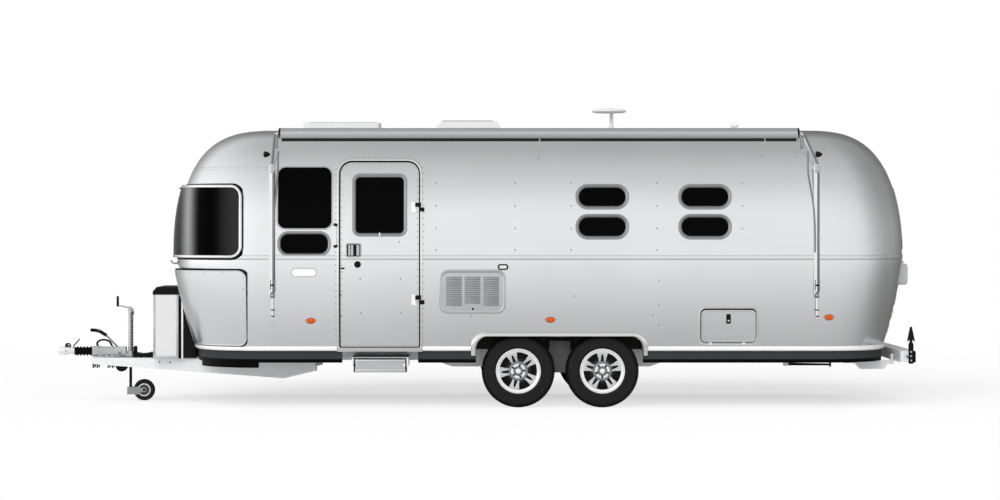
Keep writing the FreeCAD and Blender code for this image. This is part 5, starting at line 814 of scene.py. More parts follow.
def make_shell():
    data = plain_mesh("body_skin", *loft(shell_rings(-WALL)[::-1] + shell_rings(0.0), capped=False))
    shut(opened(data), data)
    shell = stand("body_skin", data)
    cutters = make_cutters()
    cut = shell.modifiers.new("openings", "BOOLEAN")
    cut.object, cut.operation, cut.solver = cutters, "DIFFERENCE", "MANIFOLD"
    settle(shell)
    bpy.data.objects.remove(cutters)
    shell.data.materials.clear()
    for finish in (ALUMINIUM, LINER):
        shell.data.materials.append(finish)
    skin_faces = rule_normals(shell.data, 1)
    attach(shell, "caravan")
    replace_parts(shell, "left_wall", "right_wall", "roof_panel", "front_cap_lower", "front_cap_upper",
                "rear_cap_lower", "rear_cap_upper")
    print("skin:", len(shell.data.polygons), "faces,", skin_faces, "of them outside")


make_shell()
# %% [markdown]
# ## Rings, panels and rows of rivets
#
# Frames, seals and beads on the body share one idea: a small section swept round a rounded
# outline that lies on the curved skin. Doors, hatches and panes are sheets that fill such an
# outline. Rivets follow the same outlines at an even pitch; their places are gathered here
# and one Geometry Nodes tree sets them all at the end.


# %% Rings and panels on the skin
CORNER_STEPS = 10


def side_spot(x, z, side=-1):
    """place(across, up, out) for an outline about a point on the body side."""
    return lambda across, up, out: on_side(x + across, z + up, side, out)


def end_spot(end, y, z):
    """place(across, up, out) for an outline on the nose or tail."""
    return lambda across, up, out: on_end(end, y + across, z + up, out)


def subdivided(outline, counts):
    """An outline whose runs are each cut into a number of parts."""
    result = []
    for (x, z), (next_x, next_z), count in zip(outline, outline[1:] + outline[:1], counts):
        result += [(x + (next_x - x) * k / count, z + (next_z - z) * k / count) for k in range(count)]
    return result


def skin_outline(width, height, corner, grow=0.0, longest=0.12):
    """A round outline, grown, whose long runs are divided so that it follows a curved skin."""
    base = round_outline(width, height, corner, CORNER_STEPS)
    counts = [max(1, math.ceil(math.dist(a, b) / longest)) for a, b in zip(base, base[1:] + base[:1])]
    outline = round_outline(width + 2 * grow, height + 2 * grow, eased(corner, grow), CORNER_STEPS)
    return subdivided(outline, counts)


def ring(place, width, height, corner, profile):
    """A section of (outwards from the outline, off the skin) pairs swept round the outline."""
    return loft([[place(across, up, out) for across, up in skin_outline(width, height, corner, grow)]
                 for grow, out in profile + profile[:1]], capped=False)


def panel(place, width, height, corner, outer, inner, bevel=0.003, levels=8):
    """A closed sheet that fills an outline, between two depths off the skin."""
    def scaled(share, shrink, out):
        return [place(across * share, up * share, out)
                for across, up in skin_outline(width, height, corner, -shrink)]
    shares = [0.0005] + [(i + 1) / levels for i in range(levels)]
    return loft([scaled(share, bevel, inner) for share in shares]
                + [scaled(1, 0, inner), scaled(1, 0, outer - bevel)]
                + [scaled(share, bevel, outer) for share in reversed(shares)])


def walk(points, pitch, closed=True):
    """Evenly spaced points along a line of points, as near the pitch as a whole number allows."""
    points = [Vector(p) for p in points] + ([Vector(points[0])] if closed else [])
    lengths = [(b - a).length for a, b in zip(points, points[1:])]
    count = max(1, round(sum(lengths) / pitch))
    step, places, travelled, at = sum(lengths) / count, [], 0.0, 0
    for number in range(count if closed else count + 1):
        goal = min(number * step, sum(lengths) - 1e-7)
        while travelled + lengths[at] < goal:
            travelled += lengths[at]
            at += 1
        places.append(points[at].lerp(points[at + 1], (goal - travelled) / lengths[at]))
    return places


RIVETS = {}


def rivet_all(places, body="caravan", radius=0.0072, toward=None):
    """Remembers rivets at these places; each faces the way the skin does."""
    for place in places:
        RIVETS.setdefault((body, radius), []).append((Vector(place), toward or facing(place)))


def rivet_ring(place, width, height, corner, grow, out, pitch, body="caravan", radius=0.0062):
    outline = skin_outline(width + 2 * grow, height + 2 * grow, eased(corner, grow), longest=0.05)
    rivet_all(walk([place(a, u, out) for a, u in outline], pitch), body, radius)


# %% [markdown]
# ## Windows
#
# A caravan window is a pane of dark acrylic held by a pressed ring: a narrow flange riveted to
# the skin, a dished slope that turns in to the glass, and a rubber seal. The large front
# windows have only a slim bead. Acrylic is near black from outside, because it is tinted and
# the room behind is dark; a low specular level keeps the studio from washing it out.


# %% Window finishes and windows
def tinted(name, colour, gloss, specular):
    """Smoke-tinted acrylic: almost black, smooth, with a faint ripple from casting."""
    finish = Finish(name, colour, gloss, IOR=1.49, Specular_IOR_Level=specular)
    tree, place = finish.tree, finish.place
    ripple = add(tree, "ShaderNodeTexNoise", {"Vector": place, "Scale": 1 / (260 * MM), "Detail": 1})
    finish.set("Normal", add(tree, "ShaderNodeBump", {
        "Height": ripple, "Distance": 0.4 * MM, "Strength": 0.15}))
    clouds = add(tree, "ShaderNodeTexNoise", {"Vector": place, "Scale": 1 / (700 * MM), "Detail": 1})
    tones = ((0, colour), (1, shade(colour, 3)))
    finish.set("Base Color", add(tree, "ShaderNodeValToRGB", {"Fac": clouds}, tones))
    return finish.material


ACRYLIC = tinted("smoke_tinted_acrylic", "#030304", 0.06, 0.02)
SLIM_BEAD = 0.014       # a frame this wide is a slim bead; wider ones are pressed rings
frames, panes = [], []


def make_window(name, place, width, height, corner, frame_width, body="caravan"):
    """A pressed ring or a slim bead, its rivets, a seal and a pane."""
    size, seal = (width, height, corner), mm("5 -6, 4 -4, -3 -4, -6 -8, -6 -12, 5 -12")
    if frame_width > SLIM_BEAD:
        slope, sunk, metal = frame_width - WINDOW_FLANGE, -0.0045, RING_METAL
        profile = [(frame_width, 0.0005), (frame_width - 0.001, 0.003), (frame_width - 0.003, 0.004),
                   (slope, 0.004), (slope - 0.004, 0.0025), *mm("8 -8, 3 -9.5, 3 -18"),
                   (slope - 0.001, -0.018), (slope - 0.001, 0.0005)]
        rivet_ring(place, *size, frame_width - 0.007, 0.004, 0.028, body, 0.0042)
    else:
        profile = mm("14 0.5, 14 6, 11 10, 4 10, 0 6, 0 -4, 1 -14, 1 0.5")
        seal, sunk, metal = [(grow - 0.001, out + 0.010) for grow, out in seal], 0.003, ANODISED
    frames.append(piece("frame_" + name, ring(place, *size, profile), metal, body))
    piece("seal_" + name, ring(place, *size, seal), BLACK_RUBBER, body)
    sheet = panel(place, width - 0.004, height - 0.004, corner - 0.002, sunk - 0.004, sunk - 0.010)
    panes.append(piece("pane_" + name, sheet, ACRYLIC, body))


for name, side, x, z, *sizes in WINDOWS:
    make_window(name, side_spot(x, z, side), *sizes)
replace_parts(frames[0], "window_frames")
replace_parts(panes[0], "window_panes")
print("windows:", len(WINDOWS), "on the sides")

# %% [markdown]
# ### Nose and tail windows
#
# Three panes wrap round the nose behind the rock guard, and one wide window sits in the tail.

# %% Nose and tail windows
SIDE_PANE_END = half_width(NOSE_GLASS["high"]) * (
    1 - (NOSE_GLASS["rear"] / end_reach("nose", NOSE_GLASS["high"])) ** PLAN_POWER) ** (1 / PLAN_POWER) - 0.02
inner, outer = NOSE_GLASS["inner"], NOSE_GLASS["outer"]
END_WINDOWS = (     # name, end, its sizes, and its edges from the middle
    ("nose_middle", "nose", NOSE_GLASS, -inner, inner),
    ("nose_left", "nose", NOSE_GLASS, -SIDE_PANE_END, -outer),
    ("nose_right", "nose", NOSE_GLASS, outer, SIDE_PANE_END),
    ("tail", "tail", TAIL_GLASS, -TAIL_GLASS["half"], TAIL_GLASS["half"]),
)
for name, end, glass, y_low, y_high in END_WINDOWS:
    spot = end_spot(end, (y_low + y_high) / 2, (glass["low"] + glass["high"]) / 2)
    make_window(name, spot, y_high - y_low, glass["high"] - glass["low"], glass.get("corner", 0.03),
                glass.get("frame", SLIM_BEAD))
print("windows:", len(END_WINDOWS), "on the nose and tail")

# %% [markdown]
# ## Entry door
#
# The leaf is a curved sandwich with an aluminium skin, so it is one sheet between its outline
# and its window's. Round it runs a half-round bead with a seal. The trim along the belt line
# crosses it as its own piece, so that the door opens with its share of it.

# %% Door leaf
PANE_Z = 1.954
DOOR_PANE = PANE_WIDTH, PANE_HEIGHT, PANE_CORNER, PANE_FRAME = 0.450, 0.528, 0.036, 0.040
DOOR_SKIN_BACK = 0.003      # the leaf's skin lies this far inside the body's
LEAF_COUNTS = ([1] * CORNER_STEPS + [6]) * 4    # each straight run of a ring is cut into six


def leaf_rings(shrink, out, count=10):
    """Rings from the leaf's outline in to its window's, at one depth."""
    grow = PANE_FRAME - WINDOW_FLANGE
    leaf = round_outline(DOOR_WIDTH - 2 * shrink, DOOR_HEIGHT - 2 * shrink, eased(DOOR_CORNER, -shrink),
                         CORNER_STEPS)
    hole = round_outline(PANE_WIDTH + 2 * grow, PANE_HEIGHT + 2 * grow, PANE_CORNER + grow, CORNER_STEPS)
    rings = []
    for share in (i / count for i in range(count + 1)):
        mixed = [(a + (c - a) * share, DOOR_Z + b + (PANE_Z + d - DOOR_Z - b) * share)
                 for (a, b), (c, d) in zip(leaf, hole)]
        rings.append([on_side(DOOR_X + x, z, -1, out) for x, z in subdivided(mixed, LEAF_COUNTS)])
    return rings


around = leaf_rings(0.0015, -DOOR_SKIN_BACK)[::-1]
around += leaf_rings(0.0, -DOOR_SKIN_BACK - 0.0015)[:1] + leaf_rings(0.0, -WALL)
leaf = piece("door_leaf", loft(around + around[:1], capped=False), ALUMINIUM, "entry_door")
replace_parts(leaf, "entry_door")
make_window("door", lambda a, u, out: on_side(DOOR_X + a, PANE_Z + u, -1, out - DOOR_SKIN_BACK),
            *DOOR_PANE, "entry_door")
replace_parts(frames[-1], "entry_door_window")
piece("door_window_catch", block((DOOR_X - 0.006, -HALF - 0.008, PANE_Z - 0.300),
                                 (DOOR_X + 0.006, -HALF + 0.004, PANE_Z - 0.266)), WHITE_ABS, "entry_door")
door_place = side_spot(DOOR_X, DOOR_Z)
SURROUND = mm("12 0.5, 13 5, 18 9, 24 10, 30 8, 34 3, 34 0.5")
surround = piece("door_surround_bead", ring(door_place, *DOOR, SURROUND), BRIGHT_TRIM)
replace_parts(surround, "door_surround")
piece("door_seal", ring(door_place, *DOOR, mm("4 -30, 4 -12, 7 -9, 10.5 -12, 10.5 -30")), BLACK_RUBBER)
rivet_ring(door_place, *DOOR, -0.014, -DOOR_SKIN_BACK, 0.062, "entry_door")
rivet_ring(door_place, *DOOR, DOOR_GAP + 0.034, 0.0, 0.062)
print("door: leaf %.0f x %.0f mm" % (DOOR_WIDTH / MM, DOOR_HEIGHT / MM))

# %% [markdown]
# ### Door furniture
#
# The handle is a cast bezel with three bars over a dark recess; below it sit a black lock knob
# and a small catch. Two black hinges join the leaf to the wall, each a barrel in two halves,
# one on the leaf and one on the wall. A white grab bar on black posts stands beside the door.

# %% Handle, lock, hinges and grab bar
HANDLE_X, HANDLE_Z = DOOR_X - 0.250, 1.519
handle_place = side_spot(HANDLE_X, HANDLE_Z)
bezel = ring(handle_place, 0.120, 0.106, 0.006, mm("15 -4, 15 4, 11 9, 5 9, 0 1, 0 -4"))
piece("door_handle_bezel", bezel, ZINC_STEEL, "entry_door")
piece("door_handle_recess", panel(handle_place, 0.124, 0.110, 0.008, 0.0015, -0.002, 0.001, 3),
      BLACK_ABS, "entry_door")
for number, (low, high, proud) in enumerate(mm("-52 -30 10, -26 -2 14, 26 56 10")):
    bar_place = side_spot(HANDLE_X + (low + high) / 2, HANDLE_Z)
    bar = panel(bar_place, high - low, 0.104, 0.004, proud, 0.001, 0.003, 3)
    piece("door_handle_bar_%d" % number, bar, ZINC_STEEL, "entry_door")
LATCH_EDGE, HINGE_EDGE = DOOR_X - DOOR_WIDTH / 2, DOOR_X + DOOR_WIDTH / 2
KNOB_X, KNOB_Z = LATCH_EDGE + 0.165, 1.382
knob_y = -half_width(KNOB_Z) + DOOR_SKIN_BACK
knob = turned((KNOB_X, knob_y, KNOB_Z), (0, -1, 0), mm("-2 33, 6 33, 10 29, 11 23, 14 21, 17 17, 18 0"))
knob = piece("door_lock_knob", knob, BLACK_ABS, "entry_door")
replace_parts(knob, "entry_door_fittings")
barrel = turned((KNOB_X, knob_y - 0.017, KNOB_Z), (0, -1, 0), mm("0 10, 4 10, 5 8, 5 0"), 20)
piece("door_lock_barrel", barrel, BLACK_ENAMEL, "entry_door")
catch = panel(side_spot(LATCH_EDGE + 0.022, 1.345), 0.036, 0.016, 0.004, 0.010, -0.003, 0.002, 3)
piece("door_catch", catch, BLACK_ABS, "entry_door")
HINGES = (("low", DOOR_LOW + 0.451), ("high", DOOR_LOW + 1.344))
HINGE_X, HINGE_Y = HINGE_EDGE + 0.008, -HALF - 0.018
BARREL = mm("0 5.6, 2 8, 42.5 8, 44.5 5.6")


def make_door_hinges():
    """Each hinge: a black barrel in two halves with leaves that reach back to the skin."""
    for name, height in HINGES:
        for half, body, z, reach, sunk in (("leaf", "entry_door", height + 0.0005, -0.044, 0.004),
                                           ("post", "caravan", height - 0.045, 0.044, 0.002)):
            strap = block((HINGE_X, HINGE_Y - 0.004, z + 0.003),
                          (HINGE_X + reach, sunk - half_width(z + BARREL[-1][0] / 2), z + 0.0415))
            barrel = turned((HINGE_X, HINGE_Y, z), "Z", BARREL, 20)
            part = piece("door_hinge_%s_%s" % (name, half), merge(barrel, strap), BLACK_ENAMEL, body)
        pad = panel(side_spot(HINGE_EDGE - 0.050, height), 0.044, 0.098, 0.005, 0.008, -0.003, 0.003, 3)
        piece("door_hinge_plate_" + name, pad, WHITE_ABS, "entry_door")


make_door_hinges()
GRAB_LOW, GRAB_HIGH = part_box("grab_handle")
GRAB_X, GRAB_Y = (GRAB_LOW.x + GRAB_HIGH.x) / 2, GRAB_LOW.y + 0.0128


def make_grab_bar():
    """A white bar between two black posts."""
    skin_y, length = -half_width(GRAB_LOW.z), GRAB_HIGH.z - GRAB_LOW.z - 0.04
    bar = piece("grab_bar", turned((GRAB_X, GRAB_Y, GRAB_LOW.z + 0.020), "Z", [
        (0, 0.009), (0.001, 0.010), (length - 0.001, 0.010), (length, 0.009)], 20), WHITE_ABS)
    posts = []
    for z, way in ((GRAB_LOW.z + 0.018, 1), (GRAB_HIGH.z - 0.018, -1)):
        elbow = [(GRAB_X, skin_y + 0.002, z), (GRAB_X, GRAB_Y, z), (GRAB_X, GRAB_Y, z + way * 0.012)]
        posts += [tube(bent(elbow, 0.008), 0.0125, 16),
                  turned((GRAB_X, skin_y + 0.001, z), (0, -1, 0), mm("0 18, 5 18, 8 13"), 20)]
    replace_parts(piece("grab_bar_posts", merge(*posts), BLACK_ABS), "grab_handle")


make_grab_bar()
print("door furniture done")

# %% [markdown]
# ## Belt trim, rub rail and beads
#
# Long extrusions run round the body: a flat moulding covers the joint at the belt line and a
# bright half-round rub rail closes the bottom edge. Both are one section swept along the
# skin's outline at a height, and stop at the door, whose leaf carries its own length.

# %% Mouldings along the body
BELT_TRIM = mm("-24 0, -23 3, -19 4.5, 19 4.5, 23 3, 24 0")
RUB_RAIL = mm("-2 -4, -2 6, 5 16, 18 21, 32 17, 42 8, 44 0, 44 -4")


def moulding(stations, section, height):
    """Sweeps (up, out) pairs along places on the body; a station is a function of height."""
    rings = [[(station(height + up), out) for up, out in section] for station in stations]
    return loft([[at + facing(at) * out for at, out in ring] for ring in rings])


def side_run(x_from, x_to, side=-1, longest=0.35):
    """Stations along a side."""
    count = max(2, math.ceil(abs(x_to - x_from) / longest))
    return [lambda z, x=x_from + (x_to - x_from) * i / count: on_side(x, z, side) for i in range(count + 1)]


def cap_run(end, count=40):
    """Stations round the nose or tail, from the -Y side to the +Y side."""
    return [lambda z, angle=0.5 + 179 * i / count: cap_spot(end, angle, z) for i in range(count + 1)]


BEAD_WIDTH = DOOR_GAP + 0.022
DOOR_EDGE_LOW, DOOR_EDGE_HIGH = LATCH_EDGE - BEAD_WIDTH, HINGE_EDGE + BEAD_WIDTH
ARCH_FRONT, ARCH_REAR = ARCH_LOW - ARCH_TRIM, ARCH_HIGH + ARCH_TRIM
MOULDINGS = (       # name, section, height, finish, stations
    ("belt_trim_front", BELT_TRIM, BELT - 0.002, ALUMINIUM,
     side_run(DOOR_EDGE_LOW, FRONT_SEAM) + cap_run("nose") + side_run(FRONT_SEAM, REAR_SEAM, 1)),
    ("belt_trim_rear", BELT_TRIM, BELT - 0.002, ALUMINIUM,
     side_run(DOOR_EDGE_HIGH, REAR_SEAM) + cap_run("tail")),
    ("rub_rail_nose", RUB_RAIL, SILL, SATIN_RAIL,
     side_run(DOOR_EDGE_LOW - 0.002, FRONT_SEAM) + cap_run("nose") + side_run(FRONT_SEAM, ARCH_FRONT, 1)),
    ("rub_rail_left", RUB_RAIL, SILL, SATIN_RAIL, side_run(DOOR_EDGE_HIGH + 0.002, ARCH_FRONT)),
    ("rub_rail_tail", RUB_RAIL, SILL, SATIN_RAIL,
     side_run(ARCH_REAR, REAR_SEAM) + cap_run("tail") + side_run(REAR_SEAM, ARCH_REAR, 1)),
)
for name, section, height, finish, stations in MOULDINGS:
    piece(name, moulding(stations, section, height), finish)
door_trim = [(up, out - DOOR_SKIN_BACK) for up, out in BELT_TRIM]
piece("belt_trim_door", moulding(side_run(LATCH_EDGE + 0.002, HINGE_EDGE - 0.002), door_trim, BELT - 0.002),
      ALUMINIUM, "entry_door")
sill_width = DOOR_EDGE_HIGH - DOOR_EDGE_LOW - 0.004
sill = panel(side_spot(DOOR_X, SILL + 0.012), sill_width, 0.040, 0.004, 0.020, -0.002, 0.004, 3)
piece("door_sill", sill, BRIGHT_TRIM)
print("mouldings:", len(MOULDINGS) + 2)

# %% [markdown]
# ## Wheel openings, hatches, vent and lamps
#
# Each wheel opening has a bright rolled lip. The hatches are small doors with their own frame,
# seal and a black lock; the fridge vent is a riveted frame round three columns of louvres.

# %% Wheel opening trim
ARCH_SECTION = mm("1 -4, 1 8, 6 14, 20 15, 34 10, 46 4, 48 0, 48 -4")


def arch_trim(side):
    base, rings = arch_outline(), []
    counts = [max(1, round(math.dist(a, b) / 0.15)) for a, b in zip(base, base[1:])] + [1]
    for grow, out in ARCH_SECTION + ARCH_SECTION[:1]:
        outline = arch_outline(grow)
        outline[0], outline[-1] = (outline[0][0], SILL - 0.045), (outline[-1][0], SILL - 0.045)
        rings.append([on_side(x, max(z, SILL), side, out) - Vector((0, 0, max(SILL - z, 0)))
                      for x, z in subdivided(outline, counts)])
    points, faces = loft(rings, closed=False)
    firsts = range(0, len(points) - len(rings[0]), len(rings[0]))
    return points, faces + [tuple(reversed(firsts)), tuple(i + len(rings[0]) - 1 for i in firsts)]


arches = [piece("wheel_arch_trim_" + name, arch_trim(side), BRIGHT_TRIM) for name, side in SIDES]
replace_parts(arches[0], "side_trims")

# %% Hatches
HATCH_FRAME = mm("0.5 -10, 0.5 6, 4 9, 12 9, 16 5, 16 0.5, 1 0.5")


def turned_on(place, across, up, out, profile, steps=18):
    """A turned part that stands on the skin."""
    at = place(across, up, out)
    return turned(at, facing(at), profile, steps)


for name, side in SIDES:
    body = name + "_hatch"
    frame_place = side_spot(HATCH_X, HATCH_HOLE_Z, side)
    lock_place = side_spot(HATCH_X, HATCH_Z + 0.070, side)
    place = side_spot(HATCH_X, HATCH_Z, side)
    piece("hatch_frame_" + name, ring(frame_place, *HATCH_HOLE, HATCH_FRAME), BRIGHT_TRIM)
    seal = ring(frame_place, *HATCH_HOLE, mm("-3 -30, -3 -20, -0.5 -18, -0.5 -30"))
    piece("hatch_seal_" + name, seal, BLACK_RUBBER)
    door = piece("hatch_door_" + name, panel(place, *HATCH, -0.001, -0.040, 0.0015), ALUMINIUM, body)
    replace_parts(door, body)
    piece("hatch_bead_" + name, ring(place, *HATCH, mm("-20 -2, -17 3, -12 4, -7 3, -4 -2")), ALUMINIUM, body)
    lock = panel(lock_place, 0.044, 0.094, 0.012, 0.008, -0.002, 0.003, 3)
    piece("hatch_lock_" + name, lock, BLACK_ABS, body)
    key = turned_on(lock_place, 0, -0.018, 0.008, mm("-2 10, 3 10, 4 7, 4 0"))
    piece("hatch_key_" + name, key, CHROME, body)

# %% Fridge vent
LOUVRE_APART, LOUVRE_HALF, LOUVRE_PITCH, LOUVRE_ROWS = 0.179, 0.079, 0.0205, 14
LOUVRE = mm("-8 0, -8 9, -5 8.5, 8 0")      # up and out
VENT = VENT_WIDTH, VENT_HEIGHT, VENT_CORNER = 0.640, 0.424, 0.085


def make_vent():
    """A dished frame, a plate with three raised fields and their louvres."""
    vent_place = side_spot(VENT_X, VENT_Z)
    section = mm("0 0.5, -2 4, -6 7, -18 7, -24 3, -30 3, -34 1, -34 0.5")
    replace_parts(piece("vent_frame", ring(vent_place, *VENT, section), ANODISED), "fridge_vent")
    plate = panel(vent_place, VENT_WIDTH - 0.060, VENT_HEIGHT - 0.060, VENT_CORNER - 0.030, 0.003,
                  -0.004, 0.001)
    piece("vent_plate", plate, ANODISED)
    rivet_ring(vent_place, *VENT, -0.012, 0.007, 0.046, radius=0.004)
    blades = []
    for column, row in ((column, row) for column in (-1, 0, 1) for row in range(LOUVRE_ROWS)):
        x, z = column * LOUVRE_APART, (row - (LOUVRE_ROWS - 1) / 2) * LOUVRE_PITCH + 0.004
        if (column, row) != (0, 0):     # the latch takes the place of one louvre
            blades.append(loft([
                [vent_place(x + across, z + up * share, out * share + 0.002) for up, out in LOUVRE]
                for across, share in ((-LOUVRE_HALF, 0.2), (-LOUVRE_HALF + 0.006, 1),
                                      (LOUVRE_HALF - 0.006, 1), (LOUVRE_HALF, 0.2))]))
    # The louvres take the darker ring metal instead of the plate's finish: painted shade that sets them off
    # against the plate.
    piece("vent_louvres", merge(*blades), RING_METAL)
    piece("vent_latch", turned_on(vent_place, 0.004, -0.165, 0.003, mm("-1 11, 5 11, 6 8, 6 0")), BLACK_ABS)


make_vent()


# %% Side lamps and badge
def lens(name, colour):
    """Moulded acrylic lens: a clear coloured skin with fine prism ribs under it."""
    finish = Finish(name, colour, 0.28, IOR=1.49, Specular_IOR_Level=0.2)
    tree, tones = finish.tree, ((0, shade(colour, -14)), (1, shade(colour, 10)))
    ribs = add(tree, "ShaderNodeTexWave", {"Vector": finish.place, "Scale": 1 / (22 * MM)}).outputs["Fac"]
    finish.set("Base Color", add(tree, "ShaderNodeValToRGB", {"Fac": ribs}, tones))
    finish.set("Normal", add(tree, "ShaderNodeBump", {"Height": ribs, "Distance": 0.5 * MM, "Strength": 0.4}))
    return finish.material


AMBER = lens("amber_acrylic_lens", "#D4560E")
CLEAR_LENS = lens("clear_acrylic_lens", "#D9DADA")
RED_LENS = lens("red_acrylic_lens", "#B01512")
SMOKED_LENS = lens("smoked_acrylic_lens", "#140605")
MARKERS = (("front", FRONT_SEAM + 0.361, 0.840), ("middle", FRONT_SEAM + 2.665, 0.850),
           ("rear", REAR_SEAM + 0.134, 0.874))
CLEARANCES = (("front", FRONT_SEAM - 0.076), ("rear", REAR_SEAM + 0.040))
CLEARANCE_Z = 2.443


def almond(width, height, count=14):
    """A pointed oval."""
    upper = [(-width / 2 + width * i / count, height / 2 * math.sin(math.pi * i / count) ** 0.8)
             for i in range(count + 1)]
    return [(-x, z) for x, z in upper] + [(-x, -z) for x, z in upper[1:-1]]


def dome(place, outline, depth, levels=5, base=-0.003, lift=0.0, scale=(1, 1)):
    """A shallow lens over an outline, which may be lifted off the skin and scaled."""
    outline = [(x * scale[0], z * scale[1]) for x, z in outline]
    rings = [[place(a, u, lift + base) for a, u in outline]]
    for angle in (math.pi / 2 * i / levels for i in range(levels + 1)):
        share = max(math.cos(angle), 0.0005)
        height = lift + 0.001 + depth * math.sin(angle)
        rings.append([place(a * share, u * share, height) for a, u in outline])
    return loft(rings)


def make_side_lamps():
    oval = almond(0.108, 0.052)
    turns = [2 * math.pi * i / 24 for i in range(24)]
    drop = [(0.034 * math.cos(a) * (1 + 0.25 * math.cos(a)), 0.026 * math.sin(a) * (1 - 0.3 * math.cos(a)))
            for a in turns]
    lamps = []
    for label, x, z in MARKERS:
        for side_name, side in SIDES:
            place, name = side_spot(x, z, side), "%s_%s" % (label, side_name)
            lamps.append(piece("lamp_marker_" + name, dome(place, oval, 0.014), AMBER))
            piece("lamp_base_marker_" + name, dome(place, oval, 0.003, 2, scale=(-1.06, 1.12)), BLACK_RUBBER)
    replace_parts(lamps[0], "side_lamps")
    for label, x in CLEARANCES:
        for side_name, side in SIDES:
            place, name = side_spot(x, CLEARANCE_Z, side), "%s_%s" % (label, side_name)
            piece("clearance_lamp_" + name, dome(place, drop, 0.022), BLACK_ABS)
            lens_part = dome(place, drop, 0.010, 5, -0.002, 0.016, (0.45, 0.45))
            piece("clearance_lens_" + name, lens_part, SMOKED_LENS)
    porch = side_spot(FRONT_SEAM + 2.209, 1.358)
    piece("porch_lamp_base", dome(porch, round_outline(0.104, 0.058, 0.028), 0.010), BLACK_ABS)
    piece("porch_lamp_lens", dome(porch, round_outline(0.074, 0.032, 0.0155), 0.010, lift=0.008), CLEAR_LENS)
    badge = side_spot(-1.709, 1.305)
    piece("badge_rim", panel(badge, 0.250, 0.086, 0.042, 0.004, -0.002, 0.002, 3), ANODISED)
    piece("badge_blank", panel(badge, 0.232, 0.068, 0.033, 0.006, 0.002, 0.001, 3), WHITE_ABS)


make_side_lamps()
print("lamps: %d markers, %d clearance lamps and a porch lamp" % (2 * len(MARKERS), 2 * len(CLEARANCES)))
# %% [markdown]
# ## Repeated parts
#
# Rivets, tread blocks, spokes, wheel bolts and bellows ribs come in dozens or thousands. One
# small part and a Geometry Nodes tree make each set: the rivet tree puts a head on every
# gathered point, turned to the skin; the other puts copies round an axis or along a line. The
# alternative, a loop that copies meshes, hides the count and spacing that a tree's inputs show.


# %% Node trees that repeat a part
def new_tree(name, **inputs):
    tree = bpy.data.node_groups.new(name, "GeometryNodeTree")
    for label, kind in {"Geometry": "Geometry", **inputs, "Finish": "Material"}.items():
        tree.interface.new_socket(label, in_out="INPUT", socket_type="NodeSocket" + kind)
    tree.interface.new_socket("Geometry", in_out="OUTPUT", socket_type="NodeSocketGeometry")
    return tree, add(tree, "NodeGroupInput").outputs


def finish_tree(tree, given, instances):
    real = add(tree, "GeometryNodeRealizeInstances", {"Geometry": instances}).outputs[0]
    faced = add(tree, "GeometryNodeSetMaterial", {"Geometry": real, "Material": given["Finish"]})
    add(tree, "NodeGroupOutput", {0: faced.outputs[0]})
    return tree


def make_rivet_tree():
    """A domed head on every point, turned to the point's own "toward" direction."""
    tree, given = new_tree("rivet_heads", Radius="Float", Height="Float", Spread="Float", Seed="Int")
    ball = add(tree, "GeometryNodeMeshUVSphere", {"Segments": 9, "Rings": 5, "Radius": 1.0})
    toward = add(tree, "GeometryNodeInputNamedAttribute", {"Name": "toward"}, data_type="FLOAT_VECTOR")
    turn = add(tree, "FunctionNodeAlignRotationToVector", {"Vector": toward.outputs[0]}, axis="Z")
    least = add(tree, "ShaderNodeMath", {0: 1.0, 1: given["Spread"]}, operation="SUBTRACT").outputs[0]
    chance = add(tree, "FunctionNodeRandomValue", {2: least, 3: 1.0, "Seed": given["Seed"]},
                 data_type="FLOAT").outputs[1]
    width = add(tree, "ShaderNodeMath", {0: chance, 1: given["Radius"]}, operation="MULTIPLY").outputs[0]
    size = add(tree, "ShaderNodeCombineXYZ", {0: width, 1: width, 2: given["Height"]})
    placed = add(tree, "GeometryNodeInstanceOnPoints", {
        "Points": given["Geometry"], "Instance": ball.outputs[0],
        "Rotation": turn.outputs[0], "Scale": size.outputs[0]})
    return finish_tree(tree, given, placed.outputs[0])


def make_copy_tree():
    """Copies of a part round an axis through the origin, along a line, or both."""
    tree, given = new_tree("copies", Count="Int", Turn="Vector", Step="Vector", Centre="Vector")
    row = add(tree, "GeometryNodeMeshLine", {"Count": given["Count"], "Offset": given["Step"]}, mode="OFFSET")
    number = add(tree, "GeometryNodeInputIndex").outputs[0]
    angle = add(tree, "ShaderNodeVectorMath", {0: given["Turn"], "Scale": number}, operation="SCALE")
    turn = add(tree, "FunctionNodeEulerToRotation", {0: angle.outputs[0]}).outputs[0]
    placed = add(tree, "GeometryNodeInstanceOnPoints", {
        "Points": row.outputs[0], "Instance": given["Geometry"], "Rotation": turn})
    moved = add(tree, "GeometryNodeTransform",
                {"Geometry": placed.outputs[0], "Translation": given["Centre"]})
    return finish_tree(tree, given, moved.outputs[0])


RIVET_TREE, COPY_TREE = make_rivet_tree(), make_copy_tree()


def grown(name, data, tree, **values):
    """Plain mesh data from a mesh and a node tree whose inputs are set by name."""
    thing = stand(name + "_source", data)
    modifier = thing.modifiers.new("nodes", "NODES")
    modifier.node_group = tree
    for socket in tree.interface.items_tree:
        if socket.in_out == "INPUT" and socket.name in values:
            modifier[socket.identifier] = values[socket.name]
    settle(thing)
    result = thing.data
    bpy.data.objects.remove(thing)
    result.materials.clear()
    return result


def copies(name, part, count, finish, body="caravan", turn=0.0, step=(0, 0, 0), centre=(0, 0, 0)):
    """A part about the origin, repeated into one piece, each copy turned about Y or a step on."""
    made = grown(name, plain_mesh(name, *part), COPY_TREE, Count=count, Turn=(0, turn, 0), Step=step,
                 Centre=tuple(centre), Finish=finish)
    return wear(name, made, finish, body)


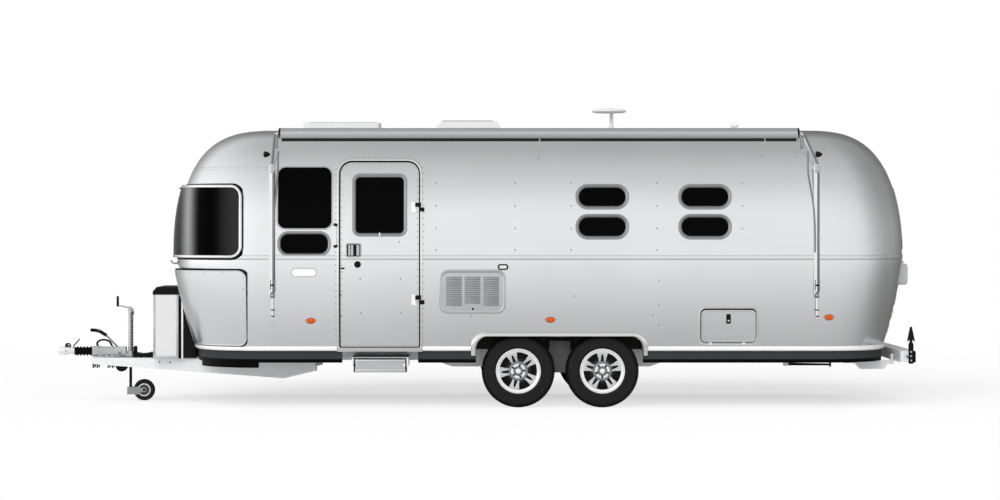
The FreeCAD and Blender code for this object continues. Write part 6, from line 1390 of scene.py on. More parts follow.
def make_rivets():
    for (body, radius), spots in RIVETS.items():
        data = plain_mesh("rivets", [spot for spot, _ in spots])
        toward = data.attributes.new("toward", "FLOAT_VECTOR", "POINT")
        for point, (_, normal) in zip(toward.data, spots):
            point.vector = normal
        name = "rivets_%s_%03d" % (body, round(radius * 10000))
        made = grown(name, data, RIVET_TREE, Radius=radius, Height=radius * 0.62, Spread=0.06, Seed=7,
                     Finish=RIVET_METAL)
        wear(name, made, RIVET_METAL, body, angle=75)
    return sum(map(len, RIVETS.values()))


print("node trees:", RIVET_TREE.name, "and", COPY_TREE.name)
# %% [markdown]
# ## Guards on the nose
#
# A dark screen hinges over the front windows, and two stainless sheets keep stones off the
# lower nose. All wrap round the nose, so their outlines are measured along the skin: one
# function turns a length along the curve and a height into a place.


# %% Wrapping round the nose
def wrap(middle_z, angle_from, angle_to, samples=160):
    """place(along, up, out) between two angles that may change with height, and the full length."""
    def nose_spot(share, z):
        return cap_spot("nose", angle_from(z) + (angle_to(z) - angle_from(z)) * share, z)
    spots = [nose_spot(i / samples, middle_z) for i in range(samples + 1)]
    lengths = [0.0]
    for a, b in zip(spots, spots[1:]):
        lengths.append(lengths[-1] + (b - a).length)

    def place(along, up, out):
        goal = min(max(along + lengths[-1] / 2, 0.0), lengths[-1])
        at = next((i for i in range(samples) if lengths[i + 1] >= goal), samples - 1)
        part_way = (goal - lengths[at]) / (lengths[at + 1] - lengths[at])
        spot = nose_spot((at + part_way) / samples, middle_z + up)
        return spot + facing(spot) * out
    return place, lengths[-1]


def angle_ahead(distance):
    """The angle at which the nose is this far ahead of its seam, as a function of height."""
    return lambda z: math.degrees(math.asin((distance / end_reach("nose", z)) ** (PLAN_POWER / 2)))


def angle_off_middle(distance):
    return lambda z: math.degrees(math.acos((distance / half_width(z)) ** (PLAN_POWER / 2)))


def skin_shaded(thing):
    """Shades a sheet that follows the skin by the body's rule, so that it mirrors evenly."""
    data = thing.data
    slopes = [facing(v.co) for v in data.vertices]
    normals = [Vector()] * len(data.loops)
    for face in data.polygons:
        along = face.normal.dot(slopes[face.vertices[0]])
        for loop in face.loop_indices:
            normals[loop] = slopes[data.loops[loop].vertex_index] if along > 0.93 else face.normal
    data.normals_split_custom_set([tuple(n) for n in normals])


# %% Rock guard
GUARD_LOW, GUARD_HIGH, GUARD_REAR, GUARD_CORNER = 1.445, 2.140, 0.293, 0.110
guard_edge = angle_ahead(GUARD_REAR)
guard_place, guard_length = wrap((GUARD_LOW + GUARD_HIGH) / 2, guard_edge, lambda z: 180 - guard_edge(z))
GUARD = (guard_length, GUARD_HIGH - GUARD_LOW, GUARD_CORNER)
# Base colours of the screen along X: the pale band near each corner is a painted highlight, not a real tint.
SCREEN_PAINTED_HIGHLIGHT_TONES = ((-2.968, "#0A0A0B"), (-2.939, "#38393A"), (-2.909, "#656667"), (-2.880, "#868788"),
                (-2.850, "#959697"), (-2.821, "#7A7B7C"), (-2.791, "#4E4F50"), (-2.762, "#222324"),
                (-2.733, "#020203"), (-2.600, "#010101"), (-2.551, "#0A0A0B"), (-2.493, "#1E1E1F"),
                (-2.435, "#28282A"), (-2.390, "#2D2D2E"))      # along X, in metres


def smoked_screen():
    """Smoked polycarbonate, darkest in the flat, with a paler band round the bend that is a painted
    highlight.
    """
    finish = Finish("smoked_polycarbonate", "#050506", 0.10, Specular_IOR_Level=0.01, IOR=1.58)
    tree, place = finish.tree, finish.place
    along = add(tree, "ShaderNodeSeparateXYZ", {"Vector": place}).outputs["X"]
    low, high = SCREEN_PAINTED_HIGHLIGHT_TONES[0][0], SCREEN_PAINTED_HIGHLIGHT_TONES[-1][0]
    share = add(tree, "ShaderNodeMapRange", {"Value": along, "From Min": low, "From Max": high})
    stops = [((x - low) / (high - low), tone) for x, tone in SCREEN_PAINTED_HIGHLIGHT_TONES]
    finish.set("Base Color", add(tree, "ShaderNodeValToRGB", {"Fac": share}, stops))
    haze = add(tree, "ShaderNodeTexNoise", {"Vector": place, "Scale": 1 / (4 * MM), "Detail": 3})
    finish.set("Roughness", add(tree, "ShaderNodeMapRange", {"Value": haze, "To Min": 0.08, "To Max": 0.13}))
    return finish.material


inset = 0.010
guard = panel(guard_place, GUARD[0] - 2 * inset, GUARD[1] - 2 * inset, GUARD_CORNER - inset, 0.045, 0.040,
              0.001, 26)
guard = piece("rock_guard_screen", guard, smoked_screen(), "rock_guard")
skin_shaded(guard)
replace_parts(guard, "rock_guard")
GUARD_RINGS = (     # name, section, finish, body
    ("edging", "0 36, 0 46, -4 49, -20 49, -24 46, -24 36", BRIGHT_TRIM, "rock_guard"),
    ("gasket", "-2 22, -2 35, -34 35, -34 22", BLACK_RUBBER, "rock_guard"),
    ("seat", "21 0.5, 21 8, -30 8, -30 0.5", BLACK_RUBBER, "caravan"),
)
edging, *_ = [piece("rock_guard_" + name, ring(guard_place, *GUARD, mm(section)), finish, body)
              for name, section, finish, body in GUARD_RINGS]
print("rock guard: %.2f m round the nose" % guard_length)

# %% Guard catches below the screen
for name, side in SIDES:
    foot = on_end("nose", side * 0.34, 1.385)
    out = facing(foot)
    tip = foot + out * 0.075 + Vector((0, 0, 0.035))
    arm = tube(bent([foot - out * 0.01, foot + out * 0.055, tip], 0.02), 0.008)
    disc = turned(foot, out, mm("-4 22, 6 22, 10 14, 10 0"), 20)
    piece("rock_guard_catch_" + name, merge(arm, disc), ZINC_STEEL)

# %% Stone guards
STONE_LOW, STONE_HIGH, STONE_INNER, STONE_REAR = 0.600, 1.325, 0.415, 0.253
STONE_OUT_LOW, STONE_OUT_HIGH, STONE_CORNER = 0.016, 0.046, 0.075
STONE_HEIGHT = STONE_HIGH - STONE_LOW


def make_stone_guard(name, side):
    rear, inner = angle_ahead(STONE_REAR), angle_off_middle(STONE_INNER)
    edges = (rear, inner) if side < 0 else (lambda z: 180 - inner(z), lambda z: 180 - rear(z))
    flat, length = wrap((STONE_LOW + STONE_HIGH) / 2, *edges)

    def place(along, up, out):
        rise = up / STONE_HEIGHT + 0.5
        return flat(along, up, out + STONE_OUT_LOW + (STONE_OUT_HIGH - STONE_OUT_LOW) * rise)
    size = (length, STONE_HEIGHT, STONE_CORNER)
    sheet = piece("stone_guard_" + name, panel(place, *size, 0.0, -0.003, 0.001, 18), STAINLESS)
    skin_shaded(sheet)
    piece("stone_guard_bead_" + name, ring(place, *size, mm("1 -10, 1 3, -3 4, -8 2, -8 -10")), STAINLESS)
    piece("stone_guard_seal_" + name, ring(place, *size, mm("15 -16, 14 -4, 2 -3, -4 -16")), BLACK_RUBBER)
    rows = [(0.022, up) for up in (-0.28, -0.17, -0.05, 0.07, 0.19, 0.30)]
    rows += [(0.2 * k, edge * (STONE_HEIGHT / 2 - 0.02)) for k in (1, 2, 3, 4) for edge in (-1, 1)]
    rivet_all([place(side * (length / 2 - along), up, 0.0) for along, up in rows], radius=0.006)
    return sheet


sheets = [make_stone_guard(name, side) for name, side in SIDES]
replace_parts(sheets[0], "stone_guards")

# %% Guard hinge
low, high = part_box("rock_guard_hinges")
shapes = []     # two slim knuckles along the guard's pivot, each with a leaf screwed to the nose
for y in (low.y, high.y - 0.150):
    shapes += [turned((-2.9992, y, 2.128), "Y", mm("0 5.5, 1 7, 149 7, 150 5.5"), 16),
               block((-2.9980, y + 0.01, 2.1325), (-2.930, y + 0.14, 2.1365), 0.0015, 1)]
hinge = piece("guard_hinge", merge(*shapes), BLACK_ENAMEL)
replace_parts(hinge, "rock_guard_hinges")

# %% [markdown]
# ## Gas locker
#
# A welded aluminium box stands on the drawbar with a black moulded lid. Both already have
# their shape; the box gets corner strips, a base rail, latches and rivets.

# %% Gas locker
LOCKER_FLOOR, BOX_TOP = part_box("gas_locker")[0].z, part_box("gas_locker_lid")[0].z
BOX_FRONT, BOX_REAR, BOX_HALF = -3.250, -3.000, 0.400


def dress_node(node, finish):
    """A new finish for a piece of the frame whose shape is right."""
    NODES[node].data.materials.clear()
    NODES[node].data.materials.append(finish)


dress_node("gas_locker", rolled_sheet("powder_coated_aluminium", "#E4E4E5", 0.36, 0.2, 0.35))
dress_node("gas_locker_lid", BLACK_ABS)
strips, latches = [], []
for _, side in SIDES:
    y = side * BOX_HALF
    for x, inward in ((BOX_FRONT, 1), (BOX_REAR, -1)):
        strips.append(block((x, y - 0.001, LOCKER_FLOOR + 0.004),
                            (x + inward * 0.022, y + side * 0.003, BOX_TOP - 0.002), 0.001))
        spots = [Vector((x + inward * 0.011, y + side * 0.003, LOCKER_FLOOR + 0.06 + 0.085 * i))
                 for i in range(7)]
        rivet_all(spots, radius=0.004, toward=Vector((0, side, 0)))
    strips.append(block((BOX_FRONT, y, LOCKER_FLOOR),
                        (BOX_REAR, y + side * 0.006, LOCKER_FLOOR + 0.028), 0.0015))
    for front, rear, half, low, high in mm("-8 1 18 75 20, -13 -6 12 60 30"):
        latches.append(block((BOX_FRONT + front, side * 0.22 - half, BOX_TOP - low),
                             (BOX_FRONT + rear, side * 0.22 + half, BOX_TOP - high)))
piece("gas_locker_strips", merge(*strips), ANODISED)
piece("gas_locker_latches", merge(*latches), ZINC_STEEL)
# A black panel between the locker and the nose is painted shade: it darkens the gap where only shade would
# be.
cover_line = [(BOX_REAR + 0.048, 0.93)]
cover_line += [(FRONT_SEAM - end_reach("nose", z) - 0.002, z) for z in (0.85, 0.75, 0.65, 0.56)]
cover_line += [(cover_line[-1][0], 0.445), (BOX_REAR + 0.048, 0.445)]
cover = loft([[Vector((x, y, z)) for x, z in cover_line] for y in (-0.385, 0.385)])
cover = piece("gas_locker_painted_shade_panel", cover, BLACK_ABS)
back = block((BOX_REAR, -BOX_HALF + 0.004, LOCKER_FLOOR + 0.004),
             (BOX_REAR + 0.028, BOX_HALF - 0.004, BOX_TOP - 0.01), 0.003)
back = piece("gas_locker_back_strip", back, BLACK_RUBBER)
piece("gas_locker_back_post", block((BOX_REAR + 0.028, -BOX_HALF + 0.008, LOCKER_FLOOR + 0.004),
                                    (BOX_REAR + 0.046, BOX_HALF - 0.008, 1.10), 0.003), SATIN_RAIL)
for thing in (cover, back, NODES["gas_locker"], NODES["gas_locker_lid"]):
    thing.visible_glossy = False

# %% [markdown]
# ## Awning
#
# The awning rolls up in a round aluminium case under the roof edge. An arm folds flat against
# the body at each end: a channel with a sliding tube, a knuckle at the top and a foot. The
# case is one section drawn out; its cloth shows as a black line below.

# %% Awning case
ROLL_Y, ROLL_Z = -1.170, 2.645
ROLL_FROM, ROLL_TO = FRONT_SEAM + 0.060, FRONT_SEAM + 0.060 + 4.993
CASE_RADIUS = 0.050
AWNING_CLOTH = moulded("black_acrylic_awning_cloth", "#101011", 0.80, 0.9)
CASE_PAINT = worn_metal("satin_anodised_case", "#CFD0D1", 0.36, tone=3)
ROLL_ENDS = ((ROLL_FROM, -1), (ROLL_TO, 1))


def unmirrored(name, shape, finish):
    """A piece that the polished skin doesn't mirror, because it would darken the whole side."""
    thing = piece(name, shape, finish)
    thing.visible_glossy = False
    return thing


def drawn_out(section, inset=0.0):
    """A closed (y, z) section about the roller's axis, drawn out along the awning."""
    return loft([[Vector((x, ROLL_Y + y, ROLL_Z + z)) for y, z in section]
                 for x in (ROLL_FROM + inset, ROLL_TO - inset)])


def make_awning_case():
    outer = [(CASE_RADIUS * math.cos(a), CASE_RADIUS * math.sin(a))
             for a in map(math.radians, range(-55, 236, 10))]
    inner = [(y * 0.94, z * 0.94) for y, z in reversed(outer)]
    case = unmirrored("awning_case", drawn_out(outer + inner), CASE_PAINT)
    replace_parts(case, "awning_roller")
    unmirrored("awning_cloth_roll", drawn_out(circle(0.043, 28), 0.006), AWNING_CLOTH)
    rail = mm("-38 -46, -46 -38, -49 -20, -44 -19, -36 -34, -20 -44, -18 -49")
    unmirrored("awning_lead_rail", drawn_out(rail, 0.004), CASE_PAINT)
    unmirrored("awning_valance", drawn_out(mm("-34 -78, -30 -79, -22 -46, -26 -45"), 0.02), AWNING_CLOTH)
    cap = mm("-12 40, -10 51, 4 51, 10 44, 12 30, 12 14, 22 14, 24 10, 24 0")
    caps = [turned((x, ROLL_Y, ROLL_Z), (way, 0, 0), cap, 28) for x, way in ROLL_ENDS]
    unmirrored("awning_end_caps", merge(*caps), BLACK_ABS)
    straps = []
    for x in (ROLL_FROM + 0.35, 0.45, 2.62):
        line = ((-1.02, on_roof(x, -1.02).z + 0.002), (-1.10, ROLL_Z + 0.036),
                (ROLL_Y + 0.03, ROLL_Z + 0.044))
        straps.append(loft([[Vector((x + dx, y, z + dz)) for dx, dz in mm("-30 0, 30 0, 30 5, -30 5")]
                            for y, z in line]))
    unmirrored("awning_brackets", merge(*straps), CASE_PAINT)


make_awning_case()

# %% Awning arms
ARM_Y, ARM_FACE = -HALF - 0.015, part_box("awning_arms")[0].y
FRONT_ARM_X, REAR_ARM_X = ROLL_FROM - 0.064, ROLL_TO + 0.170
DARK_ANODISED = worn_metal("grey_anodised_aluminium", "#8C8E90", 0.32)
dress_node("awning_arms", BRIGHT_TRIM)
# Piece, its face, and for each bar in mm: x from the arm, low and high; y from the face, low and
# high; z, low and high; and the rounding of its edges.
# The thin black strips on each arm's face are painted shade in its grooves.
ARM_BARS = (
    ("channels", ARM_Y, "-13 13 4 12 1095 2330 2, -19 19 -15 12 1060 1120 4, -24 -14 -16 10 1135 1235 4,"
                        "14 26 -16 10 1135 1235 4"),
    ("channels", ARM_FACE, "4.5 20 -1.5 10 1120 2290 2"),
    ("groove_shades", ARM_FACE, "0.5 4.5 -1.2 6 1100 2270 0.4, 19.5 22.5 1 12 1120 2290 0.4"),
    ("clamps", ARM_Y, "-21 21 -14 12 2260 2335 4"), ("knobs", ARM_Y, "-20 20 -17 8 1175 1192 4"),
)


def make_arm_fittings():
    shapes = {"channels": [], "groove_shades": [], "clamps": [], "knobs": []}
    for x in (FRONT_ARM_X, REAR_ARM_X):
        for name, face, rows in ARM_BARS:
            steps = 1 if name == "groove_shades" else 2
            shapes[name] += [block((x + x0, face + y0, z0), (x + x1, face + y1, z1), rounding, steps)
                             for x0, x1, y0, y1, z0, z1, rounding in mm(rows)]
        shapes["clamps"] += [turned((x, ARM_Y - 0.012, z), (0, -1, 0), mm("0 11, 6 11, 8 8, 8 0"), 16)
                             for z in (1.085, 1.62, 2.285)]
        shapes["knobs"] += [block((x - 0.013, ARM_Y - 0.013, z - 0.006),
                                  (x + 0.017, 0.002 - half_width(1.0), z + 0.006), 0.003)
                            for z in (0.885, 0.945)]
    for (name, parts), finish in zip(shapes.items(), (DARK_ANODISED, BLACK_RUBBER, ZINC_STEEL, BLACK_ABS)):
        piece("awning_arm_" + name, merge(*parts), finish)
    braces, heads = [], []
    for x, reach in ((FRONT_ARM_X, 0.60), (REAR_ARM_X, -1.0)):
        bow = [Vector((x + reach * aside, min(on_side(REAR_SEAM - 0.1, z).y - 0.024, ARM_Y + 0.004), z))
               for aside, z in mm("90 2470, 88 2360, 85 2250, 40 1980, 24 1760, 21 1500")]
        braces.append(tube(smooth_path(bow), 0.0095, 10))
    for head_x, x in ((ROLL_FROM - 0.046, FRONT_ARM_X - 0.004), (ROLL_TO + 0.050, REAR_ARM_X + 0.004)):
        braces.append(tube([(head_x, ROLL_Y - 0.036, ROLL_Z - 0.012), (x, ARM_FACE + 0.004, 2.345)], 0.0125))
    unmirrored("awning_arm_braces", merge(*braces), DARK_ANODISED)
    for x in (ROLL_FROM - 0.030, ROLL_TO + 0.032):
        heads += [block((x - 0.012, ROLL_Y - 0.052, ROLL_Z - 0.150),
                        (x + 0.012, ROLL_Y + 0.020, ROLL_Z - 0.030), 0.006),
                  turned((x - 0.016, ROLL_Y - 0.02, ROLL_Z - 0.05), "X", mm("0 26, 3 30, 29 30, 32 26"), 24),
                  turned((x, ROLL_Y - 0.050, ROLL_Z - 0.125), (0, -1, 0), mm("0 12, 8 12, 10 8, 10 0"), 16)]
    unmirrored("awning_arm_heads", merge(*heads), PRESSED_STEEL)


make_arm_fittings()
hooks = []
for x, drop in mm("555 100, 2720 55"):
    line = [(x + dx, ROLL_Y - 0.040 + dy, ROLL_Z - 0.050 + dz) for dx, dy, dz in (
        (0, 0, 0), (0.002, -0.012, -drop * 0.5), (-0.012, -0.012, -drop), (-0.022, -0.010, -drop + 0.018))]
    hooks.append(tube(smooth_path(line), 0.005, 10))
piece("awning_pull_hooks", merge(*hooks), ZINC_STEEL)
print("awning: case %.2f m long" % (ROLL_TO - ROLL_FROM))

# %% [markdown]
# ## Roof
#
# Skylight, roof vent, aerial and a small cowl stand on the roof. The skylight is a pale
# moulded frame with a thin clear-edged lid; the vent has dark slats under its lid.

# %% Roof fittings
for node, finish in (("skylight", FIBREGLASS), ("roof_vent_base", FIBREGLASS), ("roof_vent_lid", WHITE_ABS)):
    dress_node(node, finish)
MILKY = moulded("opal_acrylic_dome", "#DCDEDF", 0.16, tone=2, coat=0.3)
SKY_LOW, SKY_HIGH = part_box("skylight")
sky_x, sky_size = (SKY_LOW.x + SKY_HIGH.x) / 2, SKY_HIGH - SKY_LOW


def flat_spot(across, up, out):
    return Vector((sky_x + across, up, SKY_HIGH.z + out))


def crowned(across, up, out):
    """The skylight's lid: lowest at its rim, a little higher in the middle."""
    fall = max(abs(across) / (sky_size.x / 2), abs(up) / (sky_size.y / 2))
    return flat_spot(across, up, out - 0.010 * fall ** 3)


dome_part = panel(crowned, sky_size.x - 0.09, sky_size.y - 0.09, 0.05, 0.012, -0.004, 0.004)
piece("skylight_dome", dome_part, MILKY)
lip = ring(flat_spot, sky_size.x - 0.075, sky_size.y - 0.075, 0.05, mm("0 0, 0 6, -8 8, -16 0"))
piece("skylight_lip", lip, ANODISED)
low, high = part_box("roof_vent_lid")
middle, size = (low + high) / 2, high - low
slats = [block((middle.x - size.x * 0.40, y - 0.008, high.z - 0.002),
               (middle.x + size.x * 0.38, y + 0.008, high.z + 0.008), 0.003)
         for y in ((i - 4) * size.y * 0.085 for i in range(9))]
piece("roof_vent_slats", merge(*slats), BLACK_ABS, "roof_vent_lid")
DISH_X, DISH_BOTTOM, COWL_X = REAR_SEAM - 1.916, 2.885, REAR_SEAM - 0.659
dish = turned((DISH_X, 0, DISH_BOTTOM), "Z",
              mm("0 20, 2 143, 8 165, 18 173, 28 169, 38 138, 44 86.5, 46 0"), 48)
stalk = turned((DISH_X + 0.024, 0, ROOF - 0.006), "Z", [
    *mm("0 35, 40 30, 70 20"), (DISH_BOTTOM - ROOF + 0.008, 0.018)], 24)


def foot_spot(across, up, out):
    return Vector((DISH_X + 0.05 + across, up, on_roof(0, up).z + out * (1 - (abs(across) / 0.30) ** 3)))


foot = panel(foot_spot, 0.54, 0.11, 0.05, 0.034, -0.002, 0.010)
aerial = piece("roof_aerial", merge(dish, stalk, foot), WHITE_ABS)
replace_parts(aerial, "roof_aerial_and_cowl")
COWL = mm("0 75, 6 72, 10 30, 40 26, 52 30, 58 45, 66 45, 80 34, 88 12, 88 0")
piece("roof_cowl", turned((COWL_X, 0, ROOF - 0.004), "Z", COWL), WHITE_ABS)
# %% [markdown]
# ## Wheels
#
# A tyre is a turned section with raised tread blocks; the rim is a turned barrel with five
# split spokes, each a wide plate with a wedge-shaped slot. One spoke is drawn in the wheel's
# own plane and copied round the axle.

# %% Tyres
WHEEL_Y = 1.053
TYRE_RUBBER = moulded("tyre_rubber", "#151516", 0.46, 2.4, specular=0.2)
TREAD_RUBBER = moulded("tread_rubber", "#0B0B0C", 0.72, 3.0, specular=0.1)
CAST_IRON = worn_metal("cast_iron_brake_drum", "#4A4B4D", 0.55)
# The hub and the cap's collar are coloured darker than the rest of the wheel, as painted shade round its
# middle.
HUB_ALLOY_PAINTED_SHADE = worn_metal("cast_alloy_painted_shade", "#8B8D8F", 0.34, metallic=0.7)
# Sections are distances along the axle, outwards from the wheel's middle, and radii.
TYRE_SIDE = mm("86 218.5, 98.5 219, 102 226, 103.5 230, 105 242, 106.2 243, 106.4 246, 105.6 247.5, "
               "107.4 270, 107.5 290, 106 308, 106.6 309.5, 106.2 312.5, 104.8 314, 99 329, 90 340, 76 345")
TYRE_SECTION = TYRE_SIDE + [(-d, r) for d, r in reversed(TYRE_SIDE)]
TREAD_COUNT = 76


def tread_bar():
    """One row of blocks across the tread, with one on each shoulder."""
    blocks = []
    for i, (low, high) in enumerate(mm("-84 -56, -48 -17, -9 9, 17 48, 56 84")):
        lean, top = 0.0012 * (i - 2), 0.3526 if 0 < i < 4 else 0.3502
        blocks.append(block((lean - 0.0122, low, 0.340), (lean + 0.0122, high, top), 0.0012, 1))
    blocks += [block((-0.0105, low, 0.322), (0.0105, high, 0.3435), 0.0025, 1)
               for low, high in mm("-100.5 -80, 80 100.5")]
    return merge(*blocks)


# %% Rims
RIM_SECTION = mm("92.5 216.8, 97.5 216, 99 210, 95.5 205, 88 202, 86 190, 83.5 183, 80 180, 64 179, "
                 "56 190, 42 203, -85 203, -93 210, -93 216.8, -80 217.8, 80 217.8")
SPOKE = mm("-34 82, -37 120, -44 155, -58 183, 58 183, 44 155, 37 120, 34 82, 16 84, 17.5 112, 10 150, "
           "0 176, -10 150, -17.5 112, -16 84")
FIFTH = 2 * math.pi / 5
BOLT = mm("66 12.5, 71.5 12.5, 73 10.5, 86 9.5, 89 6, 89 0")
WHEEL_PARTS = (     # piece, how it is made, section, steps, finish
    ("rim_", hoop, RIM_SECTION, 96, MACHINED_ALLOY),
    ("hub_", turned, mm("40 60, 46 90, 66 95.5, 74.5 92, 76.5 86, 76 78, 70 73, 69.5 46, 76 42, 78 40.5, "
                        "78 0"), 60, HUB_ALLOY_PAINTED_SHADE),
    ("hub_face_", hoop, mm("69 47.5, 71.2 47.5, 71.2 71.5, 69 71.5"), 48, MACHINED_ALLOY),
    ("cap_collar_", turned, mm("74 38.5, 90 38.5, 95.5 34, 96 26.5, 93 25.5, 93 0"), 40, HUB_ALLOY_PAINTED_SHADE),
    ("cap_", turned, mm("92.5 24.5, 98 24, 100 20, 100.5 12, 100.5 0"), 40, MACHINED_ALLOY),
    ("brake_shield_", hoop, mm("20 126, 28 126, 28 202.2, 20 202.2"), 72, BLACK_ENAMEL),
    ("brake_drum_", turned, mm("-52 22, -50 118, -44 128, -2 130, 6 124, 10 75, 41 70, 42 20"),
     48, CAST_IRON),
)


def spoke_shape(side, spin):
    """One split spoke about the origin, facing outwards, with softened front edges."""
    mesh = bmesh.new()
    front, rear = ([mesh.verts.new(spin @ Vector((across, side * (0.071 + 0.12 * (up - 0.082) - back), up)))
                    for across, up in SPOKE] for back in (0, 0.026))
    mesh.faces.new(front)
    mesh.faces.new(rear[::-1])
    for i in range(len(SPOKE)):
        mesh.faces.new((front[i - 1], rear[i - 1], rear[i], front[i]))
    edges = [e for e in mesh.edges if all(v in front for v in e.verts)]
    bmesh.ops.bevel(mesh, geom=edges, offset=0.0035, segments=2, profile=0.5, affect="EDGES")
    return plain(mesh)


def make_wheel(end, x, turn, name, side):
    body = "wheel_%s_%s" % (end, name)
    centre, out = Vector((x, side * WHEEL_Y, WHEEL_RADIUS)), (0, side, 0)
    spin, half_way = (Matrix.Rotation(angle, 3, "Y") for angle in (turn, turn + FIFTH / 2))
    tyre = piece("tyre_" + body, hoop(centre, out, TYRE_SECTION, 96), TYRE_RUBBER, body)
    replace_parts(tyre, "tyre_%s_%s" % (end, name))
    copies("tread_" + body, tread_bar(), TREAD_COUNT, TREAD_RUBBER, body, 2 * math.pi / TREAD_COUNT,
           centre=centre)
    rim, *_ = [piece(label + body, make(centre, out, section, steps), finish, body)
               for label, make, section, steps, finish in WHEEL_PARTS]
    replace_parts(rim, "rim_%s_%s" % (end, name))
    copies("spokes_" + body, spoke_shape(side, spin), 5, CAST_ALLOY, body, FIFTH, centre=centre)
    bolt = turned(half_way @ Vector((0, 0, 0.0585)), out, BOLT, 6)
    copies("bolts_" + body, bolt, 5, BLACK_ENAMEL, body, FIFTH, centre=centre)
    valve = centre + half_way @ Vector((0, 0, 0.188))
    stem = tube([valve + Vector((0, side * along, 0)) for along in (0.048, 0.082)], 0.004, 10)
    piece("valve_" + body, stem, BLACK_RUBBER, body)


for end, x, turn in (("front", AXLE_X[0], math.radians(194)), ("rear", AXLE_X[1], 0.0)):
    for name, side in SIDES:
        make_wheel(end, x, turn, name, side)
print("wheels: four, radius %.0f mm" % (WHEEL_RADIUS / MM))

# %% [markdown]
# ## Underneath
#
# The skirt is a dark grey moulding, painted near black below its lip line as the shade under it. Chassis and
# axles are galvanised steel and the corner steadies are black; all keep their shape.


# %% Skirt, chassis, axles and steadies
def painted_shade_below(name, upper, lower, height, roughness):
    """A moulding whose colour turns near black below a height, as painted shade."""
    finish = Finish(name, upper, roughness, Specular_IOR_Level=0.05)
    tree, place = finish.tree, finish.place
    up = add(tree, "ShaderNodeSeparateXYZ", {"Vector": place}).outputs["Z"]
    share = add(tree, "ShaderNodeMapRange", {
        "Value": up, "From Min": height - 0.004, "From Max": height + 0.004})
    finish.set("Base Color", add(tree, "ShaderNodeValToRGB", {"Fac": share}, ((0, lower), (1, upper))))
    clouds = add(tree, "ShaderNodeTexNoise", {"Vector": place, "Scale": 1 / (3 * MM), "Detail": 4})
    finish.set("Roughness", add(tree, "ShaderNodeMapRange", {
        "Value": clouds, "To Min": roughness - 0.06, "To Max": roughness + 0.08}))
    grain = add(tree, "ShaderNodeTexNoise", {"Vector": place, "Scale": 1 / (1.5 * MM), "Detail": 4})
    finish.set("Normal", add(tree, "ShaderNodeBump", {"Height": grain, "Distance": 0.05 * MM}))
    return finish.material


# The skirt's near-black lower band is painted shade under its turned-under lip.
dress_node("underbody_skirt", painted_shade_below("grey_skirt_painted_shade_below", "#38393A", "#040405", 0.470, 0.46))
dress_node("floor_pan", moulded("sealed_plywood_floor", "#23221F", 0.75))
for node in ("chassis_frame", "axles", "drawbar", "step_frame", "hatch_hinges", "rear_bumper"):
    dress_node(node, GALVANISED)
for end in ("front", "rear"):
    for name, _ in SIDES:
        dress_node("steady_%s_%s" % (end, name), BLACK_ENAMEL)
BEAM_LOW, BEAM_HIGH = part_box("drawbar")
print("drawbar: %.2f m long" % (BEAM_HIGH.x - BEAM_LOW.x))

# %% Wheel box between the wheels
GREY_LINER = moulded("grey_wheel_box_liner", "#5C5D5E", 0.60)
for name, side in SIDES:
    flap = block((0.655, side * 0.952, 0.330), (0.860, side * 0.968, 0.640), 0.004)
    piece("wheel_box_flap_" + name, flap, GREY_LINER)

# %% Entry step
dress_node("step_tread", ANODISED)
STEP_SILVER = worn_metal("pressed_aluminium_tread", "#DCDDDE", 0.26)


def make_step():
    low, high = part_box("step_tread")
    front, depth = low.y, high.y - low.y
    tray = block((low.x + 0.012, front - 0.0005, high.z - 0.028),
                 (high.x - 0.012, front + 0.012, high.z - 0.001))
    lip = block((low.x + 0.008, front - 0.001, low.z), (high.x - 0.008, front + 0.014, low.z + 0.030), 0.004)
    piece("step_tray", merge(tray, lip), STEP_SILVER, "step_tread")
    cheeks = [block((x, front - 0.001, low.z), (x + 0.014, high.y, high.z)) for x in (low.x, high.x - 0.014)]
    piece("step_cheeks", merge(*cheeks), BLACK_ENAMEL, "step_tread")
    grip = block((low.x + 0.03, -0.006, -0.0012), (high.x - 0.03, 0.006, 0.0012), 0.001, 1)
    copies("step_grip", grip, 9, BLACK_RUBBER, "step_tread", step=(0, depth / 10, 0),
           centre=(0, front + depth / 10, high.z))
    print("step: %.0f mm wide" % ((high.x - low.x) / MM))


make_step()
# %% [markdown]
# ## Drawbar, coupling and jockey wheel
#
# At the tip sit a cast ball coupling, a ribbed rubber bellows and the overrun brake's housing,
# with the handbrake lever and a sheathed lifting handle. The jockey wheel stands behind: a mast
# with a crank, an inner tube, a swivelling fork and a small wheel.

# %% Ball coupling and bellows
HEAD_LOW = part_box("coupling_head")[0]
HOUSE_LOW, HOUSE_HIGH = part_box("overrun_housing")
CAST_STEEL = worn_metal("zinc_plated_casting", "#C4C5C6", 0.36, spread=0.10, tone=14, metallic=0.75)
HEAD_CASTING = worn_metal("zinc_plated_coupling_head", "#E6E7E8", 0.34, tone=6, metallic=0.4)
RIB_RUBBER = black("ribbed_bellows_rubber", "#0A0A0B", 0.55)
SOCKET_X = -4.190


def rounded_bar(stations, steps=10):
    """A bar along X from (x, middle z, half width, half height, corner) stations."""
    rings = []
    for x, z, half_w, half_h, corner in stations:
        outline = round_outline(2 * half_w, 2 * half_h, min(corner, half_w * 0.98, half_h * 0.98), steps)
        rings.append([Vector((x, across, z + up)) for across, up in outline])
    return loft(rings)


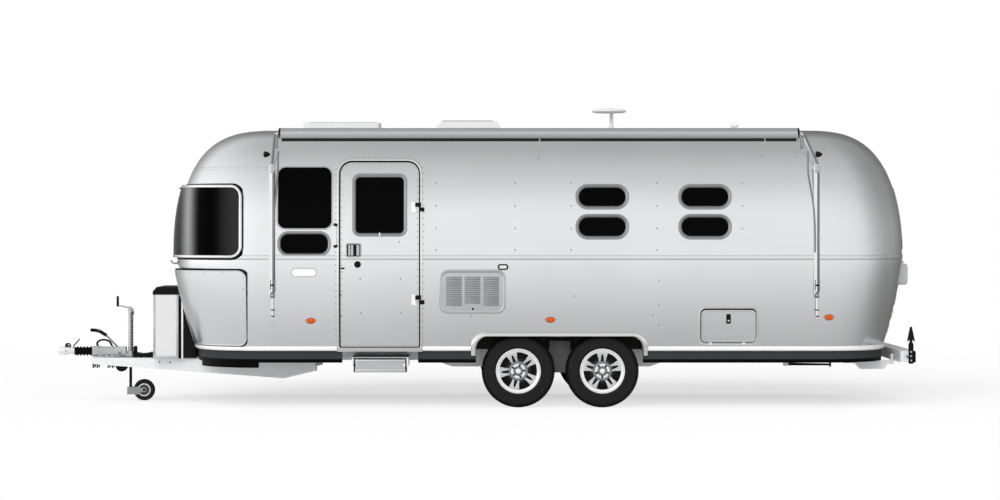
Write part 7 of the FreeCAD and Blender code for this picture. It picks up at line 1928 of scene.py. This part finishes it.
def make_coupling():
    head = rounded_bar(mm("-4248 502 10 10 10, -4243 502 26 24 22, -4225 503 38 34 30, -4190 503 43 37 32, "
                          "-4150 502 40 36 30, -4110 500 34 34 26, -4085 498 30 32 24, -4070 497 30 30 24"))
    rim = hoop((SOCKET_X, 0, 0.463), "Z", mm("-4 34, 8 40, 14 38, 14 29, -4 29"), 32)
    coupling = piece("ball_coupling", merge(head, rim), HEAD_CASTING)
    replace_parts(coupling, "coupling_head")
    release = turned((-4.148, 0, 0.548), "Y", mm("-17 22, -14 30, 14 30, 17 22"), 28)
    piece("coupling_release", release, BLACK_ABS)
    stud = turned((-4.138, 0, 0.556), "Y", mm("-20 6, -19 10, 19 10, 20 6"), 20)
    pin = turned((-4.165, -0.046, 0.500), "Y", mm("0 8, 4 10, 88 10, 92 8"), 20)
    piece("coupling_pins", merge(stud, pin), ZINC_STEEL)
    latch = tube(bent(mm("-4092 -4 520, -4088 -4 556, -4046 -4 596, -4034 -4 620"), 0.02), 0.0062, 12)
    piece("coupling_latch", latch, BLACK_ENAMEL)
    rib = hoop((0, 0, 0), "X", mm("-16.5 34, -8 41, -4 47.2, 4 47.2, 8 41, 16.5 34, 16.5 26, -16.5 26"), 40)
    copies("coupling_bellows", rib, 5, RIB_RUBBER, step=(0.033, 0, 0), centre=(-4.052, 0, 0.4965))
    collars = [turned((x, 0, 0.4965), "X", mm("-6 30, -6 40, 6 40, 6 30"), 32) for x in (-4.074, -3.902)]
    piece("bellows_collars", merge(*collars), BLACK_RUBBER)


make_coupling()

# %% Overrun housing, handbrake and lifting handle
HANDLE_RUBBER = black("black_handle_sheath", "#0C0C0D", 0.50)
dress_node("handbrake_lever", PRESSED_STEEL)
HOUSE_FRONT, HOUSE_REAR, BEAM_UNDER = -3.905, HOUSE_HIGH.x, 0.371
# Places along the housing from its front, and back from its rear, with the section at each.
HOUSE_START = mm("0 496.5 34 40 18, 6 496.5 42 48 18, 55 496.5 42 48 18, 70 498 36 43 18")
HOUSE_END = mm("-60 498.5 36 41 16, -30 498.5 44 44 12, -4 498.5 44 44 12, 0 498.5 40 40 12")


def make_housing():
    body = rounded_bar([(HOUSE_FRONT + along, *section) for along, *section in HOUSE_START] +
                       [(HOUSE_REAR + along, *section) for along, *section in HOUSE_END])
    foot = HOUSE_LOW.z
    flange = block((HOUSE_FRONT + 0.004, -0.054, foot), (HOUSE_REAR - 0.10, 0.054, foot + 0.012), 0.003)
    web = block((HOUSE_FRONT + 0.07, -0.050, 0.462), (HOUSE_REAR - 0.07, 0.050, 0.474), 0.003)
    boss = turned((-3.620, 0, 0.496), "Y", mm("-50 12, -49 18, 49 18, 50 12"), 24)
    housing = piece("overrun_brake_housing", merge(body, flange, web, boss), CAST_STEEL)
    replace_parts(housing, "overrun_housing")
    bolt = turned((0, 0, 0), "Z", mm("0 11, 8 11, 9 6, 14 6, 14 0"), 6)
    for name, side in SIDES:
        copies("housing_bolts_" + name, bolt, 4, ZINC_STEEL, step=(0.055, 0, 0),
               centre=(HOUSE_FRONT + 0.11, side * 0.045, foot + 0.011))
    nuts = [turned((x, y, BEAM_UNDER), (0, 0, -1), mm("-2 14, 14 14, 15 8, 42 8, 42 0"), 6)
            for x in (-3.885, -3.845, -3.735, -3.695) for y in (-0.070, 0.070)]
    piece("drawbar_nuts", merge(*nuts), BLACK_ENAMEL)


make_housing()
lever_y = sum(corner.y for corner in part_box("handbrake_lever")) / 2
sleeve = [(x, lever_y, z) for x, z in mm("-3772 650, -3850 700, -3930.5 705")]
piece("handbrake_grip", tube(bent(sleeve, 0.05), 0.0170, 16), BLACK_RUBBER)
strut = tube(mm("-3640 -60 492, -3545 -72 404"), 0.0055, 10)
end = turned((-3.545, -0.060, 0.404), "Y", mm("-22 9, -10 9"), 6)
piece("handbrake_strut", merge(strut, end), PRESSED_STEEL)
loop = smooth_path(mm("-3838 -30 540, -3853 -30 572, -3832 -30 600, -3786 -30 611, -3735 -30 598, "
                      "-3712 -30 570, -3700 -30 538"), 8)
piece("lifting_handle", tube(loop, 0.0100, 12), HANDLE_RUBBER)
feet = [turned((x, -0.030, 0.530), "Z", mm("0 14, 14 14, 18 11, 22 11"), 12) for x in (-3.838, -3.700)]
piece("lifting_handle_feet", merge(*feet), ZINC_STEEL)
print("coupling: %.0f mm ahead of the housing" % ((HOUSE_LOW.x - HEAD_LOW.x) / MM))

# %% Drawbar fittings
drum = turned((-3.607, 0, 0.351), "Y", mm("-28 50, -26 60, 26 60, 28 50"), 32)
piece("compensator_guard", drum, BLACK_ABS)
cover_line = mm("-3478 437, -3478 470, -3455 482, -3400 472, -3345 478, -3320 486, -3262 486, -3262 437")
cover = loft([[Vector((x, y, z)) for x, z in cover_line] for y in (-0.105, 0.105)])
piece("drawbar_cover", cover, BLACK_ABS)


def beam_spot(x, z):
    """A place on the outer face of the left drawbar beam, found by sending a ray at it."""
    world = NODES["drawbar"].matrix_world
    back = world.inverted()
    way = (back.to_3x3() @ Vector((0, 1, 0))).normalized()
    _, place, normal, _ = NODES["drawbar"].ray_cast(back @ Vector((x, -3, z)), way)
    return world @ place, (world.to_3x3() @ normal).normalized()


# Black discs on the beam are painted shade, standing for the dark inside of its holes.
hole_shades = [turned(*beam_spot(x, z), mm("-1 8.5, 0.6 8.5, 0.6 0"), 20) for x, z in mm("-3200 400, -3095 397")]
piece("drawbar_hole_shades", merge(*hole_shades), BLACK_RUBBER)

# %% Jockey wheel
MAST_X = -3.519
MAST = mm("346 21.5, 346.5 24.5, 905 24.5, 911 30, 921 30, 925 24, 925 9, 946 9, 946 0")
JOCKEY_RADIUS = 0.108
JOCKEY_AT = Vector((-3.381, 0, JOCKEY_RADIUS))


def on_mast(low, high, bevel, segments=2):
    """A block whose corners are measured from the mast's own axis."""
    return block(Vector((MAST_X, 0, 0)) + Vector(low), Vector((MAST_X, 0, 0)) + Vector(high), bevel, segments)


collar = turned((MAST_X, 0, 0.437), "Z", mm("0 32, 1 34, 60 34, 62 32"), 28)
crank = [(MAST_X + along, 0, z) for along, z in mm("0 936, -45 937, -85 948, -130 949")]
post = piece("jockey_mast_tube", merge(
    turned((MAST_X, 0, 0), "Z", MAST, 32), on_mast((-0.165, -0.034, 0.437), (0.020, 0.034, 0.475), 0.004),
    collar, tube(smooth_path(crank), 0.0075, 12)), CAST_STEEL)
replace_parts(post, "jockey_mast")
# Black blocks along the mast are painted shade, standing for the dark insides of its rack slots.
slot_shade = merge(block((0, -0.0262, -0.004), (0.0225, -0.019, 0.004), 0.001, 1),
                 block((0.020, -0.010, -0.004), (0.0262, 0.010, 0.004), 0.001, 1))
copies("jockey_mast_rack_slot_shades", slot_shade, 28, BLACK_ENAMEL, step=(0, 0, 0.015), centre=(MAST_X, 0, 0.475))
piece("jockey_mast_lug", on_mast((0.020, -0.008, 0.862), (0.034, 0.008, 0.900), 0.003), PRESSED_STEEL)
handle = turned((MAST_X - 0.130, 0, 0.944), "Z", mm("0 9, 1 12.5, 30 13, 70 12, 98 12.8, 104 10, 105 0"), 20)
piece("jockey_crank_grip", handle, BLACK_ABS)
bolt_ends = [turned((MAST_X + 0.046, y, 0.500), "Y", mm("-10 10, 10 10"), 6) for y in (-0.040, 0.040)]
clamp_end = on_mast((0.030, -0.034, 0.450), (0.066, 0.034, 0.548), 0.014, 3)
piece("jockey_clamp", merge(clamp_end, *bolt_ends), BLACK_ENAMEL)
leg = turned((MAST_X, 0, 0), "Z", mm("136 10, 138 14.5, 783 14.5, 785 10"), 28)
leg = piece("jockey_inner_leg", leg, BLACK_ENAMEL, "jockey_stem")
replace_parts(leg, "jockey_stem")


def fork_cheek(y_in, y_out):
    """One cheek: a pressed plate that narrows from the swivel to an eye around the axle."""
    edge = mm("-3551 62, -3551 138, -3440 138, -3425 128")
    edge += [(JOCKEY_AT.x + 0.023 * math.cos(t), JOCKEY_AT.z + 0.023 * math.sin(t))
             for t in (math.radians(110 - 22 * k) for k in range(11))]
    edge += mm("-3425 78, -3440 62")
    return loft([[Vector((x, y, z)) for x, z in edge] for y in (y_in, y_out)])


swivel = turned((MAST_X, 0, 0), "Z", mm("64 24, 66 30, 134 30, 137 24"), 28)
cheeks = [fork_cheek(-0.0345, -0.0285), fork_cheek(0.0285, 0.0345)]
fork = piece("jockey_fork_pressing", merge(swivel, *cheeks), PRESSED_STEEL, "jockey_fork")
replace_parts(fork, "jockey_fork")
axle = turned(JOCKEY_AT, "Y", mm("-39.5 6, -39 12.5, -34 12.5, -34 8, 34 8, 34 12.5, 39 12.5, 39.5 6"), 24)
piece("jockey_axle", axle, BLACK_ENAMEL, "jockey_fork")
section = mm("-18 62, -24.5 70, -25 88, -21 100, -12 106.5, 0 108, 12 106.5, 21 100, 25 88, 24.5 70, 18 62")
small_tyre = piece("jockey_tyre", hoop(JOCKEY_AT, "Y", section, 56), TYRE_RUBBER, "jockey_wheel")
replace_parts(small_tyre, "jockey_wheel")
rim = hoop(JOCKEY_AT, "Y", mm("-23.5 63.5, -24 55.5, -19 53, 19 53, 24 55.5, 23.5 63.5"), 48)
piece("jockey_rim", rim, MACHINED_ALLOY, "jockey_wheel")
disc = turned(JOCKEY_AT, "Y",
              mm("-23.5 10.5, -23.5 18, -14 22, -10 54, 10 54, 14 22, 23.5 18, 23.5 10.5"), 40)
piece("jockey_disc", disc, GREY_PAINT, "jockey_wheel")
print("jockey wheel: radius %.0f mm" % (JOCKEY_RADIUS / MM))

# %% [markdown]
# ## The tail
#
# A galvanised bumper stands behind the tail on two brackets, with black end caps, marker arms
# and a number plate holder. The back is kept plain: three round lamps each side, red and
# amber, such as any trailer needs.

# %% Bumper, marker arms and number plate
BUMP_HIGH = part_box("rear_bumper")[1]
PLATE_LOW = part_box("number_plate_holder")[0]
BUMPER_UNDER = 0.436
PLATE_TOP = 1.377
PLATE_GREY = moulded("light_grey_plate_holder", "#BDBEBE", 0.42)
caps = [block((BUMP_HIGH.x - 0.060, side * (BUMP_HIGH.y - 0.055), BUMPER_UNDER - 0.004),
              (BUMP_HIGH.x + 0.004, side * (BUMP_HIGH.y + 0.004), BUMP_HIGH.z - 0.002), 0.010)
        for _, side in SIDES]
piece("bumper_end_caps", merge(*caps), BLACK_RUBBER)
strip = block((BUMP_HIGH.x - 0.004, -BUMP_HIGH.y + 0.10, 0.470),
              (BUMP_HIGH.x + 0.006, BUMP_HIGH.y - 0.10, 0.515), 0.004)
piece("bumper_strip", strip, BLACK_RUBBER)


def make_plate_holder():
    """A moulded box with rounded corners against the tail, and a blank plate let into its face."""
    rings = []
    for x, inset in mm("4150 10, 4158 0, 4226 0, 4240 6, 4246 18"):
        outline = round_outline(0.540 - 2 * inset, PLATE_TOP - PLATE_LOW.z - 2 * inset, 0.030, 8)
        rings.append([Vector((x, across, (PLATE_TOP + PLATE_LOW.z) / 2 + up)) for across, up in outline])
    lamp = merge(block((4.110, -0.060, 1.398), (4.236, 0.060, 1.406), 0.003),
                 block((4.190, -0.045, 1.380), (4.244, 0.045, 1.400), 0.006))
    holder = piece("number_plate_box", loft(rings), PLATE_GREY)
    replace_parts(holder, "number_plate_holder")
    piece("number_plate_lamp", lamp, BRIGHT_TRIM)
    blank = block((4.2455, -0.240, PLATE_LOW.z + 0.035), (4.2485, 0.240, PLATE_TOP - 0.050), 0.0012)
    piece("number_plate_blank", blank, WHITE_ABS)


make_plate_holder()
MARKER_X, MARKER_Y = sum(corner.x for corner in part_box("marker_arms")) / 2, 1.300
ARROW = mm("8 786, 36 652, 33 643, 14 662, 12 640, 23 620, 23 438, 17 431")
arms = []
for _, side in SIDES:
    outline = ARROW + [(-x, z) for x, z in reversed(ARROW)]
    flap = [[Vector((MARKER_X + x, y, z)) for x, z in outline] for y in sorted((side * 1.276, side * 1.298))]
    stay = [(MARKER_X, side * y, z) for y, z in mm("1284 475, 1100 490, 1020 490")]
    arms += [loft(flap), tube(stay, 0.012, 14)]
markers = piece("rubber_marker_arms", merge(*arms), BLACK_ENAMEL)
markers.visible_glossy = False
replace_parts(markers, "marker_arms")
bolts = [turned((MARKER_X, side * (MARKER_Y - 0.006), z), (0, side, 0), mm("1 10, 5 10, 5.8 6, 5.8 0"), 6)
         for _, side in SIDES for z in (0.462, 0.505, 0.545)]
piece("marker_arm_bolts", merge(*bolts), ZINC_STEEL)

# %% Rear lamps
LAMP_Y = 0.44
LAMP_BASE = mm("-12 56, 1 56, 2 52, 2 0")
LAMP_GLASS = mm("1 49, 4 44, 5 26, 5 0")
for name, side in SIDES:
    for label, z, finish in (("stop_", 1.02, RED_LENS), ("turn_", 0.88, AMBER), ("fog_", 0.74, RED_LENS)):
        spot = on_end("tail", side * LAMP_Y, z)
        out = facing(spot)
        piece("rear_lamp_base_" + label + name, turned(spot, out, LAMP_BASE, 36), CHROME)
        piece("rear_lamp_" + label + name, turned(spot, out, LAMP_GLASS, 36), finish)
print("tail: bumper %.2f m wide" % (2 * BUMP_HIGH.y))
# %% [markdown]
# ## Rivets
#
# The sheets are riveted along their seams, round every opening and, here and there, to the
# ribs inside. All places have been gathered by now, so the rivet tree can run once for each
# body and size of head.

# %% Seams and scattered rivets
SEAM_Z = 2.298
for end in ("nose", "tail"):
    for lift in (0.0, 0.022):
        spots = [cap_spot(end, angle, SEAM_Z + lift, 0.0) for angle in range(2, 179)]
        rivet_all(walk(spots, 0.046, False), radius=0.0052)
for side in (-1, 1):
    for seam in (FRONT_SEAM, REAR_SEAM):
        for shift in (-0.012, 0.012):
            spots = [on_side(seam + shift, 0.62 + 0.05 * i, side) for i in range(37)]
            rivet_all(walk(spots, 0.055, False), radius=0.0042)
SCATTERED = [(x, z) for x in (-0.441, 0.317, 0.855, 1.680) for z in (2.165, 1.944, 1.728, 1.521)]
SCATTERED += mm("-259 1089, -105 888, 883 1080, 1699 1224, 1699 993, 1699 801, 1642 897, 2500 2165, "
                "2500 1944, 2500 1728, -1350 1089, -1350 888")


def on_glass(x, z, side):
    """Whether a place on the side lies on a window or its frame."""
    return any(side == where and abs(x - mid_x) < width / 2 + rim and abs(z - mid_z) < height / 2 + rim
               for _, where, mid_x, mid_z, width, height, _, rim in WINDOWS)


for side in (-1, 1):
    rivet_all([on_side(x, z, side) for x, z in SCATTERED if not on_glass(x, z, side)], radius=0.0085)
DOOR_SPOTS = mm("-795 1600, -1171 1243, -783 1243, -1165 920, -783 920")
rivet_all([on_side(x, z) for x, z in DOOR_SPOTS], "entry_door", 0.0085)
print("rivets:", make_rivets())
